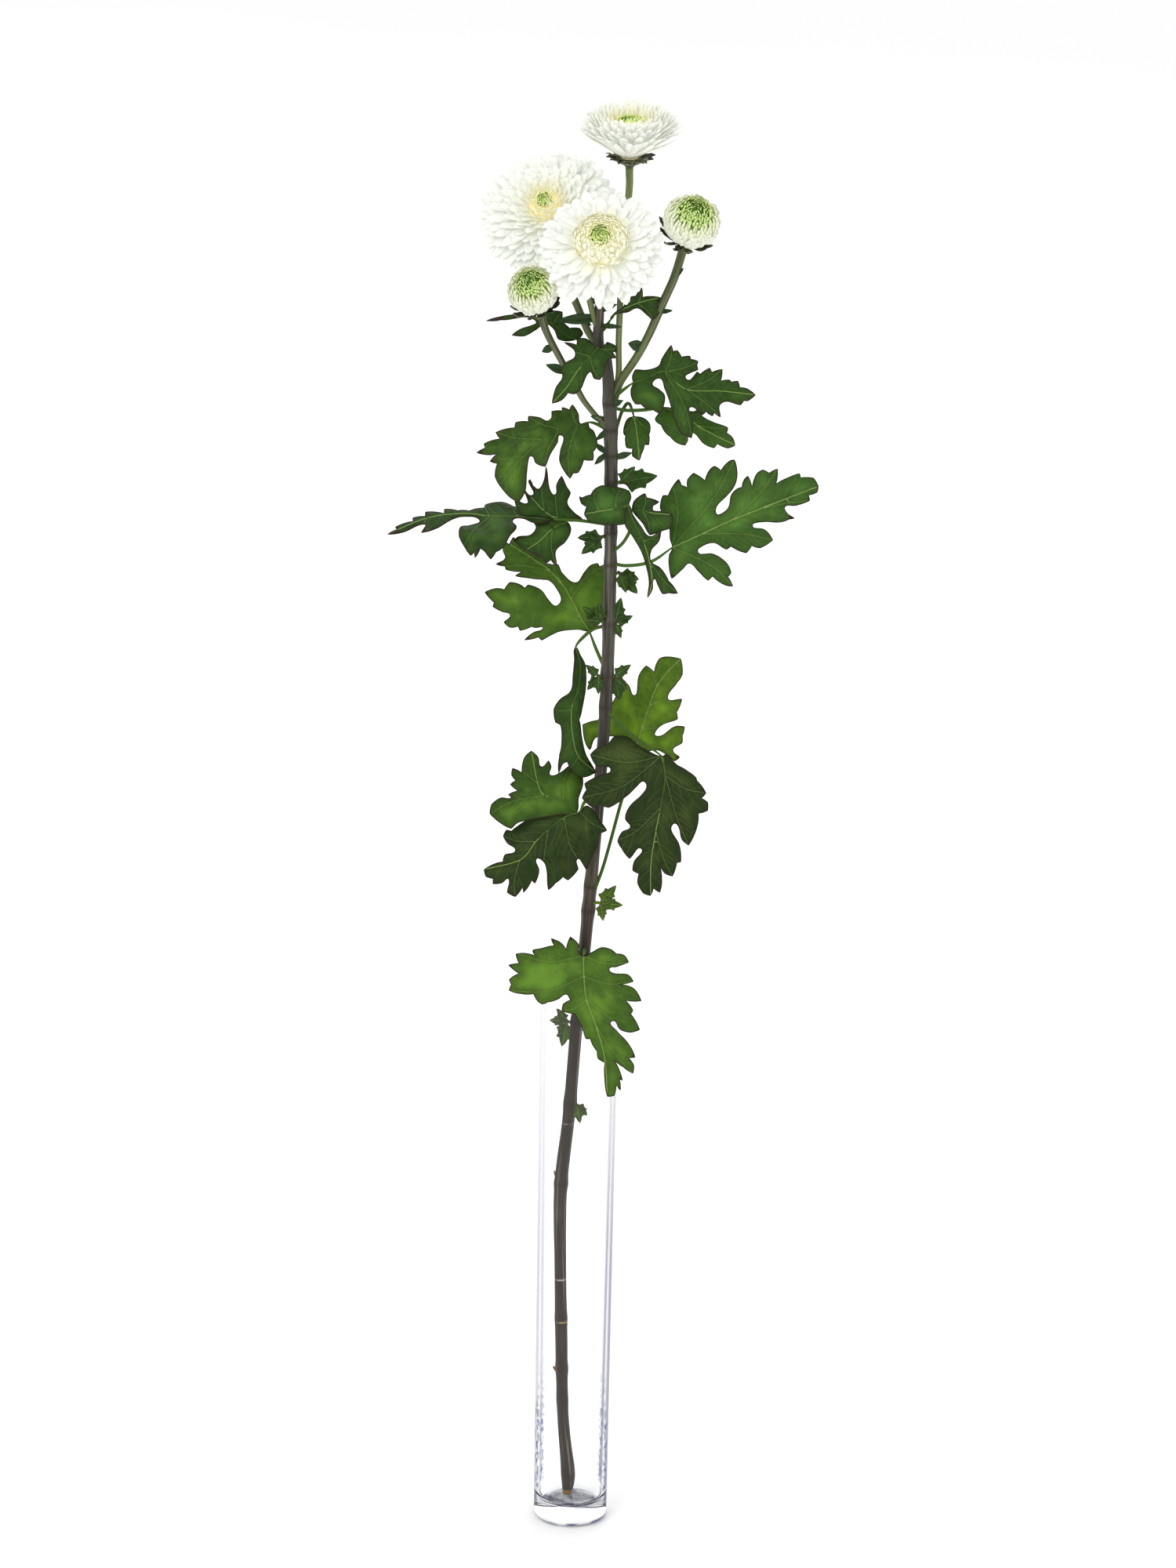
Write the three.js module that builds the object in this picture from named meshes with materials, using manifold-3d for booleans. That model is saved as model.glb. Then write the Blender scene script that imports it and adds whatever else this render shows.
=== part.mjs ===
// A white spray chrysanthemum, a daisy-like cut flower, in a narrow clear bud vase.
// Millimetres, +Z up. The origin is the centre of the vase's foot, on the surface it stands on,
// and the flower is seen from the front when looking along +Y, with +X to the right.
import * as THREE from 'three';
import { mergeVertices } from 'three/addons/utils/BufferGeometryUtils.js';
import Module from 'manifold-3d';

const wasm = await Module();
wasm.setup();

// Vase
const VASE_HEIGHT = 300;
const RIM_RADIUS = 19.5;
const FOOT_RADIUS = 18.5;
const FOOT_ROUND = 3;
const RIM_WALL = 1.6;
const FOOT_WALL = 2.6;
const FLOOR_THICKNESS = 9;
const FLOOR_ROUND = 5;
const VASE_SIDES = 32;

// Clearance between touching pieces, and the thinnest blade
const GAP = 0.3;
const BLADE = 0.8;

// The point from which the leaf outlines were drawn: each outline lies in a plane that faces it
const EYE = new THREE.Vector3(2, -2919, 1338);

// Stem: centre line from the cut foot up to the front bloom, with the radius at each point
const STEM = [
  [-1.5, 4, 9.5, 2.3], [-1.5, 3, 22.5, 3.2], [-4.5, 1, 54, 2.8], [-6, -1.5, 99, 3], [-7, -4, 136, 2.8],
  [-7.5, -7, 180, 3.1], [-4, -9.5, 221, 2.9], [-1.5, -12.5, 262.5, 2.9], [2, -14.3, 307.5, 2.9],
  [6, -17, 365.5, 3], [9.5, -19, 422, 2.8], [11, -20, 473, 3], [11, -20.5, 523, 2.8],
  [10, -21, 572, 3.1], [7.5, -22, 607, 2.6], [3.5, -22, 616, 2.6], [3.5, -26, 634, 2.3],
  [4.5, -30, 649, 2.1], [6.5, -34, 660, 2.1],
];
const STEM_SIDES = 8;

// Stalks that carry the other blooms: the bloom, the centre line up to its neck, and the radius at
// both ends
const BRANCHES = [
  { bloom: 'right', path: [[11, -21.5, 588], [14, -21, 598], [21.5, -20, 610], [27.5, -18.5, 621.5],
    [34, -16.5, 637], [39, -15.5, 649]], radii: [1.9, 2.1] },
  { bloom: 'low', path: [[8.5, -21.5, 575], [-1.5, -23, 587], [-6, -24.5, 594.5], [-15, -28, 611.5],
    [-20, -30.5, 621.5], [-22.5, -32.5, 628]], radii: [1.3, 2] },
  { bloom: 'top', path: [[8, -21.5, 592], [13, -20, 599.5], [13, -18, 619.5], [14, -13.5, 655],
    [16.5, -10, 688]], radii: [1.3, 1.9] },
  { bloom: 'left', path: [[7, -22, 601], [1.5, -21, 617], [-2, -20, 623], [-7, -17.5, 634],
    [-12.5, -14.5, 646], [-18.5, -9.5, 662]], radii: [1.7, 1.9] },
];

// Leaves. rim is a blade's outline and rib and veins its ribs, in millimetres from the blade's foot
// (right, up) as seen from EYE; a rim point with a third number is rounded, the others are corners.
// Each vein starts at the given rib point. lean tips a blade away to the right and to the top, and
// fold bends its halves back from the rib.
const LEAVES = {
  leaf_right_large: {
    tone: 'light',
    stalk: [[11, -20.5, 508.5], [19, -25, 508.5], [30.5, -28, 511.5], [40.5, -29, 519]],
    blades: [
      {
        at: [40.5, -29, 519],
        lean: [-0.25, -0.1],
        fold: 0.12,
        rib: [
          [0, 0], [14.5, 7], [29, 14], [43.5, 20], [69, 30.5],
        ],
        veins: [
          [0, -1, 32.5], [0, 29, 42.5], [1, 48, 4.5], [0, 29.5, -18], [2, 49.5, 38.5], [3, 65, 23.5],
        ],
        rim: [
          [-1.2, 4, 1], [-1.5, 8.5, 1], [-2, 13.5, 1], [-6, 18, 1], [-6, 22], [-5, 25], [-2.5, 25],
          [0, 30, 1], [2.5, 33], [4, 30], [6.5, 29], [6.5, 32.5], [9.5, 36], [15, 32.5], [17, 37.5, 1],
          [19.5, 39.5], [22.5, 37.5], [26.5, 42, 1], [29, 42.5], [30.5, 36, 1], [29.5, 30.5, 1],
          [26, 25.5, 1], [21, 20, 1], [21, 16.5, 1], [23.5, 17, 1], [26.5, 20, 1], [27.5, 25.5, 1],
          [30, 28.5, 1], [32.5, 29.5], [33.5, 33, 1], [35.5, 35], [37.5, 30], [39.5, 36, 1], [42.5, 38],
          [45.5, 36.5], [49.5, 38.5], [49, 31.5], [54.5, 34.5, 1], [60, 36.5], [60.5, 34.5], [66.5, 34.5],
          [69, 30.5], [68.5, 27.5], [64.5, 26], [65, 23.5], [58.5, 21, 1], [53.5, 20.5, 1],
          [54.5, 17.5, 1], [58, 15], [55.5, 14.5], [51.5, 13], [44, 13, 1], [38.5, 12, 1],
          [38.5, 10.5, 1], [44, 9.5, 1], [48, 4.5], [42, 0.5], [38, 1.5], [35.5, -2], [28, 1], [26, -0.5],
          [19.5, 2.5, 1], [12.5, -0.5, 1], [13, -2.5, 1], [19.5, -2.5, 1], [25.5, -6], [27.5, -8.5, 1],
          [28.5, -11.5], [27, -13.5], [29.5, -18], [25.5, -17.5], [19.5, -13.5], [17.5, -15.5],
          [12.5, -11, 1], [8.5, -7.5, 1], [5.5, -10, 1], [0, -15], [-1.5, -9, 1], [-1.5, -3.5, 1],
        ],
      },
    ],
  },
  leaf_right_upper: {
    tone: 'dark',
    stalk: [[10.5, -21.5, 590], [15.5, -26, 595.5], [20, -30, 600]],
    blades: [
      {
        at: [20, -30, 600],
        lean: [0.1, 0.25],
        fold: -0.08,
        rib: [
          [0, 0], [8.5, 3.5], [15, 5.5], [25.5, -2.5], [42, -3], [58.5, -4.5],
        ],
        veins: [
          [2, 18, 18.5], [2, 31, 11], [3, 42.5, 7.5], [3, 42, -15.5], [2, 28.5, -25.5], [1, 13.5, -14.5],
        ],
        rim: [
          [-0.5, 3, 1], [1, 6.5], [6.5, 6.5, 1], [12, 8.5, 1], [13.5, 12, 1], [18, 18.5], [19, 15.5],
          [21, 16], [23, 13], [27, 13.5], [27.5, 12], [31, 11], [30.5, 9], [31, 7], [27, 5, 1],
          [25, 3.5, 1], [26.5, 2, 1], [28.5, 3.5, 1], [30.5, 6], [32, 5], [36.5, 8], [37.5, 6],
          [42.5, 7.5], [42, 2], [46, 2.5], [47, 1.5], [50, 2], [51, -1], [54.5, -1.5], [58.5, -4.5],
          [55, -7.5], [53, -7.5], [51.5, -9.5], [44.5, -8, 1], [41.5, -10, 1], [42, -15.5], [39, -13.5],
          [38, -15], [35, -13], [33.5, -14.5], [27.5, -11, 1], [29, -16.5, 1], [28.5, -25.5],
          [23, -23, 1], [20, -17, 1], [17.5, -8.5, 1], [15, -2, 1], [13.5, 2, 1], [11, 2, 1],
          [9.5, -0.5, 1], [12.5, -2.5, 1], [15.5, -6, 1], [13.5, -14.5], [9, -12], [6.5, -12], [4, -10],
          [1.5, -10], [-0.5, -7, 1], [-1, -3, 1],
        ],
      },
    ],
  },
  leaf_right_back: {
    tone: 'light',
    stalk: [[11, -21.5, 585.5], [17.5, -18, 583.5], [27, -18, 584], [35, -19, 585.5]],
    blades: [
      {
        at: [35, -19, 585.5],
        lean: [0.1, 0.1],
        fold: 0.1,
        rib: [
          [0, 0], [9, -3.5], [16.5, -8.5], [24, -12.5], [34.5, -17.5],
        ],
        veins: [
          [1, 10.5, -18], [2, 31, -9],
        ],
        rim: [
          [6, -0.5, 1], [14, -1.5, 1], [16.5, -1, 1], [19, -4, 1], [24, -6.5, 1], [31, -9], [30.5, -11.5],
          [33.5, -14], [34.5, -17.5], [31, -19], [26, -17], [24.5, -19], [19.5, -17, 1], [14.5, -12, 1],
          [12, -13.5, 1], [12, -15.5], [10.5, -18], [6, -16.5], [3.5, -14], [1, -12, 1], [-1, -8.5],
          [-4, -6, 1], [-2.5, -3, 1],
        ],
      },
    ],
  },
  leaf_right_hanging: {
    tone: 'light',
    stalk: [[11.5, -21.5, 570], [13, -18.5, 575.5], [15.5, -14.5, 582.5], [18.5, -12, 585.5], [20.5, -12, 582]],
    blades: [
      {
        at: [21, -12, 579],
        lean: [0, 0.2],
        fold: 0.1,
        rib: [
          [0, 0], [1, -5], [2, -11.5], [3, -21],
        ],
        veins: [
          [0, -5, -8], [0, 8, -6.5],
        ],
        rim: [
          [-3, -1, 1], [-4.5, -4], [-5, -8], [-4, -9.5], [-4, -12.5], [-3.5, -15], [-0.5, -15.5],
          [-0.5, -19], [3, -21], [4, -18], [5.5, -13.5], [7.5, -13.5], [7.5, -8.5], [8, -6.5],
          [7.5, -3, 1], [4.5, -0.5, 1],
        ],
      },
    ],
  },
  leaf_left_upper: {
    tone: 'dark',
    stalk: [[9.5, -21.5, 574], [3, -21.5, 577.5], [-1, -21, 578]],
    blades: [
      {
        at: [-1, -21, 578],
        lean: [-0.15, 0.2],
        fold: -0.1,
        rib: [
          [0, 0], [-5, -1.5], [-13.5, -3.5], [-22, -8.5], [-33.5, -13.5], [-53, -15.5],
        ],
        veins: [
          [1, -8, -27], [1, -7.5, 8.5], [2, -28.5, 2.5], [2, -20, -21.5], [3, -44, -5.5], [3, -41.5, -31],
        ],
        rim: [
          [-3.5, -0.5, 1], [-4.5, 4, 1], [-7.5, 8.5], [-9, 6], [-12.5, 7], [-12.5, 5.5], [-17.5, 5],
          [-17.5, 2, 1], [-19.5, 0.5, 1], [-23, 2, 1], [-28.5, 2.5], [-28.5, 0], [-34.5, -0.5], [-35, -3],
          [-44, -5.5], [-42, -8.5], [-49.5, -11], [-49, -13], [-53, -15.5], [-48, -16.5, 1], [-43.5, -16],
          [-46.5, -19.5], [-43, -20.5], [-44, -26.5], [-41.5, -31, 1], [-36.5, -36.5, 1], [-32, -38.5],
          [-29, -33, 1], [-28.5, -24, 1], [-27.5, -17, 1], [-26, -17, 1], [-24.5, -20, 1], [-20, -21.5],
          [-17.5, -15.5, 1], [-14, -9.5, 1], [-13.5, -6.5, 1], [-11.5, -7.5, 1], [-13, -14, 1],
          [-13, -19.5, 1], [-8, -27], [-6.5, -24.5], [-4, -24], [-1.5, -18], [3, -18], [3, -14],
          [5, -10.5], [3, -4, 1], [1, -2.5, 1],
        ],
      },
    ],
  },
  leaf_left_wide: {
    tone: 'dark',
    stalk: [[10.5, -21, 527.5], [-3, -23.5, 530], [-10.5, -24, 530.5], [-18, -24, 530.5]],
    blades: [
      {
        at: [-18, -24, 530.5],
        lean: [0.1, 1.2],
        fold: 0,
        rib: [
          [0, 0], [-16, 1], [-29, 1], [-42, 2], [-59, -0.5], [-77.5, -8.5],
        ],
        veins: [
          [1, -18, 6], [1, -28, -19.5], [2, -41, -13.5], [2, -31.5, 6.5], [4, -60, 2.5], [4, -61.5, -7.5],
        ],
        rim: [
          [-5.5, 2, 1], [-13, 4.5, 1], [-18, 6], [-23.5, 8], [-31.5, 6.5], [-32, 5], [-39, 3.5],
          [-44.5, 3.5], [-51, 4], [-51, 2], [-60, 2.5], [-60, 0.5], [-66, -0.5], [-65.5, -2], [-74, -5],
          [-73, -6], [-77.5, -8.5], [-70, -7.5, 1], [-60, -3.5, 1], [-61.5, -7.5], [-54.5, -5.5, 1],
          [-47, -1, 1], [-41.5, 0.5, 1], [-34, -1, 1], [-38.5, -3.5, 1], [-43, -4.5, 1], [-43.5, -9],
          [-41, -13.5, 1], [-37.5, -18], [-36, -16.5], [-35.5, -19], [-33, -14.5], [-31.5, -15.5, 1],
          [-28, -19.5], [-25.5, -16], [-22, -13.5, 1], [-19, -8, 1], [-16, -4, 1], [-18, -1, 1],
          [-14.5, 0.5, 1], [-7, -2, 1],
        ],
      },
      {
        at: [-3, -24, 530.5],
        lean: [0, -0.3],
        fold: 0,
        rib: [
          [0, 0], [-11.5, 0.5], [-18, 4], [-23, 9], [-29.5, 16.5],
        ],
        veins: [
          [1, -10, 21], [2, -17.5, 25.5],
        ],
        rim: [
          [-3.5, 3.5, 1], [-7, 8, 1], [-5.5, 13], [-7.5, 16, 1], [-10, 21], [-12.5, 16.5, 1],
          [-13, 12, 1], [-15.5, 14.5, 1], [-17.5, 25.5], [-18.5, 19, 1], [-21, 14.5, 1], [-23.5, 16],
          [-25, 19], [-26, 18, 1], [-24, 11.5, 1], [-29.5, 16.5], [-27, 11, 1], [-26.5, 7.5, 1],
          [-32.5, 9.5], [-31, 4.5, 1], [-28, 1.5, 1], [-19.5, 1, 1], [-12, -0.5, 1],
        ],
      },
      {
        at: [-10, -24, 529.5],
        lean: [0, 0.5],
        fold: 0,
        rib: [
          [0, 0], [-7, -3.5], [-13, -9.5], [-19.5, -14],
        ],
        veins: [
          [1, -4.5, -21.5],
        ],
        rim: [
          [2, -4, 1], [-0.5, -9.5, 1], [-5, -14, 1], [-4.5, -21.5], [-7.5, -18.5], [-9.5, -20],
          [-12.5, -16.5], [-19.5, -14], [-25.5, -9.5], [-23.5, -7.5], [-17.5, -6.5, 1], [-15, -3, 1],
          [-16, 0, 1], [-9, 1, 1],
        ],
      },
    ],
  },
  leaf_left_middle: {
    tone: 'light',
    stalk: [[9, -20, 456], [5, -15, 463.5], [1.5, -12, 471.5]],
    blades: [
      {
        at: [1.5, -12, 471.5],
        lean: [0, 0.12],
        fold: 0.12,
        rib: [
          [0, 0], [-4.5, 7], [-9, 15.5], [-14, 23], [-20, 29], [-28, 34.5], [-39.5, 41.5],
        ],
        veins: [
          [1, -51, 18], [2, 7.5, 32.5], [3, -18.5, 32], [4, -41.5, 30.5],
        ],
        rim: [
          [-5.5, 0.5, 1], [-14, -0.5, 1], [-18.5, -2.5, 1], [-23, -5], [-24.5, -3.5], [-31.5, -5],
          [-27, -1, 1], [-22.5, 1, 1], [-26, 1, 1], [-28, 1.5], [-33.5, -0.5], [-34.5, 1.5],
          [-38.5, 1, 1], [-41.5, 3.5], [-38.5, 7, 1], [-42.5, 8.5, 1], [-47, 11], [-46.5, 13], [-51, 18],
          [-45.5, 20], [-41.5, 19.5], [-39, 23], [-35, 22.5, 1], [-31.5, 20.5], [-30, 22],
          [-23.5, 19.5, 1], [-20, 15, 1], [-16.5, 12, 1], [-14, 15, 1], [-16.5, 20.5, 1], [-20, 24, 1],
          [-24, 24.5], [-30, 25, 1], [-36.5, 26], [-33.5, 28], [-41, 29], [-41.5, 30.5], [-46, 31.5],
          [-41.5, 34.5, 1], [-42.5, 38, 1], [-43, 43], [-39.5, 41.5], [-37.5, 45], [-35, 41.5],
          [-28, 37, 1], [-22.5, 35], [-21.5, 32.5], [-18.5, 32, 1], [-15.5, 32], [-13.5, 28, 1],
          [-7, 23.5, 1], [-3, 28.5, 1], [0, 32], [3.5, 33], [4.5, 31.5], [7.5, 32.5], [9, 24, 1],
          [9, 13.5, 1], [6, 5, 1],
        ],
      },
    ],
  },
  leaf_back_lower: {
    tone: 'light',
    stalk: [[7, -18, 342.5], [10.5, -14, 352], [14, -10, 364.5], [18, -6, 380], [22.5, -4, 397.5], [25.5, -4, 411]],
    blades: [
      {
        at: [25.5, -4, 411],
        lean: [0, -0.05],
        fold: 0.1,
        rib: [
          [0, 0], [2.5, 8.5], [6, 20], [9.5, 29.5], [15, 37], [21, 43],
        ],
        veins: [
          [0, -26.5, 10], [1, -4, 29.5], [1, 22.5, 5.5], [0, 21.5, -5], [2, 22, 23.5], [3, 4, 39.5],
        ],
        rim: [
          [-5.5, 3.5, 1], [-12, 4.5, 1], [-20, 3.5, 1], [-23, -2, 1], [-26.5, 10], [-19, 12.5],
          [-12.5, 20.5, 1], [-6.5, 31, 1], [-4, 29.5, 1], [-2, 25, 1], [-0.5, 25.5, 1], [0.5, 34.5],
          [4, 39.5], [8, 36.5], [10, 42.5, 1], [13, 44], [21, 43], [22, 35.5], [19.5, 31.5],
          [15.5, 26, 1], [15.5, 23, 1], [22, 23.5], [19.5, 17], [20, 13.5], [12.5, 10.5, 1], [9, 6, 1],
          [12, 5.5, 1], [18.5, 10, 1], [23.5, 10], [22.5, 5.5], [22.5, 2], [18, -1.5, 1], [21.5, -5],
          [19, -7], [11, -2, 1], [4, -2.5, 1],
        ],
      },
    ],
  },
  leaf_right_lower: {
    tone: 'dark',
    stalk: [[10, -19.5, 434.5], [16, -25, 429.5], [25.5, -31, 423.5], [37.5, -33, 415.5]],
    blades: [
      {
        at: [37.5, -33, 415.5],
        lean: [0.05, 0.1],
        fold: 0.1,
        rib: [
          [0, 0], [2, -9.5], [0, -25], [-2, -36.5], [-4, -51.5], [-4, -67.5],
        ],
        veins: [
          [1, 14, -43], [1, 22, -17.5], [2, -20.5, -41.5], [0, -38, -21], [3, 6.5, -58], [0, -34.5, 0],
        ],
        rim: [
          [3, 1, 1], [7, -3.5, 1], [11.5, -6, 1], [17, -10], [17.5, -11.5], [22, -17.5], [20, -20],
          [23, -22], [23, -26], [18.5, -27.5], [18, -34, 1], [14, -43], [10.5, -40, 1], [9, -34.5, 1],
          [7, -32.5, 1], [5.5, -35.5, 1], [9.5, -42.5, 1], [10.5, -51], [8.5, -51.5], [6.5, -58],
          [2.5, -56.5, 1], [0.5, -53], [1.5, -61, 1], [0.5, -66], [-2.5, -64], [-4, -67.5], [-7.5, -66.5],
          [-10.5, -61.5], [-10, -57], [-13, -55.5], [-12.5, -51.5], [-9, -45, 1], [-14.5, -50],
          [-18.5, -45], [-20.5, -41.5], [-18.5, -37, 1], [-14.5, -34.5, 1], [-17, -30.5, 1],
          [-15, -24.5, 1], [-9.5, -19, 1], [-7, -15, 1], [-8.5, -12.5, 1], [-11.5, -15, 1],
          [-16, -19.5, 1], [-25, -25.5], [-29.5, -24], [-33, -25.5], [-38, -21], [-36, -17], [-37, -14],
          [-30.5, -10, 1], [-24.5, -7, 1], [-31.5, -5.5], [-34.5, 0], [-31, 3.5, 1], [-26, 5.5, 1],
          [-23, 9, 1], [-16.5, 9, 1], [-11, 5, 1], [-4.5, 1.5, 1],
        ],
      },
    ],
  },
  leaf_left_lower: {
    tone: 'dark',
    stalk: [[7.5, -18.5, 394], [4.5, -24, 393], [0.5, -29, 389.5], [-1.5, -30, 385]],
    blades: [
      {
        at: [-1.5, -30, 385.5],
        lean: [-0.1, 0.1],
        fold: 0.08,
        rib: [
          [0, 0], [-7.5, -3], [-15, -9], [-21, -15], [-28.5, -24], [-46, -29],
        ],
        veins: [
          [1, 4, -28.5], [2, -14.5, -38.5], [3, -37, -12.5], [4, -30.5, -42], [0, 13.5, -9],
        ],
        rim: [
          [-6, 0.5, 1], [-15, -1.5, 1], [-24.5, -4, 1], [-30, -7.5, 1], [-33, -10], [-35.5, -9.5],
          [-37, -12.5], [-35, -16, 1], [-31, -19.5, 1], [-36, -21.5], [-37, -25], [-41, -26, 1],
          [-46, -29], [-45, -32.5], [-41.5, -33.5], [-41.5, -36], [-37, -35.5, 1], [-34, -33.5, 1],
          [-34.5, -40], [-30.5, -42], [-27, -37.5], [-26.5, -40], [-22.5, -34], [-21, -35.5],
          [-19, -29, 1], [-20.5, -23.5, 1], [-17, -25, 1], [-15.5, -29.5, 1], [-14.5, -38.5], [-11, -35],
          [-7.5, -32], [-5, -33.5], [0, -28], [-1, -24, 1], [0, -23, 1], [4, -28.5], [6, -23, 1],
          [9, -16, 1], [10, -11, 1], [13.5, -9], [10, -4, 1], [6.5, 1, 1], [3, 3, 1],
        ],
      },
      {
        at: [-3, -30, 385],
        lean: [0.15, 0.1],
        fold: 0.08,
        rib: [
          [0, 0], [-6.5, 5.5], [-15.5, 8], [-19, 13.5], [-22.5, 29.5],
        ],
        veins: [
          [1, -3.5, 23], [2, -42, -1.5], [3, -31.5, 21],
        ],
        rim: [
          [1, 7, 1], [3, 14, 1], [1.5, 20, 1], [-3.5, 23], [-8, 19.5, 1], [-13, 18, 1], [-12.5, 22],
          [-14, 25], [-17.5, 22, 1], [-19, 26.5, 1], [-22.5, 29.5], [-26, 26, 1], [-27, 19], [-31.5, 21],
          [-32, 17.5], [-30, 15], [-32.5, 13], [-29, 10], [-33.5, 8], [-32, 6.5, 1], [-37, 6.5, 1],
          [-41.5, 3], [-42, -1.5], [-36, -6.5, 1], [-31.5, -8.5], [-28, -5.5, 1], [-19.5, -3.5, 1],
          [-9, -1.5, 1],
        ],
      },
    ],
  },
  leaf_left_narrow: {
    tone: 'dark',
    stalk: [[10.5, -20, 477], [3.5, -17, 474], [-2, -13, 468], [-5, -10, 462.5]],
    blades: [
      {
        at: [-5, -10, 462.5],
        lean: [0.8, 0],
        fold: 0,
        rib: [
          [0, 0], [2.5, -9], [1.5, -20.5], [-1.5, -30], [-0.5, -43.5], [2.5, -53], [11, -60.5],
        ],
        veins: [
          [3, -10, -30], [5, -7, -61],
        ],
        rim: [
          [2.5, -3.5, 1], [5, -8.5, 1], [5.5, -18.5, 1], [4, -29, 1], [2.5, -35], [4, -43.5, 1],
          [6, -51.5, 1], [11, -60.5], [5, -63, 1], [0.5, -61, 1], [-3, -55.5], [-5, -56.5, 1], [-7, -61],
          [-7, -53.5], [-6, -47.5, 1], [-6.5, -38, 1], [-9, -36.5], [-10, -30], [-7, -25, 1],
          [-2, -21, 1], [-1, -13, 1], [-0.5, -6, 1],
        ],
      },
    ],
  },
  leaf_rim: {
    tone: 'light',
    stalk: [[2, -15, 314], [2, -20, 312], [1.5, -24, 309]],
    blades: [
      {
        at: [1.5, -24, 309],
        lean: [0.1, 0.08],
        fold: -0.06,
        rib: [
          [0, 0], [0.5, -10], [2, -21.5], [7, -34.5], [11.5, -50], [13, -68.5],
        ],
        veins: [
          [0, -33, 0.5], [1, -35.5, -17.5], [0, -6.5, 9.5], [0, 22.5, -2.5], [1, 25, -12],
          [2, 28.5, -35.5], [3, 25.5, -57], [2, -10, -27],
        ],
        rim: [
          [-2.5, 3, 1], [-2, 5.5, 1], [-6.5, 9.5], [-8.5, 3.5], [-11, 6.5, 1], [-16, 8.5], [-14.5, 5],
          [-21, 3.5, 1], [-25, 2.5], [-24, 0], [-28.5, 1, 1], [-33, 0.5], [-31.5, -4], [-36.5, -5],
          [-31.5, -9], [-36, -12], [-35, -14.5], [-36, -17.5], [-30.5, -19], [-24, -19], [-22, -22.5, 1],
          [-19.5, -24], [-17, -23], [-12, -21.5, 1], [-8, -19, 1], [-6, -21.5], [-9.5, -23.5], [-10, -27],
          [-3.5, -28.5], [0, -35, 1], [2, -40.5], [4, -40.5], [7.5, -46.5], [8, -50], [11.5, -52],
          [11.5, -60.5, 1], [13, -68.5], [16.5, -68], [17.5, -63], [19.5, -65.5], [19, -60],
          [20.5, -60.5], [16.5, -51], [20.5, -54], [25.5, -57], [26, -53], [23.5, -49.5], [26.5, -49],
          [23.5, -43], [17, -36, 1], [14, -32.5, 1], [16, -31.5, 1], [18.5, -35.5, 1], [24, -37],
          [28.5, -35.5], [24, -28], [25, -26], [21.5, -21.5], [29, -21.5], [26, -16, 1], [22.5, -14, 1],
          [18.5, -13.5], [25, -12], [22, -8.5, 1], [15, -8, 1], [13, -6, 1], [16.5, -5, 1], [22.5, -2.5],
          [20, 1, 1], [16, 1.5], [14, 3.5], [9, 4.5, 1], [4, 2, 1],
        ],
      },
    ],
  },
  leaf_front_top: {
    tone: 'dark',
    stalk: [[5.5, -22, 611.5], [4, -28, 615], [3, -31, 617]],
    blades: [
      {
        at: [3, -31, 617],
        lean: [0.12, 0.15],
        fold: 0,
        rib: [
          [0, 0], [-3.5, -4], [-9, -10.5], [-14.5, -19], [-21, -26.5],
        ],
        veins: [
          [1, -16, 2.5], [1, 1.5, -15], [0, 9, 0],
        ],
        rim: [
          [-2, 2, 1], [-5.5, 4.5], [-9.5, 4.5], [-10, 1.5], [-16, 2.5], [-11, -1.5, 1], [-11, -4.5, 1],
          [-15, -7], [-17.5, -10], [-16.5, -14, 1], [-19.5, -19, 1], [-21, -26.5], [-16.5, -25],
          [-13.5, -21.5], [-10.5, -22], [-7.5, -19.5, 1], [-3.5, -11.5, 1], [-1.5, -14.5], [1.5, -15],
          [3.5, -11, 1], [5, -5.5, 1], [9, -4.5], [7.5, -2], [9, 0], [4.5, 3], [2, 0.5, 1],
        ],
      },
    ],
  },
  leaf_left_top: {
    tone: 'dark',
    stalk: [[5, -22, 611], [-1, -17, 612.5], [-7, -19, 618]],
    blades: [
      {
        at: [-7, -19, 618],
        lean: [0, 0],
        fold: 0.05,
        rib: [
          [0, 0], [-6, 2.5], [-11, 7], [-18.5, 9.3], [-24, 10.6], [-36, 9.5], [-43.5, 8],
        ],
        veins: [
          [2, -7, 13], [3, -31, 1.5],
        ],
        rim: [
          [-5, -1, 1], [-9, 0], [-11, 4.5, 1], [-15, 7, 1], [-19.5, 4, 1], [-25, 1], [-31, 1.5],
          [-27, 4.5, 1], [-21.5, 6.5, 1], [-19.5, 8, 1], [-24, 10, 1], [-36, 8.5], [-43.5, 8],
          [-36, 10.5, 1], [-27.5, 11.5, 1], [-18.5, 10.5, 1], [-15.5, 13], [-10.5, 13.5], [-7, 13],
          [-6.5, 8.5, 1], [-3.5, 5.5], [1.5, 5.5], [3, 2.5, 1],
        ],
      },
    ],
  },
  leaf_right_top: {
    tone: 'dark',
    stalk: [[4.5, -23, 622.5], [7, -25, 626.5], [9, -27, 630]],
    blades: [
      {
        at: [9, -27, 630],
        lean: [0.35, 0],
        fold: 0,
        rib: [
          [0, 0], [3, 3.5], [12.5, 8], [23.5, 11],
        ],
        veins: [
          [2, 14.5, 15.5], [2, 20, 0],
        ],
        rim: [
          [1.5, 3, 1], [6, 6.5, 1], [6.5, 9], [9, 11], [11.5, 11.5], [14.5, 15.5], [15, 11],
          [18.5, 11.5, 1], [23.5, 11], [22, 7.5], [23, 4, 1], [20, 0], [17, 2.5, 1], [12.5, 5.5, 1],
          [8, 3.5, 1], [2.5, 2.5, 1],
        ],
      },
    ],
  },
  leaf_front_middle: {
    tone: 'dark',
    stalk: [[11.5, -20.5, 513.5], [17.5, -28, 521.5], [21, -31, 531], [19.5, -31.5, 539]],
    blades: [
      {
        at: [19.5, -31, 540],
        lean: [-0.05, 0.05],
        fold: 0,
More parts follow.
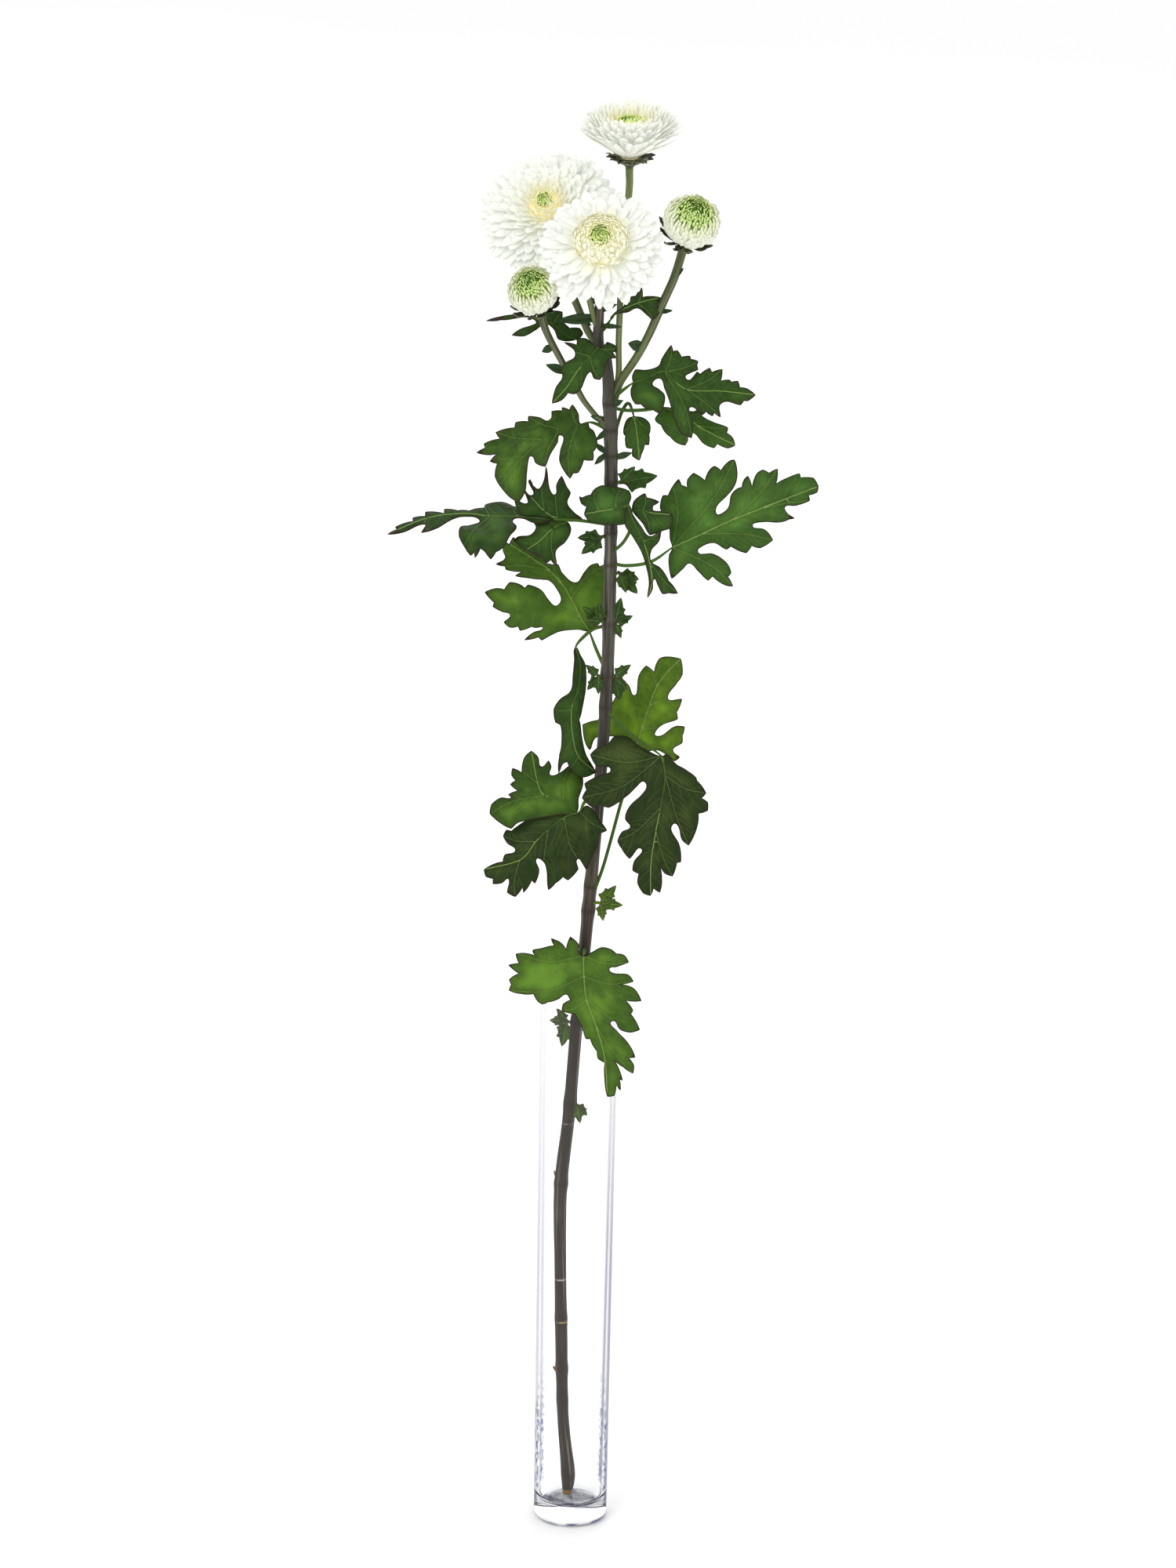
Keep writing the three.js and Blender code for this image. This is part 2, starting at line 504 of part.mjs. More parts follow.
        rib: [
          [0, 0], [-6.5, -1.5], [-14, -3], [-21.5, -4.5],
        ],
        veins: [
          [1, -4, 8.5], [2, -17, 7.5],
        ],
        rim: [
          [1, 4, 1], [0, 7], [-4, 8.5, 1], [-10, 9], [-13.5, 9.5], [-17, 7.5], [-18.5, 5], [-22.5, 3.5],
          [-24, 4], [-23, 0.5], [-20.5, -1], [-21.5, -4.5], [-19, -8], [-13, -9, 1], [-6, -9.5, 1],
          [-1, -8.5, 1], [2, -5, 1],
        ],
      },
      {
        at: [21, -31, 537.5],
        lean: [-0.2, 0.1],
        fold: 0,
        rib: [
          [0, 0], [5, 0], [10.5, -1], [19, -1.5],
        ],
        veins: [
          [1, 6, 8.5], [1, 8.5, -11.5],
        ],
        rim: [
          [0.5, 4.5], [3, 7, 1], [6, 8.5], [7, 6.5], [13, 4.5], [10, 2.5], [10, 0.5, 1], [14.5, 0],
          [19, -1.5], [19.5, -4.5], [18.5, -8], [14.5, -9.5, 1], [8.5, -11.5], [5, -6, 1],
        ],
      },
      {
        at: [19, -32, 540],
        lean: [0, 0.25],
        fold: 0,
        rib: [
          [0, 0], [2.5, -7], [7.5, -16.5], [10.5, -26], [12, -36], [10, -43.5],
        ],
        veins: [
          [2, 16, -11.5], [3, 24.5, -41],
        ],
        rim: [
          [2.5, -4, 1], [6.5, -9.5, 1], [10.5, -14, 1], [16, -11.5], [15, -16.5, 1], [11.5, -21, 1],
          [11.5, -26, 1], [16, -29, 1], [20, -35], [24.5, -41], [20, -41], [17, -41.5], [14.5, -37, 1],
          [13, -34.5, 1], [12.5, -39, 1], [10, -43.5], [10.5, -36, 1], [9, -28.5, 1], [6.5, -21.5, 1],
          [2, -14, 1], [-1.5, -8.5, 1],
        ],
      },
    ],
  },
};

// Sprigs of small leaflets in the leaf axils: the fork where the leaflets part, and their tips
const SPRIGS = {
  sprig_right_pointed: { fork: [15, -22, 549], tips: [[33, -20, 552], [22, -26, 558]] },
  sprig_left_pair: { fork: [7, -22.5, 522], tips: [[-3, -22, 513], [-5, -20, 520.5]] },
  sprig_right_tuft: { fork: [15.5, -20.5, 503.5], tips: [[24.5, -20, 493], [19, -24, 494.5], [25, -16, 499]] },
  sprig_node_left: { fork: [7, -23.5, 480], tips: [[-2, -26, 488], [0, -29, 482], [6, -26, 490]] },
  sprig_node_right: { fork: [14, -21, 478.5], tips: [[22.5, -20, 482], [16.5, -22, 491.5], [17, -25, 472]] },
  sprig_low_left: { fork: [6.5, -22, 452], tips: [[0, -22, 457.5], [1, -23, 445], [6.5, -26, 444]] },
  sprig_low_right: { fork: [14, -20.5, 451.5], tips: [[22, -20.5, 457.5], [20.5, -21, 445], [17, -18, 438.5]] },
  sprig_yellow: { fork: [9.5, -19, 335], tips: [[17, -20, 344.5], [20.5, -22, 335], [11, -20, 326]] },
  sprig_in_neck: { fork: [-6, -11.5, 270.5], tips: [[-11, -11, 277], [-14.5, -8, 269.5], [-8, -11, 257]] },
  sprig_in_vase: { fork: [-0.5, -9, 226], tips: [[5, -8, 219.5], [1.5, -12.5, 217]] },
};

// Bracts and buds too small to be pieces of their own grow out of the stem: foot, tip and width
const BRACTS = [
  [[12, -22, 561], [20.5, -23, 564], 3.4],
  [[9.7, -21.1, 578.3], [0, -24, 582], 3.4],
  [[9.7, -22, 575.5], [2.6, -25, 570], 3],
  [[8, -22, 563.5], [2.5, -22, 568], 3],
  [[8, -22, 563], [2.5, -24, 558], 3],
  [[3.4, -25.1, 630.4], [-17, -29.1, 629.5], 5.2],
  [[3.6, -26.8, 637.3], [-6.8, -29.8, 643.2], 2.6],
  [[3.5, -26, 634], [11.8, -29, 638], 3.2],
  [[3.2, -24.6, 626.4], [14.3, -35, 628.6], 2.6],
  [[-3.9, -19.1, 627], [0, -21, 625.5], 2],
  [[-17.9, -29.3, 617.2], [-23.4, -30.3, 614.4], 4],
  [[-11, -26.4, 603.8], [-21.5, -27.4, 607.6], 4.5],
  [[13.1, -18.8, 612], [7.3, -21.8, 617.9], 3],
  [[24.3, -19.4, 615], [17.4, -23.4, 617.7], 5.5],
  [[31.8, -17.1, 631.7], [38.3, -19.1, 633.1], 2.4],
  [[38.8, -15.5, 648.3], [43.1, -17.5, 653.4], 2.2],
  [[9.6, -22.6, 586.8], [15.8, -28, 591], 3.4],
  [[-7, -7.5, 184], [-11, -8, 190], 3],
  [[-6, -2, 79], [-10, -3, 82], 2.4],
];

// A bare side stalk under the front bloom
const BARE_STALK = { path: [[3.5, -23, 622], [1, -26, 630], [-1, -29, 639], [-3, -31, 645]], radii: [1.2, 1.6] };

// Blooms: where the flower sits on its calyx, the way it faces, its size and its petals. dome is the
// height of the core and heart the width of the green middle, as shares of the radius; lift is the angle
// of the outer petals off the flower's own plane, at their foot and tip; sag lengthens the lower petals.
const BLOOMS = {
  top: { seat: [17.5, -10, 704], face: [-0.05, -0.12, 0.99], radius: 24.5, dome: 0.52, heart: 0.34,
    petals: 28, width: 6, lift: [30, 40], sag: 0 },
  left: { seat: [-22.7, -7.5, 674], face: [0.04, -0.69, 0.72], radius: 34, dome: 0.4, heart: 0.19,
    petals: 33, width: 8.6, lift: [14, -16], sag: 0.1 },
  front: { seat: [4.2, -42.5, 667.7], face: [-0.08, -0.7, 0.7], radius: 31, dome: 0.38, heart: 0.21,
    petals: 33, width: 8, lift: [14, -14], sag: 0.12 },
  right: { seat: [44.4, -22.8, 670.4], face: [0.2, -0.6, 0.77], radius: 14, petals: 15, width: 6, globe: true },
  low: { seat: [-25.7, -40, 641.4], face: [-0.25, -0.72, 0.64], radius: 12.6, petals: 15, width: 5.4,
    globe: true },
};
const GOLDEN_ANGLE = THREE.MathUtils.degToRad(137.508);
const CALYX_DEPTH = 4.2;

// Finishes
const finish = (color, roughness) => new THREE.MeshStandardMaterial({ color, roughness, metalness: 0 });
const glass = new THREE.MeshStandardMaterial({ color: 0xeef4f8, roughness: 0.03, metalness: 0, transparent: true,
  opacity: 0.3 });
const bark = finish(0x4f4238, 0.7);
const leafTones = { dark: finish(0x2b5a2c, 0.55), light: finish(0x5c8a22, 0.5) };
const petalWhite = finish(0xf4f4ec, 0.55);
const heartGreen = finish(0xb4cc5a, 0.6);
const calyxGreen = finish(0x3a4426, 0.7);

// Closed meshes and solids
const vec = ([x, y, z]) => new THREE.Vector3(x, y, z);

function geometryOf(points, index) {
  const geometry = new THREE.BufferGeometry().setFromPoints(points);
  geometry.setIndex(index);
  return geometry;
}

function facingOut(geometry) {
  const position = geometry.attributes.position;
  const index = geometry.index.array;
  const corner = [new THREE.Vector3(), new THREE.Vector3(), new THREE.Vector3()];
  let volume = 0;
  for (let i = 0; i < index.length; i += 3) {
    corner.forEach((p, k) => p.fromBufferAttribute(position, index[i + k]));
    volume += corner[0].dot(corner[1].clone().cross(corner[2]));
  }
  if (volume < 0) {
    geometry.setIndex(Array.from(index).reverse());
  }
  return geometry;
}

function solid(geometry) {
  const plain = geometry.clone();
  plain.deleteAttribute('normal');
  plain.deleteAttribute('uv');
  const merged = facingOut(mergeVertices(plain, 1e-4));
  return new wasm.Manifold(new wasm.Mesh({
    numProp: 3,
    vertProperties: new Float32Array(merged.attributes.position.array),
    triVerts: new Uint32Array(merged.index.array),
  }));
}

function union(solids) {
  return solids.reduce((whole, next) => whole.add(next));
}

function largestBody(manifold) {
  return manifold.decompose().reduce((big, next) => (next.volume() > big.volume() ? next : big));
}

function mesh(name, manifold, material) {
  const { vertProperties, triVerts } = largestBody(manifold).getMesh();
  const geometry = new THREE.BufferGeometry();
  geometry.setAttribute('position', new THREE.BufferAttribute(new Float32Array(vertProperties), 3));
  geometry.setIndex(new THREE.BufferAttribute(new Uint32Array(triVerts), 1));
  geometry.computeVertexNormals();
  const piece = new THREE.Mesh(geometry, material);
  piece.name = name;
  return piece;
}

// A closed skin over rings of points, one ring after the other, with flat ends
function loft(rings) {
  const sides = rings[0].length;
  const points = rings.flat();
  const index = [];
  for (let ring = 0; ring < rings.length - 1; ring += 1) {
    for (let side = 0; side < sides; side += 1) {
      const a = ring * sides + side;
      const b = ring * sides + (side + 1) % sides;
      index.push(a, b, a + sides, b, b + sides, a + sides);
    }
  }
  const last = points.length - sides;
  for (let side = 1; side < sides - 1; side += 1) {
    index.push(0, side + 1, side, last, last + side, last + side + 1);
  }
  return geometryOf(points, index);
}

// A round rod along a smooth line through the points, its radius going from each value to the next
function rod(points, radii, sides, steps) {
  const line = new THREE.CatmullRomCurve3(points);
  const frames = line.computeFrenetFrames(steps, false);
  const rings = [];
  for (let i = 0; i <= steps; i += 1) {
    const t = i / steps;
    const centre = line.getPointAt(t);
    const spot = t * (radii.length - 1);
    const low = Math.min(Math.floor(spot), radii.length - 2);
    const radius = THREE.MathUtils.lerp(radii[low], radii[low + 1], spot - low);
    rings.push(Array.from({ length: sides }, (_, side) => {
      const angle = (2 * Math.PI * side) / sides;
      return centre.clone()
        .addScaledVector(frames.normals[i], radius * Math.cos(angle))
        .addScaledVector(frames.binormals[i], radius * Math.sin(angle));
    }));
  }
  return solid(loft(rings));
}

// A sheet of triangles given a thickness along one direction, alike on both faces
function slab(points, triangles, normal, thickness) {
  const count = points.length;
  const shift = normal.clone().multiplyScalar(thickness / 2);
  const both = [...points.map((p) => p.clone().add(shift)), ...points.map((p) => p.clone().sub(shift))];
  const index = [];
  const edges = new Map();
  triangles.forEach(([a, b, c]) => {
    index.push(a, b, c, count + a, count + c, count + b);
    [[a, b], [b, c], [c, a]].forEach(([from, to]) => edges.set(`${from} ${to}`, [from, to]));
  });
  edges.forEach(([from, to]) => {
    if (!edges.has(`${to} ${from}`)) {
      index.push(to, from, count + from, to, count + from, count + to);
    }
  });
  return geometryOf(both, index);
}

// Leaf outlines
function bulge(from, to) {
  const rise = 0.13;
  return new THREE.Vector2(
    (from.x + to.x) / 2 + rise * (to.y - from.y),
    (from.y + to.y) / 2 - rise * (to.x - from.x),
  );
}

// The outline with a bulged edge between corners; the longer edges get a point halfway
function outline(blade) {
  const corners = [[0, 0, 1], ...blade.rim].map(([x, y, round]) => {
    const point = new THREE.Vector2(x, y);
    point.round = Boolean(round);
    return point;
  });
  if (THREE.ShapeUtils.area(corners) < 0) {
    corners.reverse();
    corners.unshift(corners.pop());
  }
  const longEdge = 9;
  return corners.flatMap((point, i) => {
    const next = corners[(i + 1) % corners.length];
    const plain = point.round || next.round || point.distanceTo(next) < longEdge;
    return plain ? [point] : [point, bulge(point, next)];
  });
}

function nearest(points, target) {
  const distances = points.map((p) => p.distanceTo(target));
  return distances.indexOf(Math.min(...distances));
}

function turn(a, b, c) {
  return (b.x - a.x) * (c.y - a.y) - (b.y - a.y) * (c.x - a.x);
}

function cross(a, b, c, d) {
  return turn(a, b, c) * turn(a, b, d) < 0 && turn(c, d, a) * turn(c, d, b) < 0;
}

// The blade cut into cells by its ribs, so that folds run along them, and each cell into triangles.
// A vein whose straight line would leave the blade cuts no cell.
function bladeCells(rim, rib, veins) {
  const points = [...rim, ...rib.slice(1, -1)];
  const ribIndex = (step) => (step === 0 ? 0 : rim.length + step - 1);
  const tip = rib.length - 1;
  const borders = [
    ...rim.map((point, i) => [point, rim[(i + 1) % rim.length]]),
    ...rib.slice(1).map((point, i) => [rib[i], point]),
  ];
  const ends = [{ step: tip, at: nearest(rim, rib[tip]) }];
  veins.forEach(([step, x, y]) => {
    const at = nearest(rim, new THREE.Vector2(x, y));
    const line = [points[ribIndex(step)], rim[at]];
    const taken = ends.some((end) => end.at === at);
    if (at > 0 && step < tip && !taken && !borders.some((border) => cross(...line, ...border))) {
      ends.push({ step, at });
      borders.push(line);
    }
  });
  ends.sort((a, b) => a.at - b.at);
  const stops = [{ step: 0, at: 0 }, ...ends, { step: 0, at: rim.length }];
  const triangles = [];
  for (let i = 0; i < stops.length - 1; i += 1) {
    const [from, to] = [stops[i], stops[i + 1]];
    const cell = [];
    for (let k = from.at; k <= to.at; k += 1) {
      cell.push(k % rim.length);
    }
    const way = Math.sign(from.step - to.step);
    for (let step = to.step; ; step += way) {
      if (step < rib.length - 1) {
        cell.push(ribIndex(step));
      }
      if (step === from.step) {
        break;
      }
    }
    const loop = cell.filter((k, n) => k !== cell[(n + 1) % cell.length]);
    THREE.ShapeUtils.triangulateShape(loop.map((k) => points[k]), [])
      .forEach((triangle) => triangles.push(triangle.map((k) => loop[k])));
  }
  return { points, triangles };
}

function distanceToRib(point, rib) {
  const spot = new THREE.Vector3();
  const here = new THREE.Vector3(point.x, point.y, 0);
  const distances = rib.slice(1).map((end, i) => {
    const stretch = new THREE.Line3(new THREE.Vector3(rib[i].x, rib[i].y, 0), new THREE.Vector3(end.x, end.y, 0));
    return stretch.closestPointToPoint(here, true, spot).distanceTo(here);
  });
  return Math.min(...distances);
}

// Places a point of a blade's outline in space: right, up and away from the eye, from the blade's foot
function bladePlace(blade) {
  const foot = vec(blade.at);
  const away = foot.clone().sub(EYE).normalize();
  const right = new THREE.Vector3(1, 0, 0).addScaledVector(away, -away.x).normalize();
  const up = right.clone().cross(away);
  const rib = blade.rib.map(([x, y]) => new THREE.Vector2(x, y));
  const [leanRight, leanUp] = blade.lean;
  const place = (p, behind = 0) => {
    const depth = leanRight * p.x + leanUp * p.y + blade.fold * distanceToRib(p, rib) + behind;
    return foot.clone().addScaledVector(right, p.x).addScaledVector(up, p.y).addScaledVector(away, depth);
  };
  const normal = away.clone().addScaledVector(right, -leanRight).addScaledVector(up, -leanUp).normalize();
  return { place, normal, rib };
}

function blade(shape) {
  const { place, normal, rib } = bladePlace(shape);
  const { points, triangles } = bladeCells(outline(shape), rib, shape.veins);
  return solid(slab(points.map((p) => place(p)), triangles, normal, BLADE));
}

// The stalk runs on a little way under the first blade, and each further blade has a short rib of its own
function leaf(name, { tone, stalk, blades }, stemRoom) {
  const under = blades.map((shape) => {
    const { place, rib } = bladePlace(shape);
    return [place(rib[0]), place(rib[0].clone().lerp(rib[1], 0.8))];
  });
  const stem = rod([...stalk.slice(0, -1).map(vec), ...under[0]], [1.1, 0.8], 4, stalk.length + 1);
  const ribs = under.slice(1).map((ends) => rod(ends, [0.8, 0.6], 4, 1));
  const whole = union([stem, ...ribs, ...blades.map(blade)]);
  return mesh(name, whole.subtract(stemRoom), leafTones[tone]);
}

// Small leaflets, cut like the large leaves but with a single tooth on each side
const LEAFLET = [[0, 0.12], [0.34, 0.46], [0.52, 0.28], [1, 0], [0.52, -0.28], [0.34, -0.46], [0, -0.12]];
const SLIP = [[0, 0.3], [0.45, 0.5], [1, 0], [0.45, -0.5], [0, -0.3]];
const FACING = new THREE.Vector3(0, -1, 0.25).normalize();

function leaflet(foot, tip, width, shape = LEAFLET) {
  const along = tip.clone().sub(foot);
  const length = along.length();
  along.normalize();
  const across = along.clone().cross(FACING).normalize();
  const normal = across.clone().cross(along);
  const points = shape.map(([x, y]) => foot.clone()
    .addScaledVector(along, x * length)
    .addScaledVector(across, y * width * length));
  const flat = shape.map(([x, y]) => new THREE.Vector2(x, y * width));
  if (THREE.ShapeUtils.area(flat) < 0) {
    flat.reverse();
    points.reverse();
  }
  return solid(slab(points, THREE.ShapeUtils.triangulateShape(flat, []), normal, BLADE));
}

function stemPoint(height) {
  const above = Math.max(1, STEM.findIndex((p) => p[2] > height));
  const [low, high] = [STEM[above - 1], STEM[above]];
  return vec(low).lerp(vec(high), (height - low[2]) / (high[2] - low[2]));
}

function sprig(name, { fork, tips }, stemRoom) {
  const foot = vec(fork);
  const stalk = rod([stemPoint(foot.z - 1.5), foot], [0.9, 0.9], 4, 1);
  const width = 0.8;
  const blades = tips.map((tip) => {
    const end = vec(tip);
    return leaflet(foot.clone().lerp(end, -0.1), end, width);
  });
  return mesh(name, union([stalk, ...blades]).subtract(stemRoom), leafTones.dark);
}

// The line of a stalk led into the bloom it carries, straight along the bloom's own axis
function toBloom(path, key) {
  const { seat, face } = BLOOMS[key];
  const axis = vec(face).normalize();
  const neck = 3.5;
  const end = vec(seat).addScaledVector(axis, -CALYX_DEPTH - GAP);
  return [...path.map(vec), end.clone().addScaledVector(axis, -neck), end];
}

// The stem with its branches and bracts; or, with room round it, the form that its neighbours are cut by
function stemSolid(room) {
  const radii = STEM.map((p) => p[3] + room);
  const line = toBloom(STEM, 'front');
  const main = rod(line, [...radii, radii[radii.length - 1]], STEM_SIDES, 20);
  const branches = BRANCHES.map(({ bloom, path, radii: ends }) =>
    rod(toBloom(path, bloom), ends.map((r) => r + room), STEM_SIDES - 1, 2 * path.length));
  const bare = rod(BARE_STALK.path.map(vec), BARE_STALK.radii.map((r) => r + room), STEM_SIDES - 1, 6);
  const bracts = BRACTS.map(([foot, tip, width]) => {
    const length = vec(foot).distanceTo(vec(tip));
    return leaflet(vec(foot), vec(tip), width / length, SLIP);
  });
  return union([main, ...branches, bare, ...(room ? [] : bracts)]);
}

// Blooms are made in their own frame, +Z the way the flower faces, then set on their seats
function seated(manifold, bloom) {
  const turn = new THREE.Quaternion().setFromUnitVectors(new THREE.Vector3(0, 0, 1), vec(bloom.face).normalize());
  const place = new THREE.Matrix4().compose(vec(bloom.seat), turn, new THREE.Vector3(1, 1, 1));
  return manifold.transform(place.elements);
}

function turned(profile, sides) {
  const points = profile.map(([radius, height]) => new THREE.Vector2(radius, height));
  return solid(new THREE.LatheGeometry(points, sides).rotateX(Math.PI / 2));
}

// A petal: a blade over stations of [out, up, width], with the blade's face turned off the flower's axis
function petal(stations, angle) {
  const out = new THREE.Vector3(Math.cos(angle), Math.sin(angle), 0);
  const across = new THREE.Vector3(-Math.sin(angle), Math.cos(angle), 0);
  const centres = stations.map(([reach, height]) => out.clone().multiplyScalar(reach).setZ(height));
  const rings = centres.map((centre, i) => {
    const before = centres[Math.max(0, i - 1)];
    const after = centres[Math.min(centres.length - 1, i + 1)];
    const normal = across.clone().cross(after.clone().sub(before)).normalize();
    const half = stations[i][2] / 2;
    return [[-1, -1], [1, -1], [1, 1], [-1, 1]].map(([side, face]) => centre.clone()
      .addScaledVector(across, side * half)
      .addScaledVector(normal, (face * BLADE) / 2));
  });
  return solid(loft(rings));
}

// An open bloom: petals by the golden angle over a domed core, the outer ones long and spread, the
// inner ones short and upright round the heart
function openBloom({ radius, dome, heart: heartShare, petals, width, lift, sag }) {
  const { degToRad, lerp } = THREE.MathUtils;
  const top = dome * radius;
  const rim = heartShare + 0.06;
  const core = turned([
    [0, GAP],
    [0.18 * radius, GAP],
    [0.38 * radius, 0.3 * top],
    [0.45 * radius, 0.66 * top],
    [rim * radius, top],
    [0, top],
  ], 10);
  const upright = 76;
  const outerLength = (0.66 * radius) / Math.cos(degToRad((lift[0] + lift[1]) / 2));
  const blades = Array.from({ length: petals }, (_, i) => {
    const inward = (i + 0.5) / petals;
    const angle = i * GOLDEN_ANGLE;
    const length = lerp(outerLength, 0.3 * radius, inward) * (1 - sag * Math.sin(angle));
    const stations = [[lerp(0.34, rim - 0.02, inward) * radius, lerp(0.4, 0.86, inward) * top, 0.6 * width]];
    lift.forEach((start, k) => {
      const [reach, rise] = stations[k];
      const slope = degToRad(lerp(start, upright, inward ** 1.3));
      const step = 0.5 * length;
      const wide = (k === 0 ? 1 : 0.5) * width * lerp(1, 0.75, inward);
      stations.push([reach + step * Math.cos(slope), rise + step * Math.sin(slope), wide]);
    });
    return petal(stations, angle);
  });
  return { petals: union([core, ...blades]), heartRadius: heartShare * radius, heartFoot: top + GAP };
}

// A half-open bloom: three shells of upright petals round a smaller ball, their feet in its base
function globeBloom({ radius, petals, width }) {
  const { degToRad, lerp } = THREE.MathUtils;
  const shells = 3;
  const shellGap = 1.15;
  const perShell = petals / shells;
  const foot = degToRad(150);
  const centre = 0.86 * radius + GAP;
  const inside = radius - shellGap * shells;
  const core = turned([
    [0, GAP],
    [radius * Math.sin(foot), GAP],
    [0.8 * radius, 0.42 * radius],
    [inside, centre],
    [0.62 * inside, centre + 0.8 * inside],
    [0, centre + 0.8 * inside],
  ], 9);
  const blades = Array.from({ length: petals }, (_, i) => {
    const shell = i % shells;
    const reach = radius - shellGap * shell;
    const tip = degToRad(lerp(66, 36, shell / (shells - 1)));
    const stations = [[0, 0.6], [0.5, 1], [1, 0.45]].map(([t, share]) => {
      const angle = lerp(foot, tip, t);
      return [reach * Math.sin(angle), centre + reach * Math.cos(angle), share * width];
    });
    const turn = (Math.floor(i / shells) + shell / shells) / perShell;
    return petal(stations, 2 * Math.PI * turn);
  });
  return { petals: union([core, ...blades]), heartRadius: 0.57 * inside, heartFoot: centre + 0.8 * inside + GAP };
}

// The green heart: a low dome set with short pointed florets
function heart(radius, foot) {
  const dome = turned([[0, foot], [0.8 * radius, foot], [0.6 * radius, foot + 0.35 * radius],
    [0, foot + 0.5 * radius]], 7);
  const florets = 6;
  const points = Array.from({ length: florets }, (_, i) => {
    const out = radius * Math.sqrt((i + 0.5) / florets);
    const angle = i * GOLDEN_ANGLE;
    const size = 0.3 * radius;
    const height = 0.62 * radius;
    return solid(new THREE.ConeGeometry(size, height, 3)
      .rotateX(Math.PI / 2)
      .translate(0.82 * out * Math.cos(angle), 0.82 * out * Math.sin(angle), foot + height / 2 + 0.02));
  });
  return union([dome, ...points]);
}

// The calyx: a shallow cup under the bloom with a ring of pointed bracts
function calyx(radius) {
  const cup = turned([[0, -CALYX_DEPTH], [2.4, -CALYX_DEPTH], [0.24 * radius + 1, -0.4], [0, -0.4]], 8);
  const bracts = 6;
  const blades = Array.from({ length: bracts }, (_, i) => {
    const stations = [[1.5, -CALYX_DEPTH + 1.4, 3], [0.24 * radius + 3.5, -0.9, 1.6]];
    return petal(stations, (2 * Math.PI * (i + 0.5)) / bracts);
  });
  return union([cup, ...blades]);
}

function bloomMeshes(key, bloom) {
  const { petals, heartRadius, heartFoot } = bloom.globe ? globeBloom(bloom) : openBloom(bloom);
  return [
    mesh(`bloom_${key}_petals`, seated(petals, bloom), petalWhite),
    mesh(`bloom_${key}_heart`, seated(heart(heartRadius, heartFoot), bloom), heartGreen),
    mesh(`bloom_${key}_calyx`, seated(calyx(bloom.radius), bloom), calyxGreen),
  ];
}

// Vase: a tall cup with a thick foot and a round lip, turned about the axis
function arcPoints(centre, radius, from, to, steps) {
  return Array.from({ length: steps + 1 }, (_, i) => {
    const angle = THREE.MathUtils.degToRad(from + ((to - from) * i) / steps);
    return [centre[0] + radius * Math.cos(angle), centre[1] + radius * Math.sin(angle)];
  });
}

function innerRadius(height) {
  const inner = [FOOT_RADIUS - FOOT_WALL, RIM_RADIUS - RIM_WALL];
  return THREE.MathUtils.lerp(inner[0], inner[1], height / VASE_HEIGHT);
}

function vase() {
  const lip = RIM_WALL / 2;
  const wallFoot = FLOOR_THICKNESS + FLOOR_ROUND;
  return turned([
    [0, 0],
    ...arcPoints([FOOT_RADIUS - FOOT_ROUND, FOOT_ROUND], FOOT_ROUND, -90, 0, 2),
    ...arcPoints([RIM_RADIUS - lip, VASE_HEIGHT - lip], lip, 0, 180, 3),
    ...arcPoints([innerRadius(wallFoot) - FLOOR_ROUND, wallFoot], FLOOR_ROUND, 0, -90, 2),
    [0, FLOOR_THICKNESS],
  ], VASE_SIDES);
}

// The whole flower in its vase
const group = new THREE.Group();
const stemRoom = stemSolid(GAP);
group.add(mesh('vase', vase(), glass));
group.add(mesh('stem', stemSolid(0), bark));
Object.entries(LEAVES).forEach(([name, shape]) => group.add(leaf(name, shape, stemRoom)));
Object.entries(SPRIGS).forEach(([name, shape]) => group.add(sprig(name, shape, stemRoom)));
Object.entries(BLOOMS).forEach(([key, bloom]) => group.add(...bloomMeshes(key, bloom)));

export default group;
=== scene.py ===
import math
import random

import bpy
import numpy as np
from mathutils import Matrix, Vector
from mathutils import geometry
from mathutils import noise


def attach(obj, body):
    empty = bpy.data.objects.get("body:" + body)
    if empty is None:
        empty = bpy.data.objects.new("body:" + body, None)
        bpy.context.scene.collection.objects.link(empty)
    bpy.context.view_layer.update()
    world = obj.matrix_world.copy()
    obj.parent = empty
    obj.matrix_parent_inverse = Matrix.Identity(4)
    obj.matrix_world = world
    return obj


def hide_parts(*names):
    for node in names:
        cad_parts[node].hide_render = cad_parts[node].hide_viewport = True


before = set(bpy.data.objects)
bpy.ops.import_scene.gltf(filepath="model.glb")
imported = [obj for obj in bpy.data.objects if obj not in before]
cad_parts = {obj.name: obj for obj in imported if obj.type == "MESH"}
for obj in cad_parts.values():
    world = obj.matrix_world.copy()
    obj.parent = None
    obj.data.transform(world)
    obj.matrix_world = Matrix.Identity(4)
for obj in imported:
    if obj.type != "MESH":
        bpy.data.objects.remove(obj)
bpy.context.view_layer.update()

bl_info = {
    "name": "Chrysanthemum in vase",
    "version": (1, 0, 0),
    "blender": (4, 5, 0),
    "location": "View3D > Sidebar > Flower",
    "description": "Dresses a cut chrysanthemum stem in a glass vase: leaves, blooms, stem and glass",
    "category": "Add Mesh",
}

MM = 0.001

# Vase, in millimetres, as the solids have it
VASE_HEIGHT = 300
RIM_RADIUS = 19.5
FOOT_RADIUS = 18.5
FOOT_ROUND = 3
RIM_WALL = 1.6
FOOT_WALL = 2.6
FLOOR_THICKNESS = 9
FLOOR_ROUND = 5

RIM_ROUND = 0.72 * RIM_WALL / 2
ROUND_STEPS = {"floor": 8, "foot": 6, "rim": 4}
# Rings beside the rounded edges, which keep the walls straight
HOLDING_RINGS = (FOOT_ROUND + 0.7, FLOOR_THICKNESS + FLOOR_ROUND + 0.8, VASE_HEIGHT - 1.2)

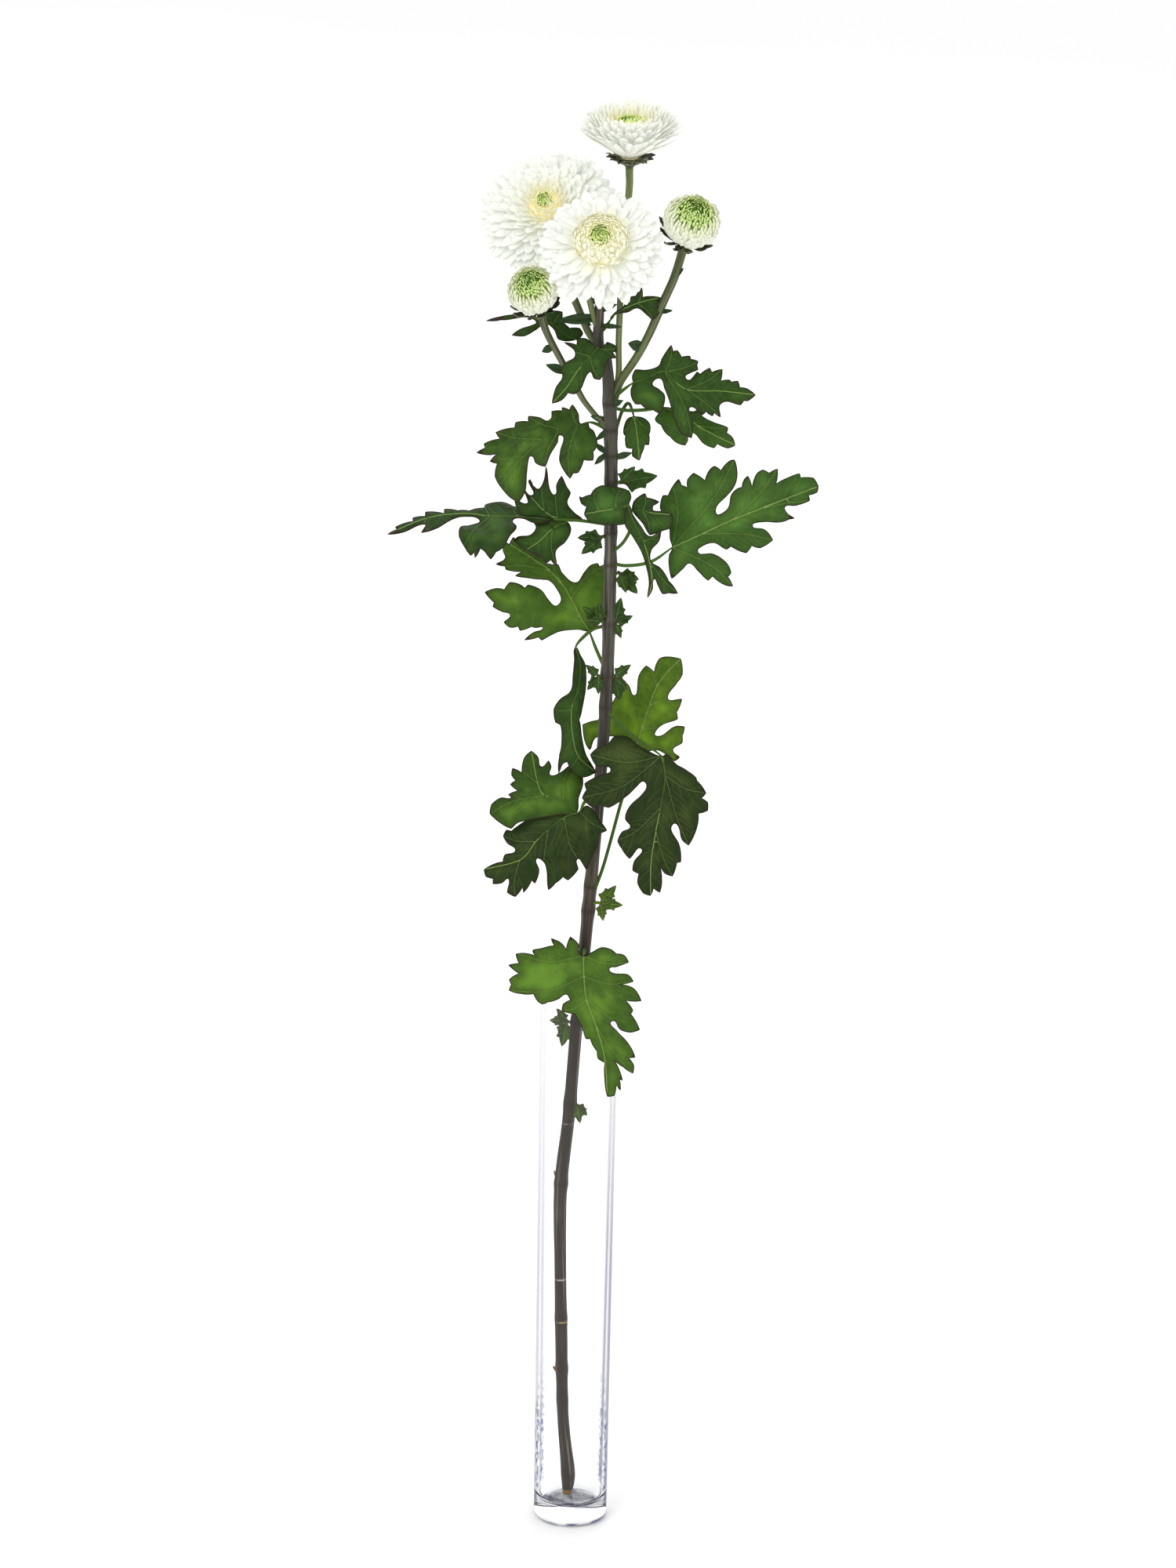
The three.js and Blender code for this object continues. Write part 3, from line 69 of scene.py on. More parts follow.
# Camera, lamps and floor, in metres and degrees, but for the lens and the sensor, which are in millimetres.
# Each lamp has a place, a point it faces, a size and a power in watts.
CAMERA_PLACE = (0.0023, -2.9193, 1.3384)
CAMERA_PITCH = 18
CAMERA_ROLL = 1.064
LENS = 96
SENSOR_HEIGHT = 24
LAMPS = {
    "key light": ((-1.6, -2.2, 2.6), (0, 0, 0.45), 1.6, 30),
    "fill light": ((2.2, -1.6, 1.4), (0, 0, 0.4), 1.8, 9),
    "back light": ((0.6, 2.4, 2.0), (0, 0, 0.4), 1.6, 14),
}
SKY_STRENGTH = 1.0
SKY_STRENGTH_SEEN = 1.05
FLOOR_SIZE = 12
FLOOR_DROP = 0.15 * MM

# The point that the leaf outlines are seen from
EYE = np.array((2.0, -2919.0, 1338.0))

# Leaf blades, in millimetres: half their thickness, how near two points may lie, and how the veins run.
# Side veins have a spacing along the vein they leave, and the angle they leave it at.
BLADE_HALF = 0.16
LEAFLET_HALF = 0.15
MERGE_DISTANCE = 1e-4
VEIN_STEP = 1.0
VEIN_MARGIN = 0.35
RIB_SIDE_VEINS = (5, 50)
MAIN_SIDE_VEINS = (4, 46)
SIDE_VEIN_STEP = 0.9
SIDE_VEIN_BEND = 0.035
SIDE_VEIN_POINTS = 14
SIDE_VEIN_MARGIN = 0.8
SIDE_VEIN_CLEARANCE = 1.1
ON_VEIN = 0.05
FAR = 1e3
WAVE_HEIGHT = 3.6
FILL_PITCH = 1.75
ROW_SHARE = 0.866
# Relief along the veins and the fullness between them, as height and width, and the midrib's extra width
RIB_RIDGE = (0.45, 0.7)
MAIN_RIDGE = (0.28, 0.6)
FINE_RIDGE = (0.12, 0.5)
RIB_SWELLING = (0.5, 0.55)
MAIN_SWELLING = (0.2, 0.45)
LEAFLET_GROOVE = (0.2, 0.5)
PILLOW_HEIGHT = 0.35
PILLOW_WIDTH = 2.2
RIB_WIDER = 0.14

# Stalks: how far a leaf's stalk runs on under its midrib, as a share of it, and the straight run into a calyx
STALK_SHARE = 0.45
CALYX_LEAD = 3.5

# Main stem: points and radius
STEM = [
    (-1.5, 4, 9.5, 2.3), (-1.5, 3, 22.5, 3.2), (-4.5, 1, 54, 2.8), (-6, -1.5, 99, 3), (-7, -4, 136, 2.8),
    (-7.5, -7, 180, 3.1), (-4, -9.5, 221, 2.9), (-1.5, -12.5, 262.5, 2.9), (2, -14.3, 307.5, 2.9),
    (6, -17, 365.5, 3), (9.5, -19, 422, 2.8), (11, -20, 473, 3), (11, -20.5, 523, 2.8),
    (10, -21, 572, 3.1), (7.5, -22, 607, 2.6), (3.5, -22, 616, 2.6), (3.5, -26, 634, 2.3),
    (4.5, -30, 649, 2.1), (6.5, -34, 660, 2.1),
]

# Stalks that carry the other blooms: the bloom, the centre line up to its neck, the radius at both ends
# and how green the stalk is
BRANCHES = [
    ("right", [(11, -21.5, 588), (14, -21, 598), (21.5, -20, 610), (27.5, -18.5, 621.5),
               (34, -16.5, 637), (39, -15.5, 649)], (1.9, 2.1), 0.55),
    ("low", [(8.5, -21.5, 575), (-1.5, -23, 587), (-6, -24.5, 594.5), (-15, -28, 611.5),
             (-20, -30.5, 621.5), (-22.5, -32.5, 628)], (1.3, 2), 0.45),
    ("top", [(8, -21.5, 592), (13, -20, 599.5), (13, -18, 619.5), (14, -13.5, 655), (16.5, -10, 688)],
     (1.3, 1.9), 0.9),
    ("left", [(7, -22, 601), (1.5, -21, 617), (-2, -20, 623), (-7, -17.5, 634), (-12.5, -14.5, 646),
              (-18.5, -9.5, 662)], (1.7, 1.9), 0.5),
]

# Nodes of the stem: height, swelling and how far it reaches up and down
NODES = [
    (20, 0.35, 7), (62, 0.2, 4), (80, 0.35, 3), (108, 0.2, 3), (183, 0.4, 3), (227, 0.35, 4), (271, 0.4, 4),
    (330, 0.45, 4), (343, 0.35, 4), (394, 0.4, 4), (436, 0.35, 4), (452, 0.35, 4), (478, 0.5, 4),
    (508, 0.4, 4), (524, 0.45, 4), (549, 0.3, 4), (562, 0.3, 3), (575, 0.5, 5), (588, 0.5, 4), (612, 0.3, 4),
]

# Pale rings round the stem inside the vase: height in metres and colour
RINGS = [(0.1315, (0.4, 0.38, 0.36)), (0.108, (0.34, 0.25, 0.1)), (0.2175, (0.2, 0.17, 0.14))]

# Sprigs of small leaflets: the fork where the leaflets part, their tips and their colouring
SPRIGS = {
    "sprig_right_pointed": ((15, -22, 549), [(33, -20, 552), (22, -26, 558)], "dark"),
    "sprig_left_pair": ((7, -22.5, 522), [(-3, -22, 513), (-5, -20, 520.5)], "dark"),
    "sprig_right_tuft": ((15.5, -20.5, 503.5), [(24.5, -20, 493), (19, -24, 494.5), (25, -16, 499)], "dark"),
    "sprig_node_left": ((7, -23.5, 480), [(-2, -26, 488), (0, -29, 482), (6, -26, 490)], "dark"),
    "sprig_node_right": ((14, -21, 478.5), [(22.5, -20, 482), (16.5, -22, 491.5), (17, -25, 472)], "dark"),
    "sprig_low_left": ((6.5, -22, 452), [(0, -22, 457.5), (1, -23, 445), (6.5, -26, 444)], "dark"),
    "sprig_low_right": ((14, -20.5, 451.5), [(22, -20.5, 457.5), (20.5, -21, 445), (17, -18, 438.5)], "dark"),
    "sprig_yellow": ((9.5, -19, 335), [(17, -20, 344.5), (20.5, -22, 335), (11, -20, 326)], "yellow"),
    "sprig_in_neck": ((-6, -11.5, 270.5), [(-11, -11, 277), (-14.5, -8, 269.5), (-8, -11, 257)], "yellow"),
    "sprig_in_vase": ((-0.5, -9, 226), [(5, -8, 219.5), (1.5, -12.5, 217)], "yellow"),
}

# Bracts and buds that grow out of the stem: foot, tip and width
BRACTS = [
    ((12, -22, 561), (20.5, -23, 564), 3.4),
    ((9.7, -21.1, 578.3), (0, -24, 582), 3.4),
    ((9.7, -22, 575.5), (2.6, -25, 570), 3),
    ((8, -22, 563.5), (2.5, -22, 568), 3),
    ((8, -22, 563), (2.5, -24, 558), 3),
    ((3.4, -25.1, 630.4), (-17, -29.1, 629.5), 5.2),
    ((3.6, -26.8, 637.3), (-6.8, -29.8, 643.2), 2.6),
    ((3.5, -26, 634), (11.8, -29, 638), 3.2),
    ((3.2, -24.6, 626.4), (14.3, -35, 628.6), 2.6),
    ((-3.9, -19.1, 627), (0, -21, 625.5), 2),
    ((-17.9, -29.3, 617.2), (-23.4, -30.3, 614.4), 4),
    ((-11, -26.4, 603.8), (-21.5, -27.4, 607.6), 4.5),
    ((13.1, -18.8, 612), (7.3, -21.8, 617.9), 3),
    ((24.3, -19.4, 615), (17.4, -23.4, 617.7), 5.5),
    ((31.8, -17.1, 631.7), (38.3, -19.1, 633.1), 2.4),
    ((38.8, -15.5, 648.3), (43.1, -17.5, 653.4), 2.2),
    ((9.6, -22.6, 586.8), (15.8, -28, 591), 3.4),
]

# Brown buds on the stem inside the vase: foot, tip and width
BUDS = [((-7, -7.5, 184), (-11, -8, 190), 3), ((-6, -2, 79), (-10, -3, 82), 2.8)]

# A bare side stalk under the front bloom
BARE_STALK = [(3.5, -23, 622), (1, -26, 630), (-1, -29, 639), (-3, -31, 645)]

# Blooms: where the flower sits on its calyx, the way it faces, its size and its petals. dome is the height
# of the core and heart half the width of the green middle, as shares of the radius; sag lengthens the lower
# petals and sparse thins them out under the ball. cup is where the bracts of the calyx end, out and up, and
# their slope there, and deep how much painted shade darkens the gaps of the heart.
# Each row of petals, from the outermost to the innermost, gives: its share of the way in, how far out and up
# the tips are as shares of the radius, the slopes at foot and tip, the width, and how warm the colour is.
BLOOMS = {
    "top": {
        "seat": (16.5, -10, 704.5), "face": (0, -0.14, 0.98), "radius": 25, "dome": 0.62, "heart": 0.27,
        "petals": 330, "sag": 0, "sparse": 0, "cup": (12, 1.4, 12), "deep": 0.5,
        "rows": [(0, 1, 0.6, 33, 30, 4.6, 0), (0.3, 0.9, 0.8, 42, 44, 4.4, 0.06),
                 (0.55, 0.74, 0.9, 52, 62, 4, 0.14), (0.8, 0.54, 0.9, 62, 88, 3.2, 0.22),
                 (1, 0.34, 0.81, 74, 110, 2.5, 0.55)]},
    "left": {
        "seat": (-21.4, -7.5, 675.3), "face": (-0.15, -0.72, 0.68), "radius": 34, "dome": 0.42, "heart": 0.12,
        "petals": 430, "sag": 0.03, "sparse": 0, "cup": (13, 1.2, 42), "deep": 0.6,
        "rows": [(0, 1, 0.02, 14, -8, 5.8, 0), (0.25, 0.94, 0.15, 26, 6, 5.8, 0.02),
                 (0.45, 0.79, 0.27, 36, 24, 5.4, 0.06), (0.62, 0.58, 0.37, 48, 42, 4.6, 0.14),
                 (0.76, 0.4, 0.43, 60, 66, 3.8, 0.2), (0.88, 0.26, 0.46, 68, 90, 3, 0.4),
                 (1, 0.13, 0.46, 78, 115, 2.2, 0.9)]},
    "front": {
        "seat": (4.2, -42.5, 668), "face": (-0.06, -0.79, 0.61), "radius": 30.5, "dome": 0.45, "heart": 0.175,
        "petals": 440, "sag": 0.03, "sparse": 0.6, "cup": (11.5, 1, 42), "deep": 0.62,
        "rows": [(0, 1, 0, 15, -8, 6.4, 0), (0.2, 0.92, 0.12, 28, 4, 6.2, 0.02),
                 (0.33, 0.72, 0.22, 40, 26, 5.6, 0.08), (0.38, 0.46, 0.32, 24, 96, 3.6, 0.34),
                 (0.5, 0.39, 0.43, 30, 128, 3.2, 0.44), (0.65, 0.32, 0.49, 40, 144, 2.8, 0.5),
                 (0.83, 0.24, 0.525, 52, 150, 2.4, 0.62), (1, 0.16, 0.53, 66, 148, 2, 0.85)]},
    "right": {
        "seat": (44.4, -22.8, 670.4), "face": (0.17, -0.64, 0.75), "radius": 13.7, "petals": 210,
        "cup": (14.4, 6.6, 80), "deep": 1, "globe": True},
    "low": {
        "seat": (-25.7, -40, 641.4), "face": (-0.2, -0.7, 0.69), "radius": 12.3, "petals": 200,
        "cup": (13, 6, 80), "deep": 1, "globe": True},
}
GLOBE_ROWS = [(0, 1, 0.86, -5, 88, 3.4, 0), (0.3, 0.98, 1.04, 5, 98, 3.2, 0.08),
              (0.55, 0.91, 1.2, 15, 112, 2.8, 0.22), (0.75, 0.78, 1.34, 25, 128, 2.3, 0.5),
              (1, 0.56, 1.44, 38, 142, 1.8, 0.85)]
CALYX_DEPTH = 4.2
GAP = 0.3
# Outer and inner bracts of a calyx: how many, their length as a share of the cup's and how far they stand off
BRACT_ROWS = [(13, 1, 0.1), (11, 0.86, 0.6)]
# Petals: faces across and along, the width from which the broad grid is used, how much closer the points
# lie near the tip, and where an open bloom is sparse, as a share of the way in and the sine of the angle
BROAD_GRID = (4, 7)
SLIM_GRID = (2, 6)
GLOBE_GRID = (2, 7)
FLORET_GRID = (2, 4)
BROAD_WIDTH = 3.6
TIP_CROWDING = 1.35
SPARSE_ROWS = (0.34, 0.5)
SPARSE_BELOW = -0.35
# Cores, hearts and calyces: points round each, the radius that GLOBE_ROWS' widths are given for, the room
# that a globe's petals take, the florets of a heart and their size as a share, and the share left out
OPEN_CORE_SIDES = 32
GLOBE_CORE_SIDES = 28
HEART_SIDES = 24
CALYX_SIDES = 28
GLOBE_ROW_RADIUS = 14
GLOBE_PETAL_ROOM = 3.45
OPEN_FLORETS = (84, 1)
GLOBE_FLORETS = (150, 0.68)
FLORETS_MISSING = 0.1
BLOOM_SEED = 40
# The share of light that passes into a petal, and how strongly the glass bends light
PETAL_LIGHT = 0.3
GLASS_IOR = 1.26
GOLDEN_ANGLE = math.radians(137.508)

# How bright the leaves are between the veins, from olive to lime, blade by blade where they differ
# partly the leaves' own colour and partly painted light: the brighter blades stand for light shining through
# them
SHADES = {
    "leaf_right_large": (0.4,), "leaf_left_middle": (0.66,), "leaf_back_lower": (1.0,),
    "leaf_rim": (0.64,), "leaf_right_lower": (0.05,), "leaf_left_lower": (0.1, 0.56),
    "leaf_right_back": (0.5,), "leaf_right_hanging": (0.5,), "leaf_left_upper": (0.55,),
    "leaf_right_upper": (0.46,), "leaf_left_narrow": (0.3,), "leaf_left_wide": (0.3,),
}

# Colours of the finishes that a user wouldn't change
LEAF_SHADOW = (0.003, 0.014, 0.002)
LEAF_VEIN = (0.2, 0.3, 0.07)
LEAF_BORDER = (0.03, 0.016, 0.012)
SPRIG_VEIN = (0.2, 0.3, 0.12)
SPRIG_BORDER = (0.07, 0.045, 0.03)
PETAL_GREEN = (0.74, 0.8, 0.4)
OPEN_CORE = (0.82, 0.7, 0.36)
GLOBE_WHITE = (0.7, 0.71, 0.6)
GLOBE_CREAM = (0.66, 0.69, 0.46)
GLOBE_GREEN = (0.52, 0.64, 0.26)
# Dark green of a globe's hidden core, seen through the gaps between its petals: painted shade over the core's
# own green
GLOBE_CORE_GREEN_AND_SHADE = (0.2, 0.26, 0.05)
FLORET_RIM = (0.85, 0.88, 0.45)
FLORET_MIDDLE = (0.6, 0.78, 0.2)
FLORET_PALE = (0.92, 0.94, 0.6)
FLORET_GLOBE = (0.55, 0.74, 0.24)
# Dark green of the florets' feet and dome: their own green with painted shade
FLORET_GREEN_AND_GAP_SHADE = (0.06, 0.14, 0.008)
BRACT_FOOT = (0.075, 0.1, 0.03)
BRACT_TIP = (0.035, 0.028, 0.016)
BRACT_GREEN = (0.11, 0.13, 0.05)
BRACT_SPOT = (0.03, 0.03, 0.015)
BRACT_EDGE = (0.5, 0.48, 0.36)
BARK_UPPER = (0.07, 0.07, 0.052)
BARK_MIDDLE = (0.085, 0.07, 0.05)
BARK_IN_VASE = (0.04, 0.029, 0.02)
BARK_BLOTCH = (0.08, 0.055, 0.05)
BARK_LINE = (0.2, 0.17, 0.13)
STALK_LINE_COLOUR = (0.3, 0.33, 0.2)
NODE_SCAR = (0.03, 0.02, 0.015)
CUT_END = (0.3, 0.17, 0.07)
STEM_BRACT_DARK = (0.014, 0.032, 0.012)
STEM_BRACT_LIGHT = (0.035, 0.075, 0.02)
BUD_DARK = (0.1, 0.045, 0.02)
BUD_LIGHT = (0.34, 0.17, 0.07)
GLASS_CLEAR = (0.99, 0.995, 1.0)
# Blue of the glass's edge lines: partly its own tint, partly painted refraction
GLASS_TINT_AND_PAINTED_REFRACTION = (0.004, 0.008, 0.07)

# Leaves. rim is a blade's outline and rib and veins its ribs, in millimetres from the blade's foot, right
# and up as seen from EYE; a rim point with a third number is rounded, the others are corners. Each vein
# starts at the given rib point. lean tips a blade away to the right and to the top, and fold bends its
# halves back from the rib.
LEAVES = {
    "leaf_right_large": {
        "tone": "light",
        "stalk": [(11, -20.5, 508.5), (19, -25, 508.5), (30.5, -28, 511.5), (40.5, -29, 519)],
        "blades": [
            {"at": (40.5, -29, 519), "lean": (-0.25, -0.1), "fold": 0.12,
             "rib": [(0, 0), (14.5, 7), (29, 14), (43.5, 20), (69, 30.5)],
             "veins": [
                 (0, -1, 32.5), (0, 29, 42.5), (1, 48, 4.5), (0, 29.5, -18), (2, 49.5, 38.5), (3, 65, 23.5),
             ],
             "rim": [
                 (-1.2, 4, 1), (-1.5, 8.5, 1), (-2, 13.5, 1), (-6, 18, 1), (-6, 22), (-5, 25), (-2.5, 25),
                 (0, 30, 1), (2.5, 33), (4, 30), (6.5, 29), (6.5, 32.5), (9.5, 36), (15, 32.5),
                 (17, 37.5, 1), (19.5, 39.5), (22.5, 37.5), (26.5, 42, 1), (29, 42.5), (30.5, 36, 1),
                 (29.5, 30.5, 1), (26, 25.5, 1), (21, 20, 1), (21, 16.5, 1), (23.5, 17, 1), (26.5, 20, 1),
                 (27.5, 25.5, 1), (30, 28.5, 1), (32.5, 29.5), (33.5, 33, 1), (35.5, 35), (37.5, 30),
                 (39.5, 36, 1), (42.5, 38), (45.5, 36.5), (49.5, 38.5), (49, 31.5), (54.5, 34.5, 1),
                 (60, 36.5), (60.5, 34.5), (66.5, 34.5), (69, 30.5), (68.5, 27.5), (64.5, 26), (65, 23.5),
                 (58.5, 21, 1), (53.5, 20.5, 1), (54.5, 17.5, 1), (58, 15), (55.5, 14.5), (51.5, 13),
                 (44, 13, 1), (38.5, 12, 1), (38.5, 10.5, 1), (44, 9.5, 1), (48, 4.5), (42, 0.5), (38, 1.5),
                 (35.5, -2), (28, 1), (26, -0.5), (19.5, 2.5, 1), (12.5, -0.5, 1), (13, -2.5, 1),
                 (19.5, -2.5, 1), (25.5, -6), (27.5, -8.5, 1), (28.5, -11.5), (27, -13.5), (29.5, -18),
                 (25.5, -17.5), (19.5, -13.5), (17.5, -15.5), (12.5, -11, 1), (8.5, -7.5, 1), (5.5, -10, 1),
                 (0, -15), (-1.5, -9, 1), (-1.5, -3.5, 1),
             ],},
        ],
    },
    "leaf_right_upper": {
        "tone": "dark",
        "stalk": [(10.5, -21.5, 590), (15.5, -26, 595.5), (20, -30, 600)],
        "blades": [
            {"at": (20, -30, 600), "lean": (0.1, 0.25), "fold": -0.08,
             "rib": [(0, 0), (8.5, 3.5), (15, 5.5), (25.5, -2.5), (42, -3), (58.5, -4.5)],
             "veins": [
                 (2, 18, 18.5), (2, 31, 11), (3, 42.5, 7.5), (3, 42, -15.5), (2, 28.5, -25.5),
                 (1, 13.5, -14.5),
             ],
             "rim": [
                 (-0.5, 3, 1), (1, 6.5), (6.5, 6.5, 1), (12, 8.5, 1), (13.5, 12, 1), (18, 18.5), (19, 15.5),
                 (21, 16), (23, 13), (27, 13.5), (27.5, 12), (31, 11), (30.5, 9), (31, 7), (27, 5, 1),
                 (25, 3.5, 1), (26.5, 2, 1), (28.5, 3.5, 1), (30.5, 6), (32, 5), (36.5, 8), (37.5, 6),
                 (42.5, 7.5), (42, 2), (46, 2.5), (47, 1.5), (50, 2), (51, -1), (54.5, -1.5), (58.5, -4.5),
                 (55, -7.5), (53, -7.5), (51.5, -9.5), (44.5, -8, 1), (41.5, -10, 1), (42, -15.5),
                 (39, -13.5), (38, -15), (35, -13), (33.5, -14.5), (27.5, -11, 1), (29, -16.5, 1),
                 (28.5, -25.5), (23, -23, 1), (20, -17, 1), (17.5, -8.5, 1), (15, -2, 1), (13.5, 2, 1),
                 (11, 2, 1), (9.5, -0.5, 1), (12.5, -2.5, 1), (15.5, -6, 1), (13.5, -14.5), (9, -12),
                 (6.5, -12), (4, -10), (1.5, -10), (-0.5, -7, 1), (-1, -3, 1),
             ],},
        ],
    },
    "leaf_right_back": {
        "tone": "light",
        "stalk": [(11, -21.5, 585.5), (17.5, -18, 583.5), (27, -18, 584), (35, -19, 585.5)],
        "blades": [
            {"at": (35, -19, 585.5), "lean": (0.1, 0.1), "fold": 0.1,
             "rib": [(0, 0), (9, -3.5), (16.5, -8.5), (24, -12.5), (34.5, -17.5)],
             "veins": [(1, 10.5, -18), (2, 31, -9)],
             "rim": [
                 (6, -0.5, 1), (14, -1.5, 1), (16.5, -1, 1), (19, -4, 1), (24, -6.5, 1), (31, -9),
                 (30.5, -11.5), (33.5, -14), (34.5, -17.5), (31, -19), (26, -17), (24.5, -19),
                 (19.5, -17, 1), (14.5, -12, 1), (12, -13.5, 1), (12, -15.5), (10.5, -18), (6, -16.5),
                 (3.5, -14), (1, -12, 1), (-1, -8.5), (-4, -6, 1), (-2.5, -3, 1),
             ],},
        ],
    },
    "leaf_right_hanging": {
        "tone": "light",
        "stalk": [
            (11.5, -21.5, 570), (13, -18.5, 575.5), (15.5, -14.5, 582.5), (18.5, -12, 585.5),
            (20.5, -12, 582),
        ],
        "blades": [
            {"at": (21, -12, 579), "lean": (0, 0.2), "fold": 0.1,
             "rib": [(0, 0), (1, -5), (2, -11.5), (3, -21)],
             "veins": [(0, -5, -8), (0, 8, -6.5)],
             "rim": [
                 (-3, -1, 1), (-4.5, -4), (-5, -8), (-4, -9.5), (-4, -12.5), (-3.5, -15), (-0.5, -15.5),
                 (-0.5, -19), (3, -21), (4, -18), (5.5, -13.5), (7.5, -13.5), (7.5, -8.5), (8, -6.5),
                 (7.5, -3, 1), (4.5, -0.5, 1),
             ],},
        ],
    },
    "leaf_left_upper": {
        "tone": "dark",
        "stalk": [(9.5, -21.5, 574), (3, -21.5, 577.5), (-1, -21, 578)],
        "blades": [
            {"at": (-1, -21, 578), "lean": (-0.15, 0.2), "fold": -0.1,
             "rib": [(0, 0), (-5, -1.5), (-13.5, -3.5), (-22, -8.5), (-33.5, -13.5), (-53, -15.5)],
             "veins": [
                 (1, -8, -27), (1, -7.5, 8.5), (2, -28.5, 2.5), (2, -20, -21.5), (3, -44, -5.5),
                 (3, -41.5, -31),
             ],
             "rim": [
                 (-3.5, -0.5, 1), (-4.5, 4, 1), (-7.5, 8.5), (-9, 6), (-12.5, 7), (-12.5, 5.5), (-17.5, 5),
                 (-17.5, 2, 1), (-19.5, 0.5, 1), (-23, 2, 1), (-28.5, 2.5), (-28.5, 0), (-34.5, -0.5),
                 (-35, -3), (-44, -5.5), (-42, -8.5), (-49.5, -11), (-49, -13), (-53, -15.5),
                 (-48, -16.5, 1), (-43.5, -16), (-46.5, -19.5), (-43, -20.5), (-44, -26.5), (-41.5, -31, 1),
                 (-36.5, -36.5, 1), (-32, -38.5), (-29, -33, 1), (-28.5, -24, 1), (-27.5, -17, 1),
                 (-26, -17, 1), (-24.5, -20, 1), (-20, -21.5), (-17.5, -15.5, 1), (-14, -9.5, 1),
                 (-13.5, -6.5, 1), (-11.5, -7.5, 1), (-13, -14, 1), (-13, -19.5, 1), (-8, -27),
                 (-6.5, -24.5), (-4, -24), (-1.5, -18), (3, -18), (3, -14), (5, -10.5), (3, -4, 1),
                 (1, -2.5, 1),
             ],},
        ],
    },
    "leaf_left_wide": {
        "tone": "dark",
        "stalk": [(10.5, -21, 527.5), (-3, -23.5, 530), (-10.5, -24, 530.5), (-18, -24, 530.5)],
        "blades": [
            {"at": (-18, -24, 530.5), "lean": (0.1, 1.2), "fold": 0,
             "rib": [(0, 0), (-16, 1), (-29, 1), (-42, 2), (-59, -0.5), (-77.5, -8.5)],
             "veins": [
                 (1, -18, 6), (1, -28, -19.5), (2, -41, -13.5), (2, -31.5, 6.5), (4, -60, 2.5),
                 (4, -61.5, -7.5),
             ],
             "rim": [
                 (-5.5, 2, 1), (-13, 4.5, 1), (-18, 6), (-23.5, 8), (-31.5, 6.5), (-32, 5), (-39, 3.5),
                 (-44.5, 3.5), (-51, 4), (-51, 2), (-60, 2.5), (-60, 0.5), (-66, -0.5), (-65.5, -2),
                 (-74, -5), (-73, -6), (-77.5, -8.5), (-70, -7.5, 1), (-60, -3.5, 1), (-61.5, -7.5),
                 (-54.5, -5.5, 1), (-47, -1, 1), (-41.5, 0.5, 1), (-34, -1, 1), (-38.5, -3.5, 1),
                 (-43, -4.5, 1), (-43.5, -9), (-41, -13.5, 1), (-37.5, -18), (-36, -16.5), (-35.5, -19),
                 (-33, -14.5), (-31.5, -15.5, 1), (-28, -19.5), (-25.5, -16), (-22, -13.5, 1), (-19, -8, 1),
                 (-16, -4, 1), (-18, -1, 1), (-14.5, 0.5, 1), (-7, -2, 1),
             ],},
            {"at": (-3, -24, 530.5), "lean": (0, -0.3), "fold": 0,
             "rib": [(0, 0), (-11.5, 0.5), (-18, 4), (-23, 9), (-29.5, 16.5)],
             "veins": [(1, -10, 21), (2, -17.5, 25.5)],
             "rim": [
                 (-3.5, 3.5, 1), (-7, 8, 1), (-5.5, 13), (-7.5, 16, 1), (-10, 21), (-12.5, 16.5, 1),
                 (-13, 12, 1), (-15.5, 14.5, 1), (-17.5, 25.5), (-18.5, 19, 1), (-21, 14.5, 1), (-23.5, 16),
                 (-25, 19), (-26, 18, 1), (-24, 11.5, 1), (-29.5, 16.5), (-27, 11, 1), (-26.5, 7.5, 1),
                 (-32.5, 9.5), (-31, 4.5, 1), (-28, 1.5, 1), (-19.5, 1, 1), (-12, -0.5, 1),
             ],},
            {"at": (-10, -24, 529.5), "lean": (0, 0.5), "fold": 0,
             "rib": [(0, 0), (-7, -3.5), (-13, -9.5), (-19.5, -14)],
             "veins": [(1, -4.5, -21.5)],
             "rim": [
                 (2, -4, 1), (-0.5, -9.5, 1), (-5, -14, 1), (-4.5, -21.5), (-7.5, -18.5), (-9.5, -20),
                 (-12.5, -16.5), (-19.5, -14), (-25.5, -9.5), (-23.5, -7.5), (-17.5, -6.5, 1), (-15, -3, 1),
                 (-16, 0, 1), (-9, 1, 1),
             ],},
        ],
    },
    "leaf_left_middle": {
        "tone": "light",
        "stalk": [(9, -20, 456), (5, -15, 463.5), (1.5, -12, 471.5)],
        "blades": [
            {"at": (1.5, -12, 471.5), "lean": (0, 0.12), "fold": 0.12,
             "rib": [(0, 0), (-4.5, 7), (-9, 15.5), (-14, 23), (-20, 29), (-28, 34.5), (-39.5, 41.5)],
             "veins": [(1, -51, 18), (2, 7.5, 32.5), (3, -18.5, 32), (4, -41.5, 30.5)],
             "rim": [
                 (-5.5, 0.5, 1), (-14, -0.5, 1), (-18.5, -2.5, 1), (-23, -5), (-24.5, -3.5), (-31.5, -5),
                 (-27, -1, 1), (-22.5, 1, 1), (-26, 1, 1), (-28, 1.5), (-33.5, -0.5), (-34.5, 1.5),
                 (-38.5, 1, 1), (-41.5, 3.5), (-38.5, 7, 1), (-42.5, 8.5, 1), (-47, 11), (-46.5, 13),
                 (-51, 18), (-45.5, 20), (-41.5, 19.5), (-39, 23), (-35, 22.5, 1), (-31.5, 20.5), (-30, 22),
                 (-23.5, 19.5, 1), (-20, 15, 1), (-16.5, 12, 1), (-14, 15, 1), (-16.5, 20.5, 1),
                 (-20, 24, 1), (-24, 24.5), (-30, 25, 1), (-36.5, 26), (-33.5, 28), (-41, 29),
                 (-41.5, 30.5), (-46, 31.5), (-41.5, 34.5, 1), (-42.5, 38, 1), (-43, 43), (-39.5, 41.5),
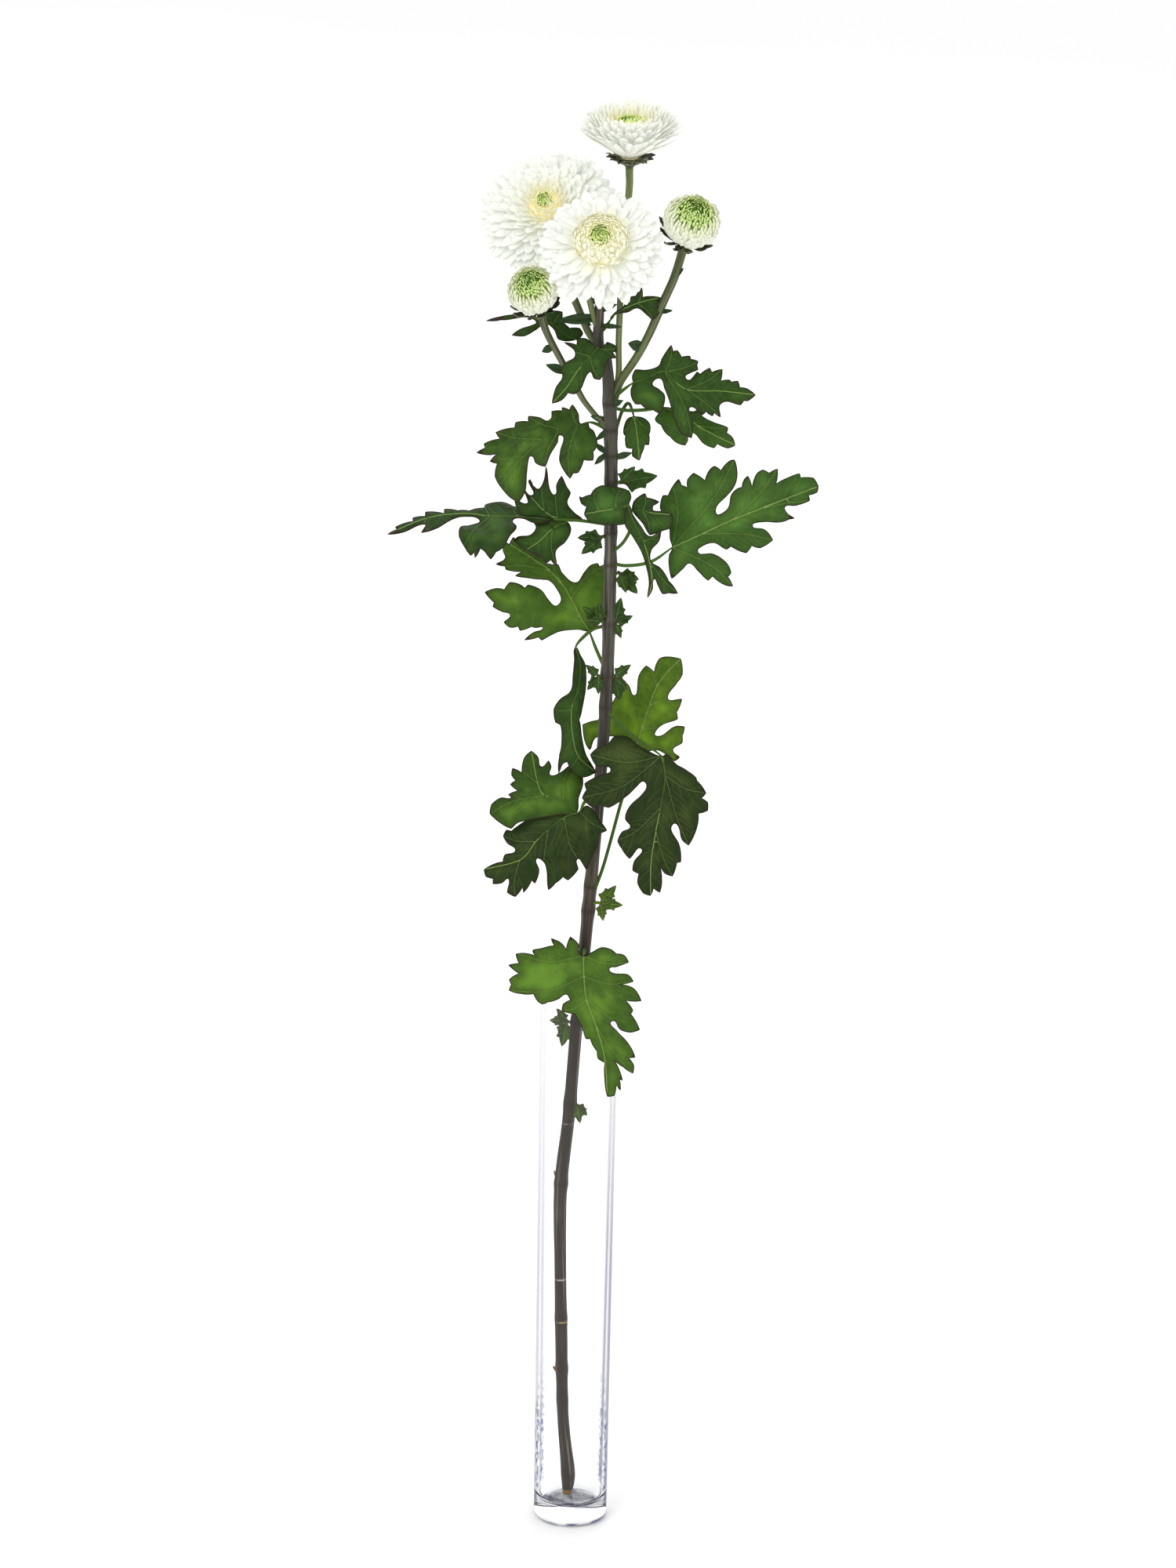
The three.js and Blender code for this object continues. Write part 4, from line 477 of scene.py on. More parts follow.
                 (-37.5, 45), (-35, 41.5), (-28, 37, 1), (-22.5, 35), (-21.5, 32.5), (-18.5, 32, 1),
                 (-15.5, 32), (-13.5, 28, 1), (-7, 23.5, 1), (-3, 28.5, 1), (0, 32), (3.5, 33), (4.5, 31.5),
                 (7.5, 32.5), (9, 24, 1), (9, 13.5, 1), (6, 5, 1),
             ],},
        ],
    },
    "leaf_back_lower": {
        "tone": "light",
        "stalk": [
            (7, -18, 342.5), (10.5, -14, 352), (14, -10, 364.5), (18, -6, 380), (22.5, -4, 397.5),
            (25.5, -4, 411),
        ],
        "blades": [
            {"at": (25.5, -4, 411), "lean": (0, -0.05), "fold": 0.1,
             "rib": [(0, 0), (2.5, 8.5), (6, 20), (9.5, 29.5), (15, 37), (21, 43)],
             "veins": [
                 (0, -26.5, 10), (1, -4, 29.5), (1, 22.5, 5.5), (0, 21.5, -5), (2, 22, 23.5), (3, 4, 39.5),
             ],
             "rim": [
                 (-5.5, 3.5, 1), (-12, 4.5, 1), (-20, 3.5, 1), (-23, -2, 1), (-26.5, 10), (-19, 12.5),
                 (-12.5, 20.5, 1), (-6.5, 31, 1), (-4, 29.5, 1), (-2, 25, 1), (-0.5, 25.5, 1), (0.5, 34.5),
                 (4, 39.5), (8, 36.5), (10, 42.5, 1), (13, 44), (21, 43), (22, 35.5), (19.5, 31.5),
                 (15.5, 26, 1), (15.5, 23, 1), (22, 23.5), (19.5, 17), (20, 13.5), (12.5, 10.5, 1),
                 (9, 6, 1), (12, 5.5, 1), (18.5, 10, 1), (23.5, 10), (22.5, 5.5), (22.5, 2), (18, -1.5, 1),
                 (21.5, -5), (19, -7), (11, -2, 1), (4, -2.5, 1),
             ],},
        ],
    },
    "leaf_right_lower": {
        "tone": "dark",
        "stalk": [(10, -19.5, 434.5), (16, -25, 429.5), (25.5, -31, 423.5), (37.5, -33, 415.5)],
        "blades": [
            {"at": (37.5, -33, 415.5), "lean": (0.05, 0.1), "fold": 0.1,
             "rib": [(0, 0), (2, -9.5), (0, -25), (-2, -36.5), (-4, -51.5), (-4, -67.5)],
             "veins": [
                 (1, 14, -43), (1, 22, -17.5), (2, -20.5, -41.5), (0, -38, -21), (3, 6.5, -58),
                 (0, -34.5, 0),
             ],
             "rim": [
                 (3, 1, 1), (7, -3.5, 1), (11.5, -6, 1), (17, -10), (17.5, -11.5), (22, -17.5), (20, -20),
                 (23, -22), (23, -26), (18.5, -27.5), (18, -34, 1), (14, -43), (10.5, -40, 1),
                 (9, -34.5, 1), (7, -32.5, 1), (5.5, -35.5, 1), (9.5, -42.5, 1), (10.5, -51), (8.5, -51.5),
                 (6.5, -58), (2.5, -56.5, 1), (0.5, -53), (1.5, -61, 1), (0.5, -66), (-2.5, -64),
                 (-4, -67.5), (-7.5, -66.5), (-10.5, -61.5), (-10, -57), (-13, -55.5), (-12.5, -51.5),
                 (-9, -45, 1), (-14.5, -50), (-18.5, -45), (-20.5, -41.5), (-18.5, -37, 1),
                 (-14.5, -34.5, 1), (-17, -30.5, 1), (-15, -24.5, 1), (-9.5, -19, 1), (-7, -15, 1),
                 (-8.5, -12.5, 1), (-11.5, -15, 1), (-16, -19.5, 1), (-25, -25.5), (-29.5, -24),
                 (-33, -25.5), (-38, -21), (-36, -17), (-37, -14), (-30.5, -10, 1), (-24.5, -7, 1),
                 (-31.5, -5.5), (-34.5, 0), (-31, 3.5, 1), (-26, 5.5, 1), (-23, 9, 1), (-16.5, 9, 1),
                 (-11, 5, 1), (-4.5, 1.5, 1),
             ],},
        ],
    },
    "leaf_left_lower": {
        "tone": "dark",
        "stalk": [(7.5, -18.5, 394), (4.5, -24, 393), (0.5, -29, 389.5), (-1.5, -30, 385)],
        "blades": [
            {"at": (-1.5, -30, 385.5), "lean": (-0.1, 0.1), "fold": 0.08,
             "rib": [(0, 0), (-7.5, -3), (-15, -9), (-21, -15), (-28.5, -24), (-46, -29)],
             "veins": [(1, 4, -28.5), (2, -14.5, -38.5), (3, -37, -12.5), (4, -30.5, -42), (0, 13.5, -9)],
             "rim": [
                 (-6, 0.5, 1), (-15, -1.5, 1), (-24.5, -4, 1), (-30, -7.5, 1), (-33, -10), (-35.5, -9.5),
                 (-37, -12.5), (-35, -16, 1), (-31, -19.5, 1), (-36, -21.5), (-37, -25), (-41, -26, 1),
                 (-46, -29), (-45, -32.5), (-41.5, -33.5), (-41.5, -36), (-37, -35.5, 1), (-34, -33.5, 1),
                 (-34.5, -40), (-30.5, -42), (-27, -37.5), (-26.5, -40), (-22.5, -34), (-21, -35.5),
                 (-19, -29, 1), (-20.5, -23.5, 1), (-17, -25, 1), (-15.5, -29.5, 1), (-14.5, -38.5),
                 (-11, -35), (-7.5, -32), (-5, -33.5), (0, -28), (-1, -24, 1), (0, -23, 1), (4, -28.5),
                 (6, -23, 1), (9, -16, 1), (10, -11, 1), (13.5, -9), (10, -4, 1), (6.5, 1, 1), (3, 3, 1),
             ],},
            {"at": (-3, -30, 385), "lean": (0.15, 0.1), "fold": 0.08,
             "rib": [(0, 0), (-6.5, 5.5), (-15.5, 8), (-19, 13.5), (-22.5, 29.5)],
             "veins": [(1, -3.5, 23), (2, -42, -1.5), (3, -31.5, 21)],
             "rim": [
                 (1, 7, 1), (3, 14, 1), (1.5, 20, 1), (-3.5, 23), (-8, 19.5, 1), (-13, 18, 1), (-12.5, 22),
                 (-14, 25), (-17.5, 22, 1), (-19, 26.5, 1), (-22.5, 29.5), (-26, 26, 1), (-27, 19),
                 (-31.5, 21), (-32, 17.5), (-30, 15), (-32.5, 13), (-29, 10), (-33.5, 8), (-32, 6.5, 1),
                 (-37, 6.5, 1), (-41.5, 3), (-42, -1.5), (-36, -6.5, 1), (-31.5, -8.5), (-28, -5.5, 1),
                 (-19.5, -3.5, 1), (-9, -1.5, 1),
             ],},
        ],
    },
    "leaf_left_narrow": {
        "tone": "dark",
        "stalk": [(10.5, -20, 477), (3.5, -17, 474), (-2, -13, 468), (-5, -10, 462.5)],
        "blades": [
            {"at": (-5, -10, 462.5), "lean": (0.8, 0), "fold": 0,
             "rib": [(0, 0), (2.5, -9), (1.5, -20.5), (-1.5, -30), (-0.5, -43.5), (2.5, -53), (11, -60.5)],
             "veins": [(3, -10, -30), (5, -7, -61)],
             "rim": [
                 (2.5, -3.5, 1), (5, -8.5, 1), (5.5, -18.5, 1), (4, -29, 1), (2.5, -35), (4, -43.5, 1),
                 (6, -51.5, 1), (11, -60.5), (5, -63, 1), (0.5, -61, 1), (-3, -55.5), (-5, -56.5, 1),
                 (-7, -61), (-7, -53.5), (-6, -47.5, 1), (-6.5, -38, 1), (-9, -36.5), (-10, -30),
                 (-7, -25, 1), (-2, -21, 1), (-1, -13, 1), (-0.5, -6, 1),
             ],},
        ],
    },
    "leaf_rim": {
        "tone": "light",
        "stalk": [(2, -15, 310.5), (2, -19.5, 309.5), (1.5, -24, 309)],
        "blades": [
            {"at": (1.5, -24, 309), "lean": (0.1, 0.08), "fold": -0.06,
             "rib": [(0, 0), (0.5, -10), (2, -21.5), (7, -34.5), (11.5, -50), (13, -68.5)],
             "veins": [
                 (0, -33, 0.5), (1, -35.5, -17.5), (0, -6.5, 9.5), (0, 22.5, -2.5), (1, 25, -12),
                 (2, 28.5, -35.5), (3, 25.5, -57), (2, -10, -27),
             ],
             "rim": [
                 (-2.5, 3, 1), (-2, 5.5, 1), (-6.5, 9.5), (-8.5, 3.5), (-11, 6.5, 1), (-16, 8.5),
                 (-14.5, 5), (-21, 3.5, 1), (-25, 2.5), (-24, 0), (-28.5, 1, 1), (-33, 0.5), (-31.5, -4),
                 (-36.5, -5), (-31.5, -9), (-36, -12), (-35, -14.5), (-36, -17.5), (-30.5, -19), (-24, -19),
                 (-22, -22.5, 1), (-19.5, -24), (-17, -23), (-12, -21.5, 1), (-8, -19, 1), (-6, -21.5),
                 (-9.5, -23.5), (-10, -27), (-3.5, -28.5), (0, -35, 1), (2, -40.5), (4, -40.5),
                 (7.5, -46.5), (8, -50), (11.5, -52), (11.5, -60.5, 1), (13, -68.5), (16.5, -68),
                 (17.5, -63), (19.5, -65.5), (19, -60), (20.5, -60.5), (16.5, -51), (20.5, -54),
                 (25.5, -57), (26, -53), (23.5, -49.5), (26.5, -49), (23.5, -43), (17, -36, 1),
                 (14, -32.5, 1), (16, -31.5, 1), (18.5, -35.5, 1), (24, -37), (28.5, -35.5), (24, -28),
                 (25, -26), (21.5, -21.5), (29, -21.5), (26, -16, 1), (22.5, -14, 1), (18.5, -13.5),
                 (25, -12), (22, -8.5, 1), (15, -8, 1), (13, -6, 1), (16.5, -5, 1), (22.5, -2.5),
                 (20, 1, 1), (16, 1.5), (14, 3.5), (9, 4.5, 1), (4, 2, 1),
             ],},
        ],
    },
    "leaf_front_top": {
        "tone": "dark",
        "stalk": [(5.5, -22, 611.5), (4, -28, 615), (3, -31, 617)],
        "blades": [
            {"at": (3, -31, 617), "lean": (0.12, 0.15), "fold": 0,
             "rib": [(0, 0), (-3.5, -4), (-9, -10.5), (-14.5, -19), (-21, -26.5)],
             "veins": [(1, -16, 2.5), (1, 1.5, -15), (0, 9, 0)],
             "rim": [
                 (-2, 2, 1), (-5.5, 4.5), (-9.5, 4.5), (-10, 1.5), (-16, 2.5), (-11, -1.5, 1),
                 (-11, -4.5, 1), (-15, -7), (-17.5, -10), (-16.5, -14, 1), (-19.5, -19, 1), (-21, -26.5),
                 (-16.5, -25), (-13.5, -21.5), (-10.5, -22), (-7.5, -19.5, 1), (-3.5, -11.5, 1),
                 (-1.5, -14.5), (1.5, -15), (3.5, -11, 1), (5, -5.5, 1), (9, -4.5), (7.5, -2), (9, 0),
                 (4.5, 3), (2, 0.5, 1),
             ],},
        ],
    },
    "leaf_left_top": {
        "tone": "dark",
        "stalk": [(5, -22, 611), (-1, -17, 612.5), (-7, -19, 618)],
        "blades": [
            {"at": (-7, -19, 618), "lean": (0, 0), "fold": 0.05,
             "rib": [(0, 0), (-6, 2.5), (-11, 7), (-18.5, 9.3), (-24, 10.6), (-36, 9.5), (-43.5, 8)],
             "veins": [(2, -7, 13), (3, -31, 1.5)],
             "rim": [
                 (-5, -1, 1), (-9, 0), (-11, 4.5, 1), (-15, 7, 1), (-19.5, 4, 1), (-25, 1), (-31, 1.5),
                 (-27, 4.5, 1), (-21.5, 6.5, 1), (-19.5, 8, 1), (-24, 10, 1), (-36, 8.5), (-43.5, 8),
                 (-36, 10.5, 1), (-27.5, 11.5, 1), (-18.5, 10.5, 1), (-15.5, 13), (-10.5, 13.5), (-7, 13),
                 (-6.5, 8.5, 1), (-3.5, 5.5), (1.5, 5.5), (3, 2.5, 1),
             ],},
        ],
    },
    "leaf_right_top": {
        "tone": "dark",
        "stalk": [(4.5, -23, 622.5), (7, -25, 626.5), (9, -27, 630)],
        "blades": [
            {"at": (9, -27, 630), "lean": (0.35, 0), "fold": 0,
             "rib": [(0, 0), (3, 3.5), (12.5, 8), (23.5, 11)],
             "veins": [(2, 14.5, 15.5), (2, 20, 0)],
             "rim": [
                 (1.5, 3, 1), (6, 6.5, 1), (6.5, 9), (9, 11), (11.5, 11.5), (14.5, 15.5), (15, 11),
                 (18.5, 11.5, 1), (23.5, 11), (22, 7.5), (23, 4, 1), (20, 0), (17, 2.5, 1), (12.5, 5.5, 1),
                 (8, 3.5, 1), (2.5, 2.5, 1),
             ],},
        ],
    },
    "leaf_front_middle": {
        "tone": "dark",
        "stalk": [(11.5, -20.5, 513.5), (17.5, -28, 521.5), (21, -31, 531), (19.5, -31.5, 539)],
        "blades": [
            {"at": (19.5, -31, 540), "lean": (-0.05, 0.05), "fold": 0,
             "rib": [(0, 0), (-6.5, -1.5), (-14, -3), (-21.5, -4.5)],
             "veins": [(1, -4, 8.5), (2, -17, 7.5)],
             "rim": [
                 (1, 4, 1), (0, 7), (-4, 8.5, 1), (-10, 9), (-13.5, 9.5), (-17, 7.5), (-18.5, 5),
                 (-22.5, 3.5), (-24, 4), (-23, 0.5), (-20.5, -1), (-21.5, -4.5), (-19, -8), (-13, -9, 1),
                 (-6, -9.5, 1), (-1, -8.5, 1), (2, -5, 1),
             ],},
            {"at": (21, -31, 537.5), "lean": (-0.2, 0.1), "fold": 0,
             "rib": [(0, 0), (5, 0), (10.5, -1), (19, -1.5)],
             "veins": [(1, 6, 8.5), (1, 8.5, -11.5)],
             "rim": [
                 (0.5, 4.5), (3, 7, 1), (6, 8.5), (7, 6.5), (13, 4.5), (10, 2.5), (10, 0.5, 1), (14.5, 0),
                 (19, -1.5), (19.5, -4.5), (18.5, -8), (14.5, -9.5, 1), (8.5, -11.5), (5, -6, 1),
             ],},
            {"at": (19, -32, 540), "lean": (0, 0.25), "fold": 0,
             "rib": [(0, 0), (2.5, -7), (7.5, -16.5), (10.5, -26), (12, -36), (10, -43.5)],
             "veins": [(2, 16, -11.5), (3, 24.5, -41)],
             "rim": [
                 (2.5, -4, 1), (6.5, -9.5, 1), (10.5, -14, 1), (16, -11.5), (15, -16.5, 1), (11.5, -21, 1),
                 (11.5, -26, 1), (16, -29, 1), (20, -35), (24.5, -41), (20, -41), (17, -41.5),
                 (14.5, -37, 1), (13, -34.5, 1), (12.5, -39, 1), (10, -43.5), (10.5, -36, 1), (9, -28.5, 1),
                 (6.5, -21.5, 1), (2, -14, 1), (-1.5, -8.5, 1),
             ],},
        ],
    },
}


def unit(v):
    v = np.asarray(v, float)
    return v / np.linalg.norm(v)


def hermite(t, start, leave, end, arrive):
    """A smooth run from start to end, for t from 0 to 1, with the given directions at both."""
    return ((2 * t ** 3 - 3 * t ** 2 + 1) * start + (t ** 3 - 2 * t ** 2 + t) * leave
            + (3 * t ** 2 - 2 * t ** 3) * end + (t ** 3 - t ** 2) * arrive)


def bell(distance, height, width):
    """A rounded ridge: its height at a distance from its middle line."""
    return height * np.exp(-(distance / width) ** 2)


def smoothstep(low, high, x):
    t = np.clip((np.asarray(x, float) - low) / (high - low), 0, 1)
    return t * t * (3 - 2 * t)


def curve_points(points, spacing):
    """Points at even spacing along a smooth line through the given ones, of two or more numbers each."""
    points = np.asarray(points, float)
    padded = np.vstack([2 * points[0] - points[1], points, 2 * points[-1] - points[-2]])
    fine = []
    for a, b, c, d in zip(padded, padded[1:], padded[2:], padded[3:]):
        for t in np.linspace(0, 1, 16, endpoint=False):
            fine.append(0.5 * (2 * b + (c - a) * t + (2 * a - 5 * b + 4 * c - d) * t ** 2
                               + (3 * b - a - 3 * c + d) * t ** 3))
    fine.append(points[-1])
    fine = np.array(fine)
    lengths = np.concatenate([[0], np.cumsum(np.linalg.norm(np.diff(fine[:, :3], axis=0), axis=1))])
    steps = max(2, int(round(lengths[-1] / spacing)))
    even = np.linspace(0, lengths[-1], steps + 1)
    return np.column_stack([np.interp(even, lengths, fine[:, k]) for k in range(fine.shape[1])])


class Shell:
    """Collects closed shells of one piece: points in millimetres, faces and a few numbers per point."""

    def __init__(self, **marks):
        self.points = []
        self.faces = []
        self.marks = {key: [] for key in marks}
        self.plain = marks

    def add(self, points, faces, **marks):
        start = len(self.points)
        self.points.extend(map(tuple, points))
        self.faces.extend(tuple(start + k for k in face) for face in faces)
        for key, values in self.marks.items():
            given = marks.get(key, self.plain[key])
            if np.isscalar(given):
                given = [given] * len(points)
            values.extend(float(v) for v in given)

    def piece(self, node, material, slot):
        """Makes the piece that stands for a CAD node."""
        mesh = bpy.data.meshes.new(f"{node}_grown")
        mesh.from_pydata([tuple(c * MM for c in p) for p in self.points], [], self.faces)
        for key, values in self.marks.items():
            mesh.attributes.new(key, "FLOAT", "POINT").data.foreach_set("value", values)
        mesh.shade_smooth()
        piece = bpy.data.objects.new(f"{node}_grown", mesh)
        bpy.context.scene.collection.objects.link(piece)
        return settle(piece, node, material)


def settle(piece, node, material):
    """Gives a piece its finish and its place in the frame."""
    piece.data.materials.clear()
    piece.data.materials.append(material)
    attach(piece, "root")
    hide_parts(node)
    return piece


def deselect_all():
    if bpy.context.object and bpy.context.object.mode != "OBJECT":
        bpy.ops.object.mode_set(mode="OBJECT")
    bpy.ops.object.select_all(action="DESELECT")


def ring_faces(rings, sides):
    """Faces between rings of points, with flat ends, facing out when the rings turn anticlockwise upwards."""
    faces = []
    for ring in range(rings - 1):
        for side in range(sides):
            a = ring * sides + side
            b = ring * sides + (side + 1) % sides
            faces.append((a, b, b + sides, a + sides))
    faces.append(tuple(reversed(range(sides))))
    faces.append(tuple((rings - 1) * sides + side for side in range(sides)))
    return faces


def rod(shell, points, radii, sides, spacing, ridges=0.0, swellings=(), ridge_count=6, **marks):
    """A round or ridged rod along a smooth line, with flat ends."""
    line = curve_points(np.column_stack([np.asarray(points, float), np.interp(
        np.linspace(0, 1, len(points)), np.linspace(0, 1, len(radii)), radii)]), spacing)
    centres, radius = line[:, :3], line[:, 3].copy()
    tangents = np.gradient(centres, axis=0)
    tangents /= np.linalg.norm(tangents, axis=1)[:, None]
    side = unit(np.cross(tangents[0], (0.0, 1.0, 0.2)))
    runs = MM * np.insert(np.cumsum(np.linalg.norm(np.diff(centres, axis=0), axis=1)), 0, 0)
    rings, scars, rounds = [], [], []
    for i, (centre, tangent) in enumerate(zip(centres, tangents)):
        side = unit(side - tangent * side.dot(tangent))
        other = np.cross(tangent, side)
        swell = sum(size * math.exp(-((centre[2] - height) / reach) ** 2)
                    for height, size, reach in swellings)
        near = (math.exp(-((centre[2] - height) / (0.3 * reach)) ** 2) for height, _, reach in swellings)
        scars += [max(near, default=0)] * sides
        for k in range(sides):
            angle = 2 * math.pi * k / sides
            spot = (centre[0] * 0.4 + 3 * math.cos(angle), centre[2] * 0.09, 2 * math.sin(angle))
            rough = noise.noise(Vector(spot))
            bulge = 1 + ridges * (math.cos(ridge_count * angle) + 0.6 * rough)
            rounds.append((MM * radius[i] * math.cos(angle), MM * radius[i] * math.sin(angle), runs[i]))
            reach = (radius[i] + swell) * bulge
            rings.append(centre + reach * (math.cos(angle) * side + math.sin(angle) * other))
    if swellings:
        marks["node"] = [0.8 * scar for scar in scars]
    marks["round_x"], marks["round_y"], marks["run"] = zip(*rounds)
    shell.add(rings, ring_faces(len(centres), sides), **marks)


# Leaf outlines


def inside(points, outline):
    """Which of the points lie inside a closed outline."""
    x, y = points[:, 0][:, None], points[:, 1][:, None]
    a, b = outline, np.roll(outline, -1, axis=0)
    between = (a[:, 1] > y) != (b[:, 1] > y)
    slope = np.where(b[:, 1] == a[:, 1], 1, b[:, 1] - a[:, 1])
    crossing = (b[:, 0] - a[:, 0]) * (y - a[:, 1]) / slope + a[:, 0]
    return np.sum(between & (x < crossing), axis=1) % 2 == 1


def distance_to_lines(points, lines):
    """Distance of each point from the nearest of the lines, or FAR where there are none."""
    nearest = np.full(len(points), FAR)
    for line in lines:
        a, b = line[:-1], line[1:]
        along = b - a
        lengths = np.maximum((along ** 2).sum(1), 1e-9)
        t = np.clip(((points[:, None] - a) * along).sum(2) / lengths, 0, 1)
        gaps = np.linalg.norm(points[:, None] - (a + t[..., None] * along), axis=2)
        nearest = np.minimum(nearest, gaps.min(1))
    return nearest


def closed(outline):
    """The outline as a line that ends where it starts, in a list as distance_to_lines takes it."""
    return [np.vstack([outline, outline[:1]])]


def leaf_outline(rim, step):
    """The outline as an even anticlockwise run of points: toothed where corners meet, else rounded."""
    corners = [(0.0, 0.0, 1)] + [tuple(p) if len(p) > 2 else (*p, 0) for p in rim]
    flat = np.array([p[:2] for p in corners])
    soft = [bool(p[2]) for p in corners]
    area = np.sum(flat[:, 0] * np.roll(flat[:, 1], -1) - np.roll(flat[:, 0], -1) * flat[:, 1])
    if area < 0:
        flat = np.vstack([flat[:1], flat[:0:-1]])
        soft = soft[:1] + soft[:0:-1]
    count = len(flat)
    outline = []
    for i in range(count):
        before, here, there, after = (flat[(i + k) % count] for k in (-1, 0, 1, 2))
        chord = there - here
        length = np.linalg.norm(chord)
        outwards = 0.2 * np.array((chord[1], -chord[0]))
        leave, arrive = chord + outwards, chord - outwards
        if soft[i]:
            leave = (there - before) * (length / max(np.linalg.norm(there - before), 1e-6))
        if soft[(i + 1) % count]:
            arrive = (after - here) * (length / max(np.linalg.norm(after - here), 1e-6))
        steps = max(1, int(round(length / step)))
        outline.extend(hermite(t, here, leave, there, arrive) for t in np.arange(steps) / steps)
    return np.array(outline)


def side_vein(spot, forward, turn, opening, outline, borders, others):
    """A fine vein that bends forward and stops before the edge and before other veins."""
    angle = turn * math.radians(opening)
    line = [spot]
    while len(line) < SIDE_VEIN_POINTS:
        heading = np.array((forward[0] * math.cos(angle) - forward[1] * math.sin(angle),
                            forward[0] * math.sin(angle) + forward[1] * math.cos(angle)))
        spot = spot + SIDE_VEIN_STEP * heading
        angle -= turn * SIDE_VEIN_BEND
        here = spot[None]
        if not inside(here, outline)[0] or distance_to_lines(here, borders)[0] < SIDE_VEIN_MARGIN:
            break
        if others and distance_to_lines(here, others)[0] < SIDE_VEIN_CLEARANCE:
            break
        line.append(spot)
    return line


def leaf_veins(blade, outline):
    """The midrib, the veins to the lobes and the fine side veins, as lines that stay inside the blade."""
    borders = closed(outline)

    def kept(line):
        if len(line) < 2:
            return line
        clear = inside(line, outline) & (distance_to_lines(line, borders) > VEIN_MARGIN)
        clear[:2] = True
        stop = np.argmin(clear) if not clear.all() else len(line)
        return line[:max(stop, 2)]

    midrib = kept(curve_points(blade["rib"], VEIN_STEP))
    rib = np.array(blade["rib"], float)
    mains = []
    for start, x, y in blade["veins"]:
        foot, end = rib[start], np.array((x, y), float)
        onward = unit(rib[min(start + 1, len(rib) - 1)] - rib[max(start - 1, 0)])
        bow = 0.5 * (foot + end) + onward * 0.1 * np.linalg.norm(end - foot)
        line = kept(curve_points([foot, bow, end], VEIN_STEP))
        if len(line) > 3:
            mains.append(line)
    fine = []
    for trunk, (spacing, opening) in [(midrib, RIB_SIDE_VEINS)] + [(line, MAIN_SIDE_VEINS) for line in mains]:
        for i in range(spacing, len(trunk) - 2, spacing):
            forward = unit(trunk[i + 1] - trunk[i - 1])
            for turn in (-1, 1):
                others = [line for line in [midrib] + mains + fine if line is not trunk]
                spot = trunk[min(i + (turn > 0) * 2, len(trunk) - 1)]
                line = side_vein(spot, forward, turn, opening, outline, borders, others)
                if len(line) > 3:
                    fine.append(np.array(line))
    return midrib, mains, fine


class Blade:
    """A leaf blade's own plane, facing EYE at its foot, and how far it leaves that plane."""

    def __init__(self, shape, seed, ripple=1.0):
        self.foot = np.array(shape["at"], float)
        self.away = unit(self.foot - EYE)
        self.right = unit(np.array((1.0, 0, 0)) - self.away * self.away[0])
        self.up = np.cross(self.right, self.away)
        self.lean = shape["lean"]
        self.fold = shape["fold"]
        self.rib = [np.array(shape["rib"], float)]
        self.seed = seed
        self.ripple = ripple

    def wave(self, points):
        """Slow waves that grow away from the rib."""
        reach = smoothstep(1, 9, distance_to_lines(points, self.rib))
        broad = [noise.noise(Vector((x * 0.075 + self.seed, y * 0.075, self.seed * 0.7))) for x, y in points]
        small = [noise.noise(Vector((x * 0.19, y * 0.19 + self.seed, 4.0))) for x, y in points]
        rise = np.array([a + 0.35 * b for a, b in zip(broad, small)])
        return WAVE_HEIGHT * self.ripple * rise * (0.25 + 0.75 * reach)

    def place(self, points, relief=0.0):
        depth = (self.lean[0] * points[:, 0] + self.lean[1] * points[:, 1]
                 + self.fold * distance_to_lines(points, self.rib) + self.wave(points) + relief)
        return self.foot + points[:, :1] * self.right + points[:, 1:] * self.up + depth[:, None] * self.away


def net_points(outline, lines):
    """Points and edges of an outline and of the lines inside it, for the triangles of a blade."""
    points, edges = [Vector(p) for p in outline], []
    for line in lines:
        first = len(points)
        points.extend(Vector(p) for p in line)
        edges.extend((first + k, first + k + 1) for k in range(len(line) - 1))
    return points, edges


def net_triangles(points, edges, outline):
    """Triangles of the net, their middles, and which of them lie inside the outline."""
    rim = [list(range(len(outline)))]
    flat, _, triangles, *_ = geometry.delaunay_2d_cdt(points, edges, rim, 1, MERGE_DISTANCE)
    flat = np.array([tuple(p) for p in flat])
    centres = np.array([flat[list(t)].mean(0) for t in triangles])
    return flat, triangles, centres, inside(centres, outline)


def thin_faces(triangles, count):
    """Faces of a closed sheet of count points a side: front, back and the strip round the edge."""
    ends = dict.fromkeys((t[k], t[(k + 1) % 3]) for t in triangles for k in range(3))
    faces = [tuple(t) for t in triangles] + [tuple(count + k for k in reversed(t)) for t in triangles]
    return faces + [(b, a, count + a, count + b) for a, b in ends if (b, a) not in ends]


